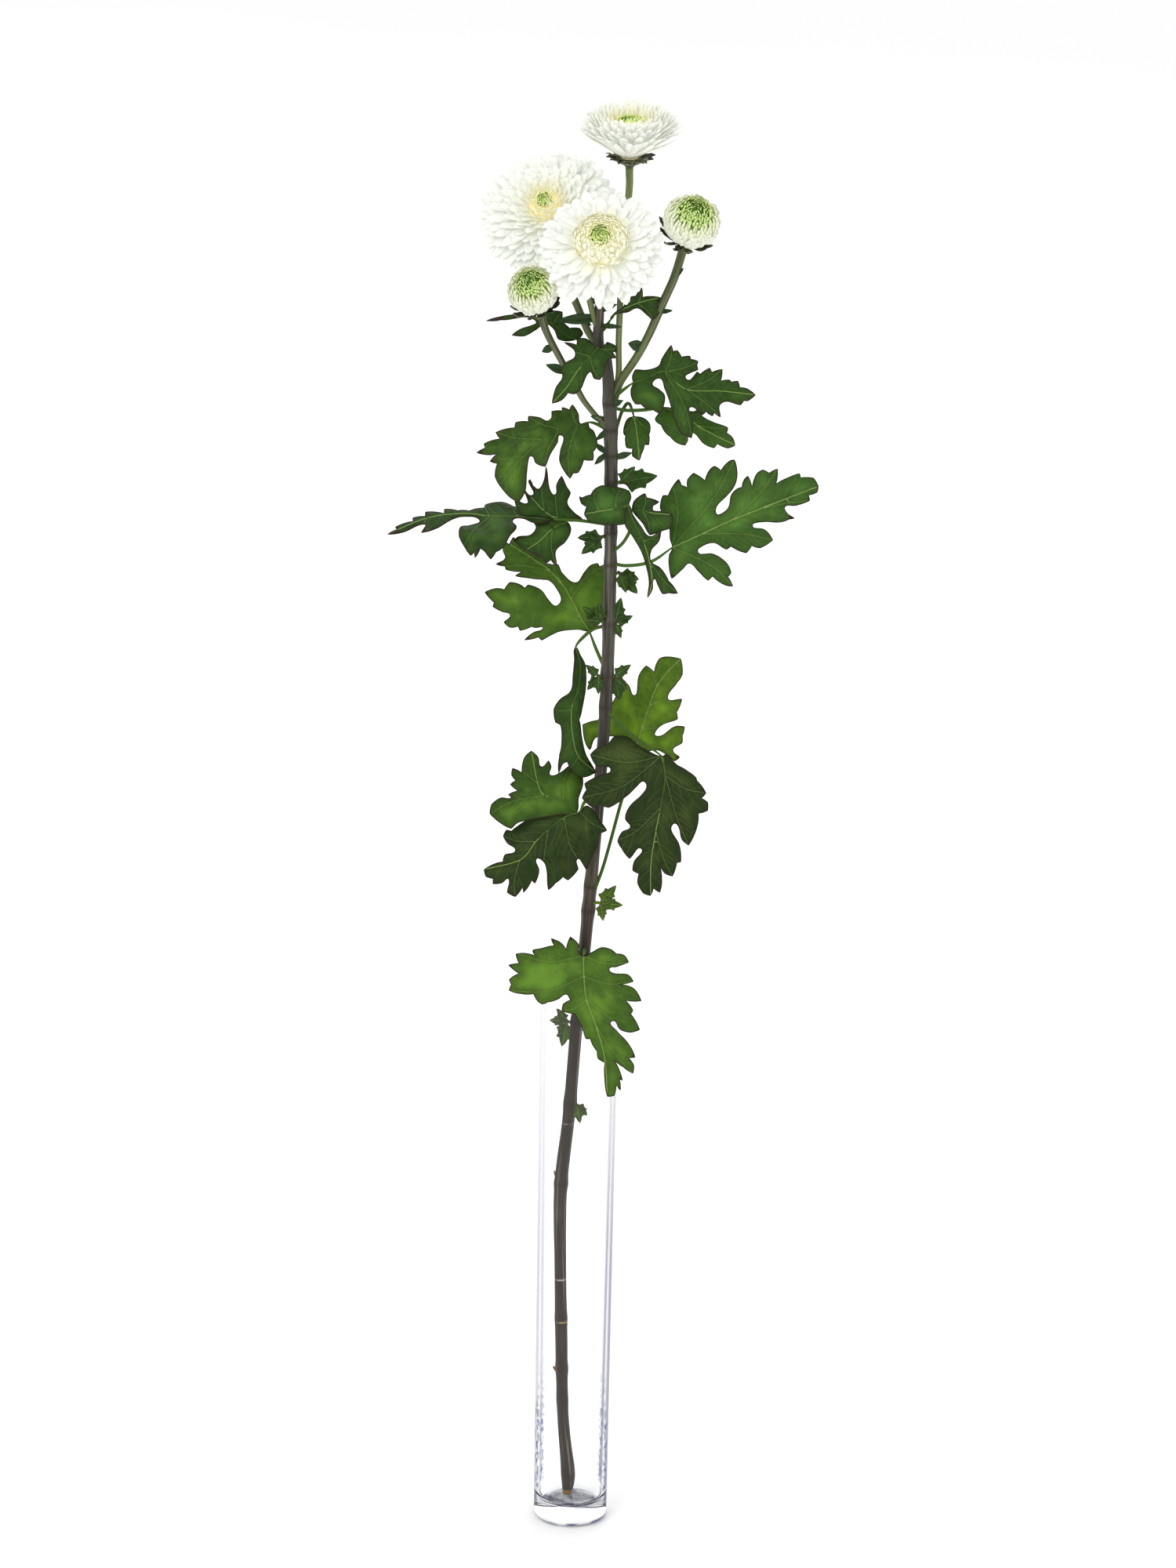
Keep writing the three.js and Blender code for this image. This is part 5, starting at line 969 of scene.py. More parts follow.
def leaf_blade(shell, shape, under, shade, seed, step, ripple=1.0):
    """Adds a closed thin blade. under: its underside faces EYE. shade: from olive at 0 to lime at 1, in part
    painted light.
    """
    outline = leaf_outline(shape["rim"], step)
    midrib, mains, fine = leaf_veins(shape, outline)
    low, high = outline.min(0), outline.max(0)
    pitch = FILL_PITCH * step
    columns = np.arange(low[0], high[0], pitch)
    rows = np.arange(low[1], high[1], pitch * ROW_SHARE)
    fill = np.array([(x + (row % 2) * pitch / 2, y) for row, y in enumerate(rows) for x in columns])
    lines = [midrib] + mains + fine
    fill = fill[inside(fill, outline)]
    fill = fill[distance_to_lines(fill, closed(outline)) > 0.55 * pitch]
    fill = fill[distance_to_lines(fill, lines) > 0.45 * pitch]
    points, edges = net_points(outline, lines)
    points.extend(Vector(p) for p in fill)
    flat, triangles, centres, kept = net_triangles(points, edges, outline)
    # a point in each triangle that would else hang between veins alone
    off = distance_to_lines(flat, lines)
    points.extend(Vector(c) for c, t, keep in zip(centres, triangles, kept)
                  if keep and max(off[list(t)]) < ON_VEIN)
    flat, triangles, _, kept = net_triangles(points, edges, outline)
    triangles = [t for t, keep in zip(triangles, kept) if keep]
    used = sorted({k for t in triangles for k in t})
    renumber = {k: i for i, k in enumerate(used)}
    flat = flat[used]
    triangles = [tuple(renumber[k] for k in t) for t in triangles]

    to_rib = distance_to_lines(flat, [midrib])
    to_main = distance_to_lines(flat, mains)
    to_fine = distance_to_lines(flat, fine)
    to_edge = distance_to_lines(flat, closed(outline))
    ribs = np.minimum(to_rib - RIB_WIDER, to_main)
    ridge = bell(to_rib, *RIB_RIDGE) + bell(to_main, *MAIN_RIDGE) + bell(to_fine, *FINE_RIDGE)
    to_any = np.minimum(np.minimum(to_rib, to_main), to_fine + 0.3)
    pillow = PILLOW_HEIGHT * smoothstep(0, PILLOW_WIDTH, to_any)
    facing = -1 if under else 1
    relief = facing * (ridge * 0.5 - 0.75 * pillow)
    surface = Blade(shape, seed, ripple)
    middle = surface.place(flat, relief)
    normals = np.zeros_like(middle)
    for a, b, c in triangles:
        normal = np.cross(middle[b] - middle[a], middle[c] - middle[a])
        normals[[a, b, c]] += normal
    normals /= np.maximum(np.linalg.norm(normals, axis=1), 1e-9)[:, None]
    # the ribs stand out on the underside only
    rib_thickness = bell(to_rib, *RIB_SWELLING) + bell(to_main, *MAIN_SWELLING)
    front = middle + normals * (BLADE_HALF + rib_thickness * under)[:, None]
    back = middle - normals * (BLADE_HALF + rib_thickness * (not under))[:, None]
    count = len(flat)
    side = 0.0 if under else 1.0
    shell.add(np.vstack([front, back]), thin_faces(triangles, count),
              rib=np.tile(ribs, 2), vein=np.tile(to_fine, 2), edge=np.tile(to_edge, 2), shade=shade,
              upper=np.concatenate([np.full(count, side), np.full(count, 1 - side)]))
    return surface


def stalk_line(surface, share):
    """Where a stalk runs on under a blade: from its foot along its midrib."""
    run = curve_points(surface.rib[0], VEIN_STEP)
    run = run[:max(3, int(len(run) * share))]
    return surface.place(run)


# Small leaflets, with two teeth on each side, and a plain slip for bracts and buds, on a length of ten
LEAFLET_RIM = [(2, -0.7, 1), (3.2, -2.6), (4.1, -2.1), (5.4, -1.9, 1), (6.6, -2.2), (7, -1.3), (10, 0),
               (7, 1.3), (6.6, 2.2), (5.4, 1.9, 1), (4.1, 2.1), (3.2, 2.6), (2, 0.7, 1)]
SLIP_RIM = [(0.8, -3, 1), (2.8, -4.3, 1), (5, -4.9, 1), (7.4, -3.4, 1), (10, 0), (7.4, 3.4, 1), (5, 4.9, 1),
            (2.8, 4.3, 1), (0.8, 3, 1)]


def leaflet(shell, foot, tip, rim, width, seed, step, cup=0.25, **marks):
    """A small blade from foot to tip, faced towards the front, drawn on a length of ten."""
    foot, tip = np.array(foot, float), np.array(tip, float)
    along = tip - foot
    length = np.linalg.norm(along)
    along /= length
    across = unit(np.cross(along, unit((0, -1, 0.25))))
    normal = np.cross(across, along)
    scale = length / 10
    outline = leaf_outline([(x, y * width, *rest) for x, y, *rest in rim], step / scale)
    rib = curve_points([(0, 0), (5, 0), (9.4, 0)], step / scale)
    veins = [curve_points([(x, 0), (x + 1.6, s * 0.9 * width), (x + 2.2, s * 1.7 * width)], step / scale)
             for x in (1.6, 3.8) for s in (-1, 1)]
    border = closed(outline)
    veins = [line[inside(line, outline) & (distance_to_lines(line, border) > 0.3)] for line in veins]
    veins = [line for line in veins if len(line) > 1]
    points, edges = net_points(outline, [rib] + veins)
    pitch = 1.5 * step / scale
    fill = np.array([(x, y) for x in np.arange(0, 10, pitch) for y in np.arange(-3, 3, pitch) * width])
    fill = fill[inside(fill, outline)]
    fill = fill[distance_to_lines(fill, border + [rib]) > 0.5 * pitch]
    points.extend(Vector(p) for p in fill)
    flat, triangles, _, kept = net_triangles(points, edges, outline)
    triangles = [t for t, keep in zip(triangles, kept) if keep]
    to_rib = distance_to_lines(flat, [rib]) * scale
    to_main = distance_to_lines(flat, veins) * scale
    to_edge = distance_to_lines(flat, border) * scale
    curl = np.array([noise.noise(Vector((x * 0.3 + seed, y * 0.4, seed))) for x, y in flat])
    rise = cup * np.abs(flat[:, 1]) * scale + 0.9 * curl * scale * smoothstep(0, 5, flat[:, 0])
    rise = rise - bell(to_rib, *LEAFLET_GROOVE)
    middle = foot + flat[:, :1] * scale * along + flat[:, 1:] * scale * across + rise[:, None] * normal
    count = len(flat)
    turned = np.dot(np.cross(along, across), normal) > 0
    shift = LEAFLET_HALF * normal * (1 if turned else -1)
    side = 1.0 if turned else 0.0
    shell.add(np.vstack([middle + shift, middle - shift]), thin_faces(triangles, count),
              rib=np.tile(to_rib, 2), vein=np.tile(to_main, 2), edge=np.tile(to_edge, 2),
              shade=0.3 + 0.3 * curl.max(),
              upper=np.concatenate([np.full(count, side), np.full(count, 1 - side)]), **marks)


def stem_point(height):
    points = np.array([p[:3] for p in STEM], float)
    return np.array([np.interp(height, points[:, 2], points[:, k]) for k in range(3)])


def to_bloom(path, key):
    """The line of a stalk led into the bloom it carries, straight along the bloom's own axis."""
    axis = unit(BLOOMS[key]["face"])
    end = np.array(BLOOMS[key]["seat"], float) - axis * (CALYX_DEPTH + GAP)
    return [p[:3] for p in path] + [tuple(end - CALYX_LEAD * axis), tuple(end)]


# Petals


def flat_petal(across, along):
    """A flat blade, from a grid: width runs from -1 to 1, length from 0 to 1, and it closes at its edges."""
    deselect_all()
    bpy.ops.mesh.primitive_grid_add(x_subdivisions=across, y_subdivisions=along, size=2, location=(0, 0, 0))
    sheet = bpy.context.object
    thick = sheet.modifiers.new("Thickness", "SOLIDIFY")
    thick.thickness = 0.2
    thick.offset = 0
    bpy.ops.object.modifier_apply(modifier=thick.name)
    mesh = sheet.data
    coords = np.zeros(len(mesh.vertices) * 3)
    mesh.vertices.foreach_get("co", coords)
    coords = coords.reshape(-1, 3)
    faces = [tuple(face.vertices) for face in mesh.polygons]
    bpy.data.objects.remove(sheet, do_unlink=True)
    bpy.data.meshes.remove(mesh)
    return coords[:, 0], (coords[:, 1] + 1) / 2, np.sign(coords[:, 2]), faces


class PetalMaker:
    """Bends copies of one flat blade along paths in a flower's own frame, +Z the way it faces."""

    def __init__(self, bloom, across=4, along=6):
        self.across, self.along, self.face, self.faces = flat_petal(across, along)
        self.along = 1 - (1 - self.along) ** TIP_CROWDING
        axis = Vector(bloom["face"]).normalized()
        self.turn = np.array(Vector((0, 0, 1)).rotation_difference(axis).to_matrix())
        self.seat = np.array(bloom["seat"], float)

    def world(self, points):
        return points @ self.turn.T + self.seat

    def add(self, shell, path, angle, width, channel=0.3, narrow=0.4, roll=0.0, thickness=0.34, tip=0.35,
            lean=0.0, **marks):
        """path is a run of (out, up) points from foot to tip."""
        path = np.asarray(path, float)
        share = np.linspace(0, 1, len(path))
        slope = np.gradient(path, axis=0)
        slope /= np.linalg.norm(slope, axis=1)[:, None]
        t, s = self.along, self.across
        reach = np.interp(t, share, path[:, 0])
        rise = np.interp(t, share, path[:, 1])
        way = np.column_stack([np.interp(t, share, slope[:, 0]), np.interp(t, share, slope[:, 1])])
        spread = (narrow + (1 - narrow) * smoothstep(0, 0.62, t)) * np.sqrt(
            1 - (1 - tip ** 2) * np.clip((t - 0.72) / 0.28, 0, 1) ** 2)
        half = 0.5 * width * spread
        hollow = channel * half * s ** 2
        thick = 0.5 * thickness * self.face * (1 - 0.75 * s ** 2)
        side = s * half
        lift = hollow + thick + math.sin(roll) * side
        sideways = math.cos(roll) * side + lean * t ** 2
        out = reach - way[:, 1] * lift
        up = rise + way[:, 0] * lift
        c, n = math.cos(angle), math.sin(angle)
        points = np.column_stack([out * c - sideways * n, out * n + sideways * c, up])
        shell.add(self.world(points), self.faces, along=t, across=s, **marks)


def bent_path(foot, length, angles, steps=7):
    """A path that starts at foot and turns through the given slopes, in degrees."""
    slopes = np.radians(np.interp(np.linspace(0, 1, steps - 1), np.linspace(0, 1, len(angles)), angles))
    path = [np.array(foot, float)]
    for slope in slopes:
        path.append(path[-1] + length / (steps - 1) * np.array((math.cos(slope), math.sin(slope))))
    return path


def swept_path(foot, tip, leave, arrive, steps=8):
    """A smooth path from foot to tip that leaves and arrives at the given slopes, in degrees."""
    foot, tip = np.array(foot, float), np.array(tip, float)
    pull = 1.15 * np.linalg.norm(tip - foot)
    out, home = (pull * np.array((math.cos(a), math.sin(a))) for a in map(math.radians, (leave, arrive)))
    return hermite(np.linspace(0, 1, steps)[:, None], foot, out, tip, home)


def row_at(rows, inward):
    """The form of a petal at a share of the way in, between the rows of its bloom."""
    shares, *columns = zip(*rows)
    return [float(np.interp(inward, shares, column)) for column in columns]


def open_bloom(node, bloom, draw, material):
    """Rows of petals, spread at the rim and closing towards the heart, round a hidden core."""
    radius, top, count = bloom["radius"], bloom["dome"] * bloom["radius"], bloom["petals"]
    broad, slim = PetalMaker(bloom, *BROAD_GRID), PetalMaker(bloom, *SLIM_GRID)
    shell = Shell(along=0.0, across=0.0, inward=0.5, tint=0.5, core=0.0)
    core = [(0, GAP), (0.16 * radius, GAP), (0.27 * radius, 0.4 * top), (0.28 * radius, 0.7 * top),
            ((bloom["heart"] + 0.04) * radius, 0.95 * top), (0, 0.98 * top)]
    lathe(shell, broad, core, OPEN_CORE_SIDES, core=1.0)
    for i in range(count):
        inward = (i + 0.5) / count
        angle = i * GOLDEN_ANGLE + draw.uniform(-0.07, 0.07)
        out, up, leave, arrive, width, warm = row_at(bloom["rows"], inward)
        droop = math.sin(angle)
        below = SPARSE_ROWS[0] < inward < SPARSE_ROWS[1] and droop < SPARSE_BELOW
        if below and draw.random() < bloom["sparse"]:
            continue
        loose = max(0, 1 - 1.6 * inward)
        out *= (1 - bloom["sag"] * droop * loose) * (1 + draw.uniform(-0.07, 0.05) * (0.3 + loose))
        up += draw.uniform(-0.05, 0.05)
        wobble = draw.uniform(-12, 12) * (0.4 + loose)
        foot = (radius * np.interp(inward, (0, 0.5, 1), (0.17, 0.24, bloom["heart"])),
                top * np.interp(inward, (0, 0.5, 1), (0.06, 0.3, 0.75)))
        path = swept_path(foot, (radius * out, radius * up), leave + 0.5 * wobble, arrive + wobble)
        maker = broad if width > BROAD_WIDTH else slim
        maker.add(shell, path, angle, width * draw.uniform(0.85, 1.12),
                  channel=0.14 + draw.uniform(-0.06, 0.16), narrow=0.45,
                  roll=draw.uniform(-0.2, 0.2) * (0.3 + loose), lean=draw.uniform(-1.8, 1.8) * loose,
                  tip=draw.uniform(0.12, 0.36), thickness=0.3, inward=warm, tint=draw.random())
    return shell.piece(node, material, "petal")


def globe_bloom(node, bloom, draw, material):
    """Petals that close like a ball over the heart."""
    radius, count = bloom["radius"], bloom["petals"]
    maker = PetalMaker(bloom, *GLOBE_GRID)
    shell = Shell(along=0.0, across=0.0, inward=0.5, tint=0.5, core=0.0)
    core = [(0, GAP), (0.36 * radius, GAP), (0.62 * radius, 0.42 * radius), (0.72 * radius, 0.9 * radius),
            (0.6 * radius, 1.22 * radius), (0, 1.24 * radius)]
    lathe(shell, maker, core, GLOBE_CORE_SIDES, core=1.0)
    for i in range(count):
        inward = (i + 0.5) / count
        out, up, leave, arrive, width, warm = row_at(GLOBE_ROWS, inward)
        out *= 1 + draw.uniform(-0.03, 0.03 + 0.12 * max(0, 0.2 - inward))
        up += draw.uniform(-0.08, 0.08)
        path = swept_path((0.25 * radius, 0.06 * radius), (radius * out, radius * up), leave,
                          arrive + draw.uniform(-14, 8))
        maker.add(shell, path, i * GOLDEN_ANGLE + draw.uniform(-0.05, 0.05),
                  width * radius / GLOBE_ROW_RADIUS * draw.uniform(0.85, 1.1), channel=0.5, narrow=0.6,
                  roll=draw.uniform(-0.14, 0.14), tip=0.35, inward=warm, tint=draw.random())
    return shell.piece(node, material, "petal")


def lathe(shell, maker, profile, sides, **marks):
    """A solid turned about the flower's axis; the profile starts and ends on the axis, foot first."""
    rings = []
    for radius, height in profile[1:-1]:
        for k in range(sides):
            angle = 2 * math.pi * k / sides
            rings.append((radius * math.cos(angle), radius * math.sin(angle), height))
    count = len(profile) - 2
    points = np.array(rings + [(0, 0, profile[0][1]), (0, 0, profile[-1][1])])
    faces = []
    for ring in range(count - 1):
        for k in range(sides):
            a, b = ring * sides + k, ring * sides + (k + 1) % sides
            faces.append((a, b, b + sides, a + sides))
    last = (count - 1) * sides
    for k in range(sides):
        faces.append((count * sides, (k + 1) % sides, k))
        faces.append((count * sides + 1, last + k, last + (k + 1) % sides))
    shell.add(maker.world(points), faces, **marks)


def heart_size(bloom):
    """Radius and foot height of the green middle."""
    radius = bloom["radius"]
    if bloom.get("globe"):
        return 0.84 * (radius - GLOBE_PETAL_ROOM), 1.2 * radius
    return bloom["heart"] * radius, bloom["dome"] * radius + GAP


def heart(node, bloom, draw, material):
    """Young florets: small green petals that curl over a low dome, with dark gaps between them."""
    size, foot = heart_size(bloom)
    maker = PetalMaker(bloom, *FLORET_GRID)
    shell = Shell(along=0.0, across=0.0, inward=0.5, tint=0.5, deep=bloom["deep"])
    dome = [(0, foot), (0.86 * size, foot), (0.7 * size, foot + 0.26 * size),
            (0.35 * size, foot + 0.4 * size), (0, foot + 0.42 * size)]
    lathe(shell, maker, dome, HEART_SIDES, along=0, inward=1)
    count, part = GLOBE_FLORETS if bloom.get("globe") else OPEN_FLORETS
    for i in range(count):
        inward = 1 - math.sqrt((i + 0.5) / count)
        out = 0.98 * size * (1 - 0.86 * inward)
        rise = foot + 0.02 + 0.4 * size * (1 - (out / size) ** 2)
        length = part * size * (0.66 - 0.34 * inward) * draw.uniform(0.75, 1.2)
        slope = 62 + 26 * inward + draw.uniform(-14, 14)
        path = bent_path((out, rise - 0.3), length, [slope, slope + 25, slope + 70], 5)
        if draw.random() > FLORETS_MISSING:
            maker.add(shell, path, i * GOLDEN_ANGLE, part * size * (0.25 - 0.08 * inward), channel=0.7,
                      narrow=0.7, roll=draw.uniform(-0.4, 0.4), thickness=0.24,
                      inward=inward, tint=draw.random())
    return shell.piece(node, material, "heart")


def calyx(node, bloom, draw, material):
    """A shallow cup with two rows of pointed bracts that spread under the petals."""
    radius, (end_out, end_up, rise) = bloom["radius"], bloom["cup"]
    maker = PetalMaker(bloom, *FLORET_GRID)
    shell = Shell(along=0.0, across=0.0, inward=0.5, tint=0.5)
    wide = 0.24 * radius + 1
    cup = [(0, -CALYX_DEPTH), (2.3, -CALYX_DEPTH), (2.9, -0.72 * CALYX_DEPTH), (0.8 * wide, -1.6),
           (wide, -0.4), (0, -0.4)]
    lathe(shell, maker, cup, CALYX_SIDES, along=0.0, inward=0.3)
    for row, (bracts, share, off) in enumerate(BRACT_ROWS):
        for i in range(bracts):
            angle = 2 * math.pi * (i + 0.5 * row + draw.uniform(-0.2, 0.2)) / bracts
            reach = share * draw.uniform(0.8, 1.08)
            end = (end_out * reach + 1.2 * off, end_up * reach - off + draw.uniform(-0.6, 0.4))
            path = swept_path((2.3, -CALYX_DEPTH + 0.8), end, 18, rise + draw.uniform(-18, 8), 7)
            maker.add(shell, path, angle, 3.4 * draw.uniform(0.75, 1.15), channel=0.4, narrow=0.75, tip=0.12,
                      thickness=0.4, roll=draw.uniform(-0.35, 0.35), inward=0.5 * row, tint=draw.random())
    return shell.piece(node, material, "calyx")


# Finishes


class Nodes:
    """A material's node tree, with short ways to add the nodes that this flower uses."""

    def __init__(self, name):
        self.material = bpy.data.materials.new(name)
        self.material.use_nodes = True
        self.tree = self.material.node_tree
        self.shader = self.tree.nodes["Principled BSDF"]

    def node(self, kind, **settings):
        node = self.tree.nodes.new(kind)
        for key, value in settings.items():
            setattr(node, key, value)
        return node

    def link(self, source, target):
        self.tree.links.new(source, target)

    def feed(self, socket, value):
        if isinstance(value, bpy.types.NodeSocket):
            self.link(value, socket)
        elif value is not None:
            socket.default_value = value

    def mark(self, name):
        return self.node("ShaderNodeAttribute", attribute_name=name, attribute_type="GEOMETRY").outputs["Fac"]

    def place(self):
        return self.node("ShaderNodeTexCoord").outputs["Object"]

    def noise(self, scale, detail=3.0, roughness=0.5, stretch=None, place=None):
        spot = place or self.place()
        if stretch:
            mapping = self.node("ShaderNodeMapping")
            mapping.inputs["Scale"].default_value = stretch
            self.link(spot, mapping.inputs["Vector"])
            spot = mapping.outputs["Vector"]
        texture = self.node("ShaderNodeTexNoise")
        texture.inputs["Scale"].default_value = scale
        texture.inputs["Detail"].default_value = detail
        texture.inputs["Roughness"].default_value = roughness
        self.link(spot, texture.inputs["Vector"])
        return texture.outputs["Fac"]

    def band(self, value, low, high, start=0.0, end=1.0):
        """value from low to high becomes start to end, smoothly and no further."""
        node = self.node("ShaderNodeMapRange", interpolation_type="SMOOTHSTEP")
        for key, number in (("From Min", low), ("From Max", high), ("To Min", start), ("To Max", end)):
            node.inputs[key].default_value = number
        self.feed(node.inputs["Value"], value)
        return node.outputs["Result"]

    def maths(self, operation, a, b=None):
        node = self.node("ShaderNodeMath", operation=operation)
        self.feed(node.inputs[0], a)
        self.feed(node.inputs[1], b)
        return node.outputs[0]

    def blend(self, share, a, b):
        node = self.node("ShaderNodeMix", data_type="RGBA", blend_type="MIX")
        self.feed(node.inputs["Factor"], share)
        self.feed(node.inputs["A"], a if isinstance(a, bpy.types.NodeSocket) else (*a, 1))
        self.feed(node.inputs["B"], b if isinstance(b, bpy.types.NodeSocket) else (*b, 1))
        return node.outputs["Result"]

    def bump(self, height, strength, distance):
        node = self.node("ShaderNodeBump")
        node.inputs["Strength"].default_value = strength
        node.inputs["Distance"].default_value = distance
        self.link(height, node.inputs["Height"])
        self.link(node.outputs["Normal"], self.shader.inputs["Normal"])

    def set(self, **inputs):
        for key, value in inputs.items():
            self.feed(self.shader.inputs[key.replace("_", " ")], value)


def leaf_finish(name, olive, green, lime, vein, rim, light, border_width=0.75):
    """Leaf tissue from olive to lime, with pale veins and painted light and shade: bright between the veins,
    deep at the edges and along the ribs.
    """
    n = Nodes(name)
    shade, edge, rib = n.mark("shade"), n.mark("edge"), n.mark("rib")
    bright = n.blend(n.band(shade, 0.4, 1.0), n.blend(n.band(shade, 0.0, 0.4), olive, green), lime)
    # painted light and shade: tissue bright in patches between the veins, deepened towards LEAF_SHADOW at the
    # edges, along the ribs and between the patches
    deep = n.blend(0.78, bright, LEAF_SHADOW)
    patches = n.band(n.noise(46, 3, 0.55), 0.38, 0.64, 0.1, 1.0)
    painted_light_and_shade = n.maths("MULTIPLY", n.band(edge, 0.6, 7.0, 0.12, 1.0), patches)
    painted_light_and_shade = n.maths("MULTIPLY", painted_light_and_shade, n.band(rib, 0.2, 2.6, 0.6, 1.0))
    face = n.blend(painted_light_and_shade, deep, bright)
    mottle = n.noise(260, 4, 0.6)
    face = n.blend(n.band(mottle, 0.35, 0.7, 0.0, 0.2), face, bright)
    upper = n.band(n.mark("upper"), 0.4, 0.6)
    body = n.blend(upper, n.blend(0.15, face, [1.2 * c for c in green]), face)
    body = n.blend(n.band(n.mark("vein"), 0.0, 0.5, 0.07, 0.0), body, vein)
    body = n.blend(n.band(rib, -0.05, 0.16, 0.85, 0.0), body, vein)
    border = n.maths("MULTIPLY", n.band(edge, 0.25 * border_width, border_width, 0.95, 0.0),
                     n.band(n.noise(60), 0.25, 0.5, 0.35, 1.0))
    body = n.blend(border, body, rim)
    n.set(Base_Color=body, Roughness=n.band(mottle, 0.2, 0.8, 0.42, 0.62), Specular_IOR_Level=0.1,
          Subsurface_Weight=light, Subsurface_Scale=0.001, Subsurface_Radius=(0.5, 1.0, 0.25))
    grain = n.maths("ADD", n.maths("MULTIPLY", mottle, 0.7), n.band(n.mark("vein"), 0, 0.9, 0, 1))
    n.bump(grain, 0.45, 0.0003)
    return n.material


def petal_finish(name, white, cream, green, core=OPEN_CORE):
    """Petals: white at the rim, then cream and green inwards, warmer at the foot, faintly ribbed, greyed at
    the sides as painted shade, with a painted glow.
    """
    n = Nodes(name)
    inward, along, tint = n.mark("inward"), n.mark("along"), n.mark("tint")
    body = n.blend(n.band(inward, 0.02, 0.6), white, cream)
    body = n.blend(n.band(inward, 0.6, 1.0, 0.0, 0.9), body, green)
    foot = n.maths("MULTIPLY", n.band(along, 0.2, 0.85, 0.8, 0.0), n.band(inward, 0.0, 0.5, 0.25, 1.0))
    body = n.blend(foot, body, [a * b for a, b in zip(cream, (1.04, 1.0, 0.82))])
    body = n.blend(n.band(tint, 0, 1, 0.0, 0.4), body, [0.93 * a + 0.05 * b for a, b in zip(white, cream)])
    body = n.blend(n.mark("core"), body, core)
    # painted shade: each petal greyer towards its sides, where it meets the next
    edge = n.band(n.maths("ABSOLUTE", n.mark("across")), 0.5, 1.0, 0.0, 0.1)
    body = n.blend(edge, body, [0.8 * a for a in white])
    # painted light: the petals glow with their own colour, most at the foot, which lifts the shade between
    # them
    n.set(Base_Color=body, Roughness=0.55, Specular_IOR_Level=0.2, Subsurface_Weight=PETAL_LIGHT,
          Subsurface_Scale=0.0015, Subsurface_Radius=(1.0, 0.97, 0.9), Emission_Color=body,
          Emission_Strength=n.band(foot, 0.0, 0.8, 0.17, 0.34))
    ribs = n.maths("SINE", n.maths("MULTIPLY", n.mark("across"), 8.0))
    n.bump(n.maths("ADD", n.maths("MULTIPLY", ribs, 0.4), n.noise(700, 2)), 0.2, 0.0001)
    return n.material


def heart_finish():
    """Young florets: dark green in the gaps, their own green with painted shade, yellow-green at the tips,
    paler towards the rim.
    """
    n = Nodes("young florets")
    along, tint, inward = n.mark("along"), n.mark("tint"), n.mark("inward")
    tips = n.blend(n.band(inward, 0.0, 0.45), FLORET_RIM, FLORET_MIDDLE)
    tips = n.blend(n.band(tint, 0.3, 1, 0, 0.7), tips, FLORET_PALE)
    # painted shade: the florets darken towards their feet and over the dome, more towards the middle and as
    # far as deep asks
    gap = n.maths("MULTIPLY", n.band(along, 0.0, 0.55, 1.0, 0.0), n.mark("deep"))
    gap = n.maths("MULTIPLY", gap, n.band(inward, 0.1, 0.6, 0.55, 1.0))
    tips = n.blend(n.band(n.mark("deep"), 0.75, 1.0, 0.0, 0.75), tips, FLORET_GLOBE)
    body = n.blend(gap, tips, FLORET_GREEN_AND_GAP_SHADE)
    n.set(Base_Color=body, Roughness=0.5, Specular_IOR_Level=0.3, Subsurface_Weight=0.2,
          Subsurface_Scale=0.001, Subsurface_Radius=(0.8, 1.0, 0.3))
    n.bump(n.noise(1200, 2), 0.2, 0.0001)
    return n.material


def calyx_finish():
    """Bracts: olive at the foot, brown-black at the tips, some with a pale edge."""
    n = Nodes("calyx bracts")
    along, tint = n.mark("along"), n.mark("tint")
    body = n.blend(n.band(along, 0.2, 0.9), BRACT_FOOT, BRACT_TIP)
    body = n.blend(n.band(tint, 0.3, 1, 0, 0.5), body, BRACT_GREEN)
    body = n.blend(n.band(n.noise(500, 3), 0.4, 0.7, 0, 0.5), body, BRACT_SPOT)
    edge = n.band(n.maths("ABSOLUTE", n.mark("across")), 0.7, 1.0)
    edge = n.maths("MULTIPLY", edge, n.band(tint, 0.3, 0.6))
    body = n.blend(n.maths("MULTIPLY", edge, 0.7), body, BRACT_EDGE)
    n.set(Base_Color=body, Roughness=0.6, Specular_IOR_Level=0.35)
    n.bump(n.noise(800, 3), 0.4, 0.0002)
    return n.material


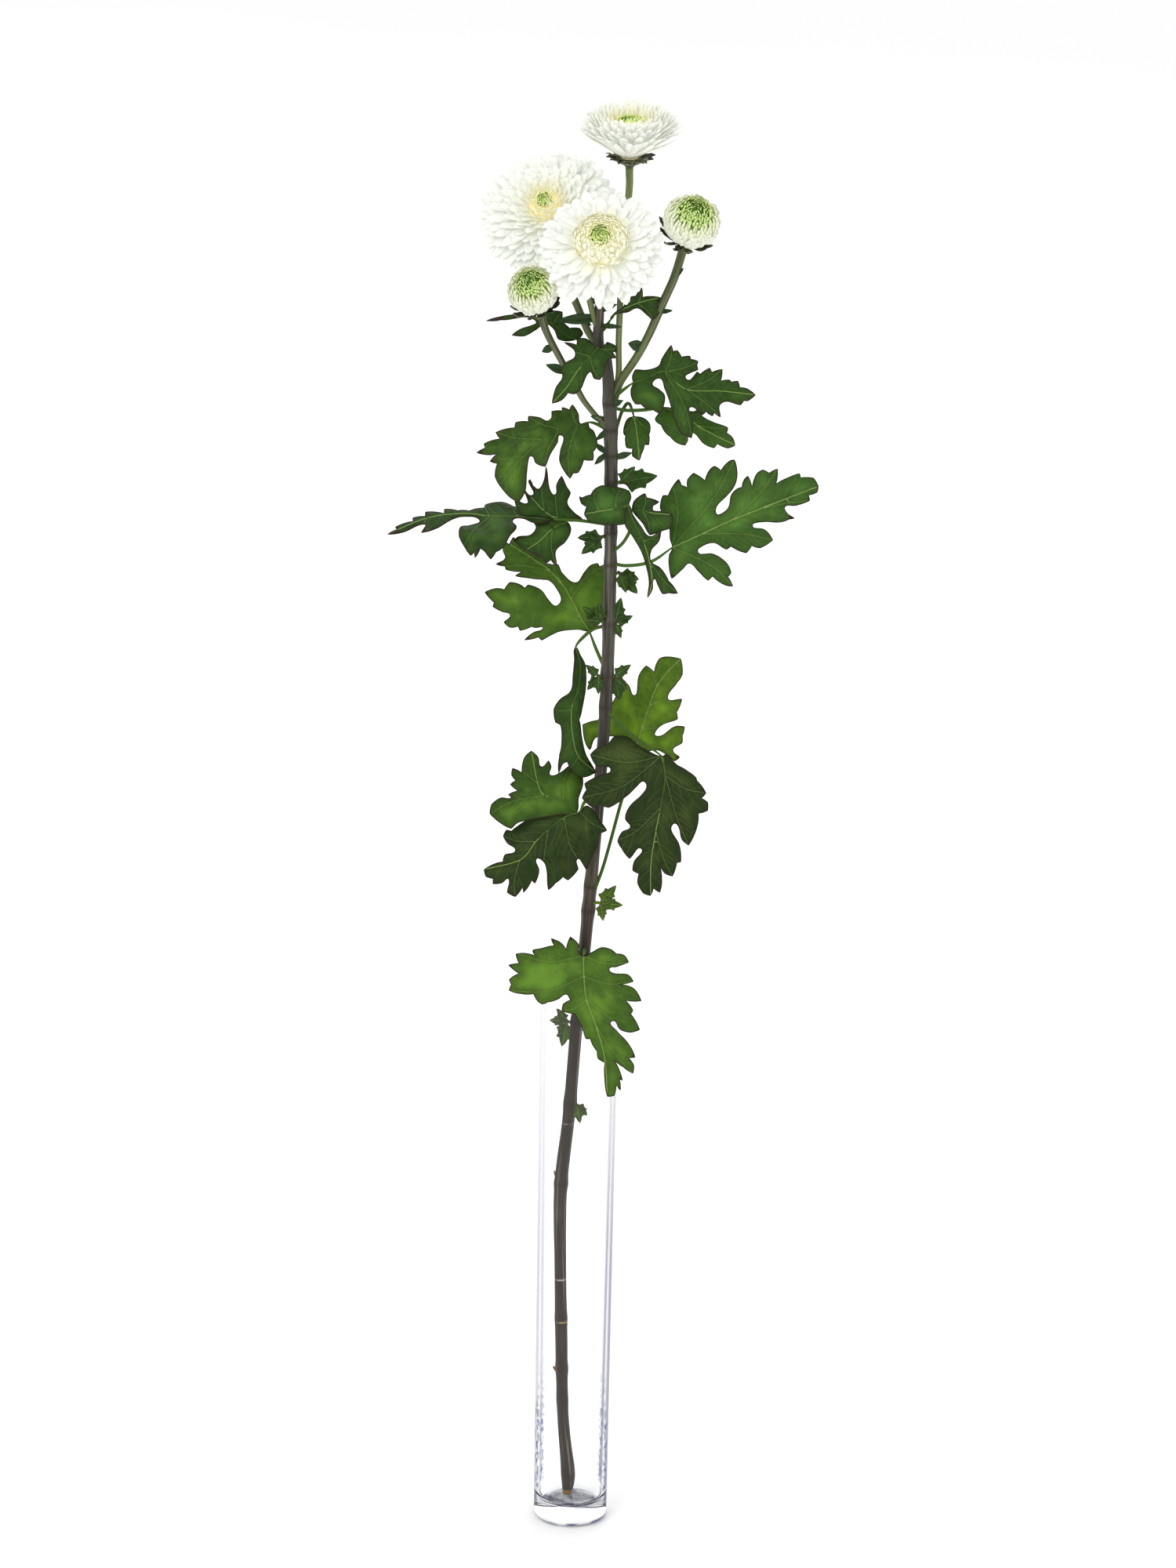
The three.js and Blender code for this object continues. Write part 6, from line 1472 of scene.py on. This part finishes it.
def stem_finish(brown, olive):
    """Bark with lengthwise streaks, greener on the young stalks, dark at the nodes, tan at the cut end."""
    n = Nodes("stem bark")
    joined, split = n.node("ShaderNodeCombineXYZ"), n.node("ShaderNodeSeparateXYZ")
    for axis, key in zip("XYZ", ("round_x", "round_y", "run")):
        n.link(n.mark(key), joined.inputs[axis])
    place = joined.outputs[0]
    streak = n.noise(500, 4, 0.65, (1, 1, 0.04), place)
    line = n.noise(900, 2, 0.5, (1, 1, 0.02), place)
    blotch = n.noise(55, 3, 0.5, (1, 1, 0.4), place)
    young = n.mark("young")
    n.link(n.place(), split.inputs[0])
    height = split.outputs["Z"]
    bark = n.blend(n.band(height, 0.3, 0.46), brown, BARK_UPPER)
    middle = n.maths("MULTIPLY", n.band(height, 0.4, 0.35), n.band(height, 0.24, 0.31))
    bark = n.blend(middle, bark, BARK_MIDDLE)
    bark = n.blend(n.band(height, 0.31, 0.28), bark, BARK_IN_VASE)
    bark = n.blend(n.band(blotch, 0.5, 0.7, 0, 0.5), bark, BARK_BLOTCH)
    bark = n.blend(n.band(streak, 0.36, 0.6), [c * 0.35 for c in brown], bark)
    bark = n.blend(n.band(line, 0.56, 0.7, 0, 0.7), bark, BARK_LINE)
    green = n.blend(n.band(streak, 0.35, 0.62), [c * 0.45 for c in olive], olive)
    green = n.blend(n.band(line, 0.6, 0.75, 0, 0.5), green, STALK_LINE_COLOUR)
    body = n.blend(n.band(n.maths("ADD", young, n.maths("MULTIPLY", blotch, 0.3)), 0.25, 0.95), bark, green)
    body = n.blend(n.mark("node"), body, NODE_SCAR)
    uneven = n.maths("ADD", height, n.maths("MULTIPLY", blotch, 0.003))
    for ring, colour in RINGS:
        off = n.maths("ABSOLUTE", n.maths("SUBTRACT", uneven, ring))
        share = n.maths("MULTIPLY", n.band(off, 0.0007, 0.0003), n.band(line, 0.35, 0.55))
        body = n.blend(share, body, colour)
    body = n.blend(n.band(height, 0.0128, 0.0112), body, CUT_END)
    leafy = n.blend(n.band(blotch, 0.35, 0.65), STEM_BRACT_DARK, STEM_BRACT_LIGHT)
    body = n.blend(n.mark("leafy"), body, leafy)
    bud = n.blend(n.band(streak, 0.4, 0.6), BUD_DARK, BUD_LIGHT)
    body = n.blend(n.mark("bud"), body, bud)
    n.set(Base_Color=body, Roughness=n.band(streak, 0.3, 0.7, 0.5, 0.75), Specular_IOR_Level=0.2,
          Sheen_Weight=0.04, Sheen_Roughness=0.4)
    n.bump(n.maths("ADD", n.maths("ADD", streak, n.maths("MULTIPLY", line, 0.6)),
                   n.maths("MULTIPLY", blotch, 0.4)), 0.8, 0.0005)
    return n.material


def glass_finish():
    """Clear glass, blue where it is seen edge on, most of all low down and at the round of its floor: its own
    tint with painted refraction.
    """
    n = Nodes("clear glass")
    turned = n.node("ShaderNodeLayerWeight")
    turned.inputs["Blend"].default_value = 0.5
    split = n.node("ShaderNodeSeparateXYZ")
    n.link(n.place(), split.inputs[0])
    height = split.outputs["Z"]
    facing = turned.outputs["Facing"]
    # painted refraction over the glass's own tint: edge lines, darker low down and on the right, a ring at
    # the round of the floor and an arc at the foot
    above = n.band(height, 0.0145, 0.017)
    low = n.maths("MULTIPLY", n.band(height, 0.12, 0.05), n.band(n.noise(420, 3), 0.46, 0.54))
    low = n.maths("MULTIPLY", low, n.band(facing, 0.42, 0.64))
    wall = n.maths("MULTIPLY", n.band(facing, 0.5, 0.72), n.band(height, 0.3, 0.12, 0.45, 0.95))
    wall = n.maths("MULTIPLY", wall, n.band(split.outputs["X"], -0.01, 0.01, 0.75, 1.0))
    wall = n.maths("MULTIPLY", n.maths("MAXIMUM", low, wall), above)
    corner = n.maths("MULTIPLY", n.band(height, 0.0088, 0.0095), n.band(height, 0.0145, 0.013))
    corner = n.maths("MULTIPLY", corner, n.band(facing, 0.56, 0.7))
    foot = n.maths("MULTIPLY", n.band(height, 0.0034, 0.0018), n.band(n.noise(90, 2), 0.35, 0.6, 0.3, 1.0))
    depth = n.maths("MAXIMUM", wall, n.maths("MAXIMUM", corner, foot))
    n.set(Base_Color=n.blend(depth, GLASS_CLEAR, GLASS_TINT_AND_PAINTED_REFRACTION), Roughness=0.0, IOR=GLASS_IOR,
          Transmission_Weight=1.0)
    n.bump(n.noise(24, 1), 0.02, 0.0004)
    return n.material


def floor_finish():
    n = Nodes("pale floor")
    n.set(Base_Color=n.blend(n.noise(3, 2), (0.965, 0.965, 0.965), (0.98, 0.98, 0.98)), Roughness=0.6,
          Specular_IOR_Level=0.2)
    return n.material


# What a user would change


class FlowerSizes(bpy.types.PropertyGroup):
    """Sizes of the new pieces."""
    leaf_step: bpy.props.FloatProperty(
        name="Leaf grain", description="Spacing of the points along a leaf's edge",
        default=0.9, min=0.4, max=3)
    leaf_wave: bpy.props.FloatProperty(
        name="Leaf waviness", description="How far the blades leave their plane, as a share",
        default=1.0, min=0, max=2)
    petal_share: bpy.props.FloatProperty(
        name="Petal count", description="Share of each bloom's full number of petals",
        default=1.0, min=0.1, max=1, subtype="FACTOR")
    stem_sides: bpy.props.IntProperty(
        name="Stem sides", description="Points round the stem", default=24, min=6, max=48)


class FlowerColours(bpy.types.PropertyGroup):
    """Colours of the new pieces."""
    leaf_olive: bpy.props.FloatVectorProperty(
        name="Olive leaf", description="Colour of the dullest leaves between the veins", subtype="COLOR",
        default=(0.042, 0.06, 0.013), min=0, max=1)
    leaf_green: bpy.props.FloatVectorProperty(
        name="Green leaf", description="Colour of most leaves between the veins", subtype="COLOR",
        default=(0.06, 0.135, 0.02), min=0, max=1)
    # partly painted light: the brightest leaves stand for light shining through them
    leaf_lime: bpy.props.FloatVectorProperty(
        name="Lime leaf", description="Colour of the brightest leaves between the veins", subtype="COLOR",
        default=(0.2, 0.35, 0.015), min=0, max=1)
    petal_white: bpy.props.FloatVectorProperty(
        name="Outer petals", description="Colour of the outer petals", subtype="COLOR",
        default=(0.74, 0.755, 0.705), min=0, max=1)
    petal_cream: bpy.props.FloatVectorProperty(
        name="Inner petals", description="Colour of the petals near the middle", subtype="COLOR",
        default=(0.75, 0.725, 0.5), min=0, max=1)
    bark: bpy.props.FloatVectorProperty(
        name="Bark", description="Colour of the main stem", subtype="COLOR",
        default=(0.06, 0.048, 0.038), min=0, max=1)
    stalk: bpy.props.FloatVectorProperty(
        name="Young stalks", description="Colour of the young stalks", subtype="COLOR",
        default=(0.17, 0.22, 0.075), min=0, max=1)


def sizes():
    return bpy.context.scene.flower_sizes


def colours():
    return bpy.context.scene.flower_colours


def leaf_colours():
    return [tuple(value) for value in (colours().leaf_olive, colours().leaf_green, colours().leaf_lime)]


class FLOWER_OT_stage(bpy.types.Operator):
    """Sets the pale floor, the soft studio light and the camera"""
    bl_idname = "flower.stage"
    bl_label = "Stage"

    def execute(self, context):
        deselect_all()
        bpy.ops.mesh.primitive_plane_add(size=FLOOR_SIZE, location=(0, 0, -FLOOR_DROP))
        floor = context.object
        floor.name = "floor"
        floor.data.materials.append(floor_finish())
        scene = context.scene
        world = bpy.data.worlds.new("Studio")
        scene.world = world
        world.use_nodes = True
        tree = world.node_tree
        background = tree.nodes["Background"]
        background.inputs["Color"].default_value = (1, 1, 1, 1)
        path = tree.nodes.new("ShaderNodeLightPath")
        seen = tree.nodes.new("ShaderNodeMath")
        seen.operation = "MAXIMUM"
        tree.links.new(path.outputs["Is Camera Ray"], seen.inputs[0])
        tree.links.new(path.outputs["Is Transmission Ray"], seen.inputs[1])
        glow = tree.nodes.new("ShaderNodeMapRange")
        glow.inputs["To Min"].default_value = SKY_STRENGTH
        glow.inputs["To Max"].default_value = SKY_STRENGTH_SEEN
        tree.links.new(seen.outputs[0], glow.inputs["Value"])
        tree.links.new(glow.outputs["Result"], background.inputs["Strength"])
        for name, (place, aim, size, power) in LAMPS.items():
            lamp = bpy.data.lights.new(name, "AREA")
            lamp.size = size
            lamp.energy = power
            light = bpy.data.objects.new(name, lamp)
            scene.collection.objects.link(light)
            light.location = place
            light.rotation_euler = (Vector(aim) - Vector(place)).to_track_quat("-Z", "Y").to_euler()
        view = bpy.data.cameras.new("camera")
        view.sensor_fit = "VERTICAL"
        view.sensor_height = SENSOR_HEIGHT
        view.lens = LENS
        camera = bpy.data.objects.new("camera", view)
        scene.collection.objects.link(camera)
        camera.location = CAMERA_PLACE
        camera.rotation_euler = (math.radians(90 - CAMERA_PITCH), 0, 0)
        camera.rotation_euler.rotate_axis("Z", math.radians(CAMERA_ROLL))
        scene.camera = camera
        scene.view_settings.view_transform = "Standard"
        return {"FINISHED"}


class FLOWER_OT_vase(bpy.types.Operator):
    """Turns the glass vase"""
    bl_idname = "flower.vase"
    bl_label = "Vase"

    def execute(self, context):
        settle(turned_cup("vase_glass"), "vase", glass_finish())
        return {"FINISHED"}


class FLOWER_OT_stem(bpy.types.Operator):
    """Grows the main stem with its side stalks, nodes, buds and bracts"""
    bl_idname = "flower.stem"
    bl_label = "Stem"

    def execute(self, context):
        shell = Shell(young=0.0, node=0.0, leafy=0.0, bud=0.0, round_x=0.0, round_y=0.0, run=0.0)
        sides = sizes().stem_sides
        radii = [p[3] for p in STEM] + [2.0, 2.1]
        rod(shell, to_bloom(STEM, "front"), radii, sides, 1.6, 0.035, NODES)
        for key, path, ends, young in BRANCHES:
            line = to_bloom(path, key)
            radii = np.interp(np.linspace(0, 1, len(line)), (0, 1), ends)
            rod(shell, line, radii, max(8, sides - 8), 1.6, 0.03, young=young)
        rod(shell, BARE_STALK, [1.2, 1.6], 12, 1.6, 0.03, young=0.6)
        for seed, (foot, tip, width) in enumerate(BRACTS):
            slip(shell, foot, tip, width, seed)
        for seed, (foot, tip, width) in enumerate(BUDS):
            slip(shell, foot, tip, width, seed + 30, bud=1.0)
        shell.piece("stem", stem_finish(tuple(colours().bark), tuple(colours().stalk)), "stem")
        return {"FINISHED"}


class FLOWER_OT_leaves(bpy.types.Operator):
    """Grows the large leaves, each with its stalk"""
    bl_idname = "flower.leaves"
    bl_label = "Leaves"

    def execute(self, context):
        olive, green, lime = leaf_colours()
        pale, rim = LEAF_VEIN, LEAF_BORDER
        finishes = {
            "dark": leaf_finish("leaf upper side", olive, green, lime, pale, rim, 0.06),
            "light": leaf_finish("leaf underside", olive, [1.25 * c for c in green], lime, pale, rim, 0.12),
        }
        for seed, (node, shape) in enumerate(LEAVES.items()):
            shell = Shell(rib=9.0, vein=9.0, edge=9.0, upper=0.0, shade=0.3)
            shades = SHADES.get(node, (0.36,))
            for k, blade in enumerate(shape["blades"]):
                surface = leaf_blade(shell, blade, shape["tone"] == "light", shades[min(k, len(shades) - 1)],
                                     1.7 * seed + k + 0.3, sizes().leaf_step, sizes().leaf_wave)
                run = stalk_line(surface, STALK_SHARE)
                if k == 0:
                    line = shape["stalk"][:-1] + [tuple(p) for p in run[::4]]
                    radii = [0.85] * (len(shape["stalk"]) - 1) + list(np.linspace(0.42, 0.14, len(run[::4])))
                else:
                    line = [tuple(p) for p in run[::4]]
                    radii = np.linspace(0.36, 0.14, len(line))
                if len(line) > 2:
                    rod(shell, line, radii, 10, 1.2, 0.05, ridge_count=3,
                        rib=0.12, edge=5.0, upper=0.0, shade=0.5)
            shell.piece(node, finishes[shape["tone"]], f"leaf_{shape['tone']}")
        return {"FINISHED"}


class FLOWER_OT_sprigs(bpy.types.Operator):
    """Grows the small shoots in the leaf axils"""
    bl_idname = "flower.sprigs"
    bl_label = "Sprigs"

    def execute(self, context):
        olive, green, lime = leaf_colours()
        finishes = {
            "dark": leaf_finish("sprig green", olive, green, lime,
                                SPRIG_VEIN, SPRIG_BORDER, 0.08, 0.3),
            "yellow": leaf_finish("sprig yellow", (0.08, 0.16, 0.02), (0.14, 0.27, 0.03), (0.42, 0.46, 0.07),
                                  (0.45, 0.46, 0.12), (0.1, 0.05, 0.06), 0.1, 0.3),
        }
        for seed, (node, (fork, tips, tone)) in enumerate(SPRIGS.items()):
            shell = Shell(rib=9.0, vein=9.0, edge=9.0, upper=0.0, shade=0.5)
            fork = np.array(fork, float)
            line = [stem_point(fork[2] - 1.5), 0.5 * (stem_point(fork[2] - 1) + fork), fork]
            rod(shell, line, [0.95, 0.85, 0.7], 8, 1.0, rib=0.2, edge=5.0)
            for k, tip in enumerate(tips):
                end = np.array(tip, float)
                leaflet(shell, fork + 0.1 * (fork - end), end, LEAFLET_RIM, 1.1, seed * 2.1 + k, 0.6)
            shell.piece(node, finishes[tone], "leaf_dark")
        return {"FINISHED"}


class FLOWER_OT_blooms(bpy.types.Operator):
    """Grows the five blooms: petals, green heart and calyx"""
    bl_idname = "flower.blooms"
    bl_label = "Blooms"

    def execute(self, context):
        white, cream = tuple(colours().petal_white), tuple(colours().petal_cream)
        open_finish = petal_finish("open petals", white, cream, PETAL_GREEN)
        globe_finish = petal_finish("globe petals", GLOBE_WHITE, GLOBE_CREAM,
                                    GLOBE_GREEN, GLOBE_CORE_GREEN_AND_SHADE)
        green, dark = heart_finish(), calyx_finish()
        for seed, (key, bloom) in enumerate(BLOOMS.items()):
            draw = random.Random(BLOOM_SEED + seed)
            bloom = dict(bloom, petals=int(bloom["petals"] * sizes().petal_share))
            grow = globe_bloom if bloom.get("globe") else open_bloom
            grow(f"bloom_{key}_petals", bloom, draw, globe_finish if bloom.get("globe") else open_finish)
            heart(f"bloom_{key}_heart", bloom, draw, green)
            calyx(f"bloom_{key}_calyx", bloom, draw, dark)
        return {"FINISHED"}


def slip(shell, foot, tip, width, seed, **marks):
    """A small pointed bract or bud on the stem."""
    share = width / np.linalg.norm(np.subtract(tip, foot))
    leaflet(shell, foot, tip, SLIP_RIM, share, seed * 1.3, 0.5, cup=0.3, leafy=1.0, **marks)


def select_faces(mesh, test):
    """Selects the faces whose centre passes the test, in edit mode."""
    bpy.ops.mesh.select_all(action="DESELECT")
    bpy.ops.object.mode_set(mode="OBJECT")
    for face in mesh.polygons:
        face.select = test(face)
    bpy.ops.object.mode_set(mode="EDIT")
    bpy.ops.mesh.select_mode(type="FACE")


def select_edges(mesh, test):
    """Selects the edges whose two ends both pass the test, in edit mode."""
    bpy.ops.mesh.select_mode(type="EDGE")
    bpy.ops.mesh.select_all(action="DESELECT")
    bpy.ops.object.mode_set(mode="OBJECT")
    for edge in mesh.edges:
        edge.select = all(test(mesh.vertices[k].co) for k in edge.vertices)
    bpy.ops.object.mode_set(mode="EDIT")


def inner_radius(height):
    foot, rim = FOOT_RADIUS - FOOT_WALL, RIM_RADIUS - RIM_WALL
    return foot + (rim - foot) * height / VASE_HEIGHT


def round_edge(mesh, height, width, segments):
    """Bevels the rings of edges at one height."""
    select_edges(mesh, lambda p: abs(p.z - height * MM) < 1e-6)
    bpy.ops.mesh.bevel(offset=width * MM, segments=segments, affect="EDGES", offset_type="OFFSET")


def cylinder(name, radius, bottom, top, sides=96):
    deselect_all()
    bpy.ops.mesh.primitive_cylinder_add(vertices=sides, radius=radius * MM, depth=(top - bottom) * MM,
                                        location=(0, 0, (top + bottom) / 2 * MM))
    piece = bpy.context.object
    piece.name = name
    bpy.ops.object.transform_apply(location=True, rotation=True, scale=True)
    return piece


def scale_ring(share, height):
    """Scales the chosen ring about the vase's axis."""
    bpy.ops.transform.resize(value=(share, share, 1), center_override=(0, 0, height * MM))


def turned_cup(name):
    """A cylinder with its top drawn wider, opened by an inset and pushed down to the thick floor."""
    piece = cylinder(name, FOOT_RADIUS, 0, VASE_HEIGHT)
    mesh = piece.data
    bpy.ops.object.mode_set(mode="EDIT")
    select_faces(mesh, lambda face: face.normal.z > 0.9)
    scale_ring(RIM_RADIUS / FOOT_RADIUS, VASE_HEIGHT)
    bpy.ops.mesh.inset(thickness=RIM_WALL * MM)
    bpy.ops.mesh.extrude_region_move(
        TRANSFORM_OT_translate={"value": (0, 0, (FLOOR_THICKNESS - VASE_HEIGHT) * MM)})
    scale_ring(inner_radius(FLOOR_THICKNESS) / (RIM_RADIUS - RIM_WALL), FLOOR_THICKNESS)
    round_edge(mesh, FLOOR_THICKNESS, FLOOR_ROUND, ROUND_STEPS["floor"])
    round_edge(mesh, 0, FOOT_ROUND, ROUND_STEPS["foot"])
    round_edge(mesh, VASE_HEIGHT, RIM_ROUND, ROUND_STEPS["rim"])
    for height in HOLDING_RINGS:
        bpy.ops.mesh.select_all(action="SELECT")
        bpy.ops.mesh.bisect(plane_co=(0, 0, height * MM), plane_no=(0, 0, 1))
    bpy.ops.object.mode_set(mode="OBJECT")
    bpy.ops.object.shade_smooth_by_angle(angle=math.radians(40))
    return piece


class FLOWER_PT_panel(bpy.types.Panel):
    """Lists the sizes, the colours and the pieces"""
    bl_label = "Flower"
    bl_idname = "FLOWER_PT_panel"
    bl_space_type = "VIEW_3D"
    bl_region_type = "UI"
    bl_category = "Flower"

    def draw(self, context):
        for group in (context.scene.flower_sizes, context.scene.flower_colours):
            for key in group.__annotations__:
                self.layout.prop(group, key)
        for operator in OPERATORS:
            self.layout.operator(operator.bl_idname)


OPERATORS = (FLOWER_OT_stage, FLOWER_OT_vase, FLOWER_OT_stem, FLOWER_OT_leaves, FLOWER_OT_sprigs,
             FLOWER_OT_blooms)
CLASSES = (FlowerSizes, FlowerColours) + OPERATORS + (FLOWER_PT_panel,)


def register():
    for cls in CLASSES:
        bpy.utils.register_class(cls)
    bpy.types.Scene.flower_sizes = bpy.props.PointerProperty(type=FlowerSizes)
    bpy.types.Scene.flower_colours = bpy.props.PointerProperty(type=FlowerColours)


def unregister():
    del bpy.types.Scene.flower_colours
    del bpy.types.Scene.flower_sizes
    for cls in reversed(CLASSES):
        bpy.utils.unregister_class(cls)


def main():
    register()
    bpy.ops.flower.stage()
    bpy.ops.flower.vase()
    bpy.ops.flower.stem()
    bpy.ops.flower.leaves()
    bpy.ops.flower.sprigs()
    bpy.ops.flower.blooms()


if __name__ == "__main__":
    main()
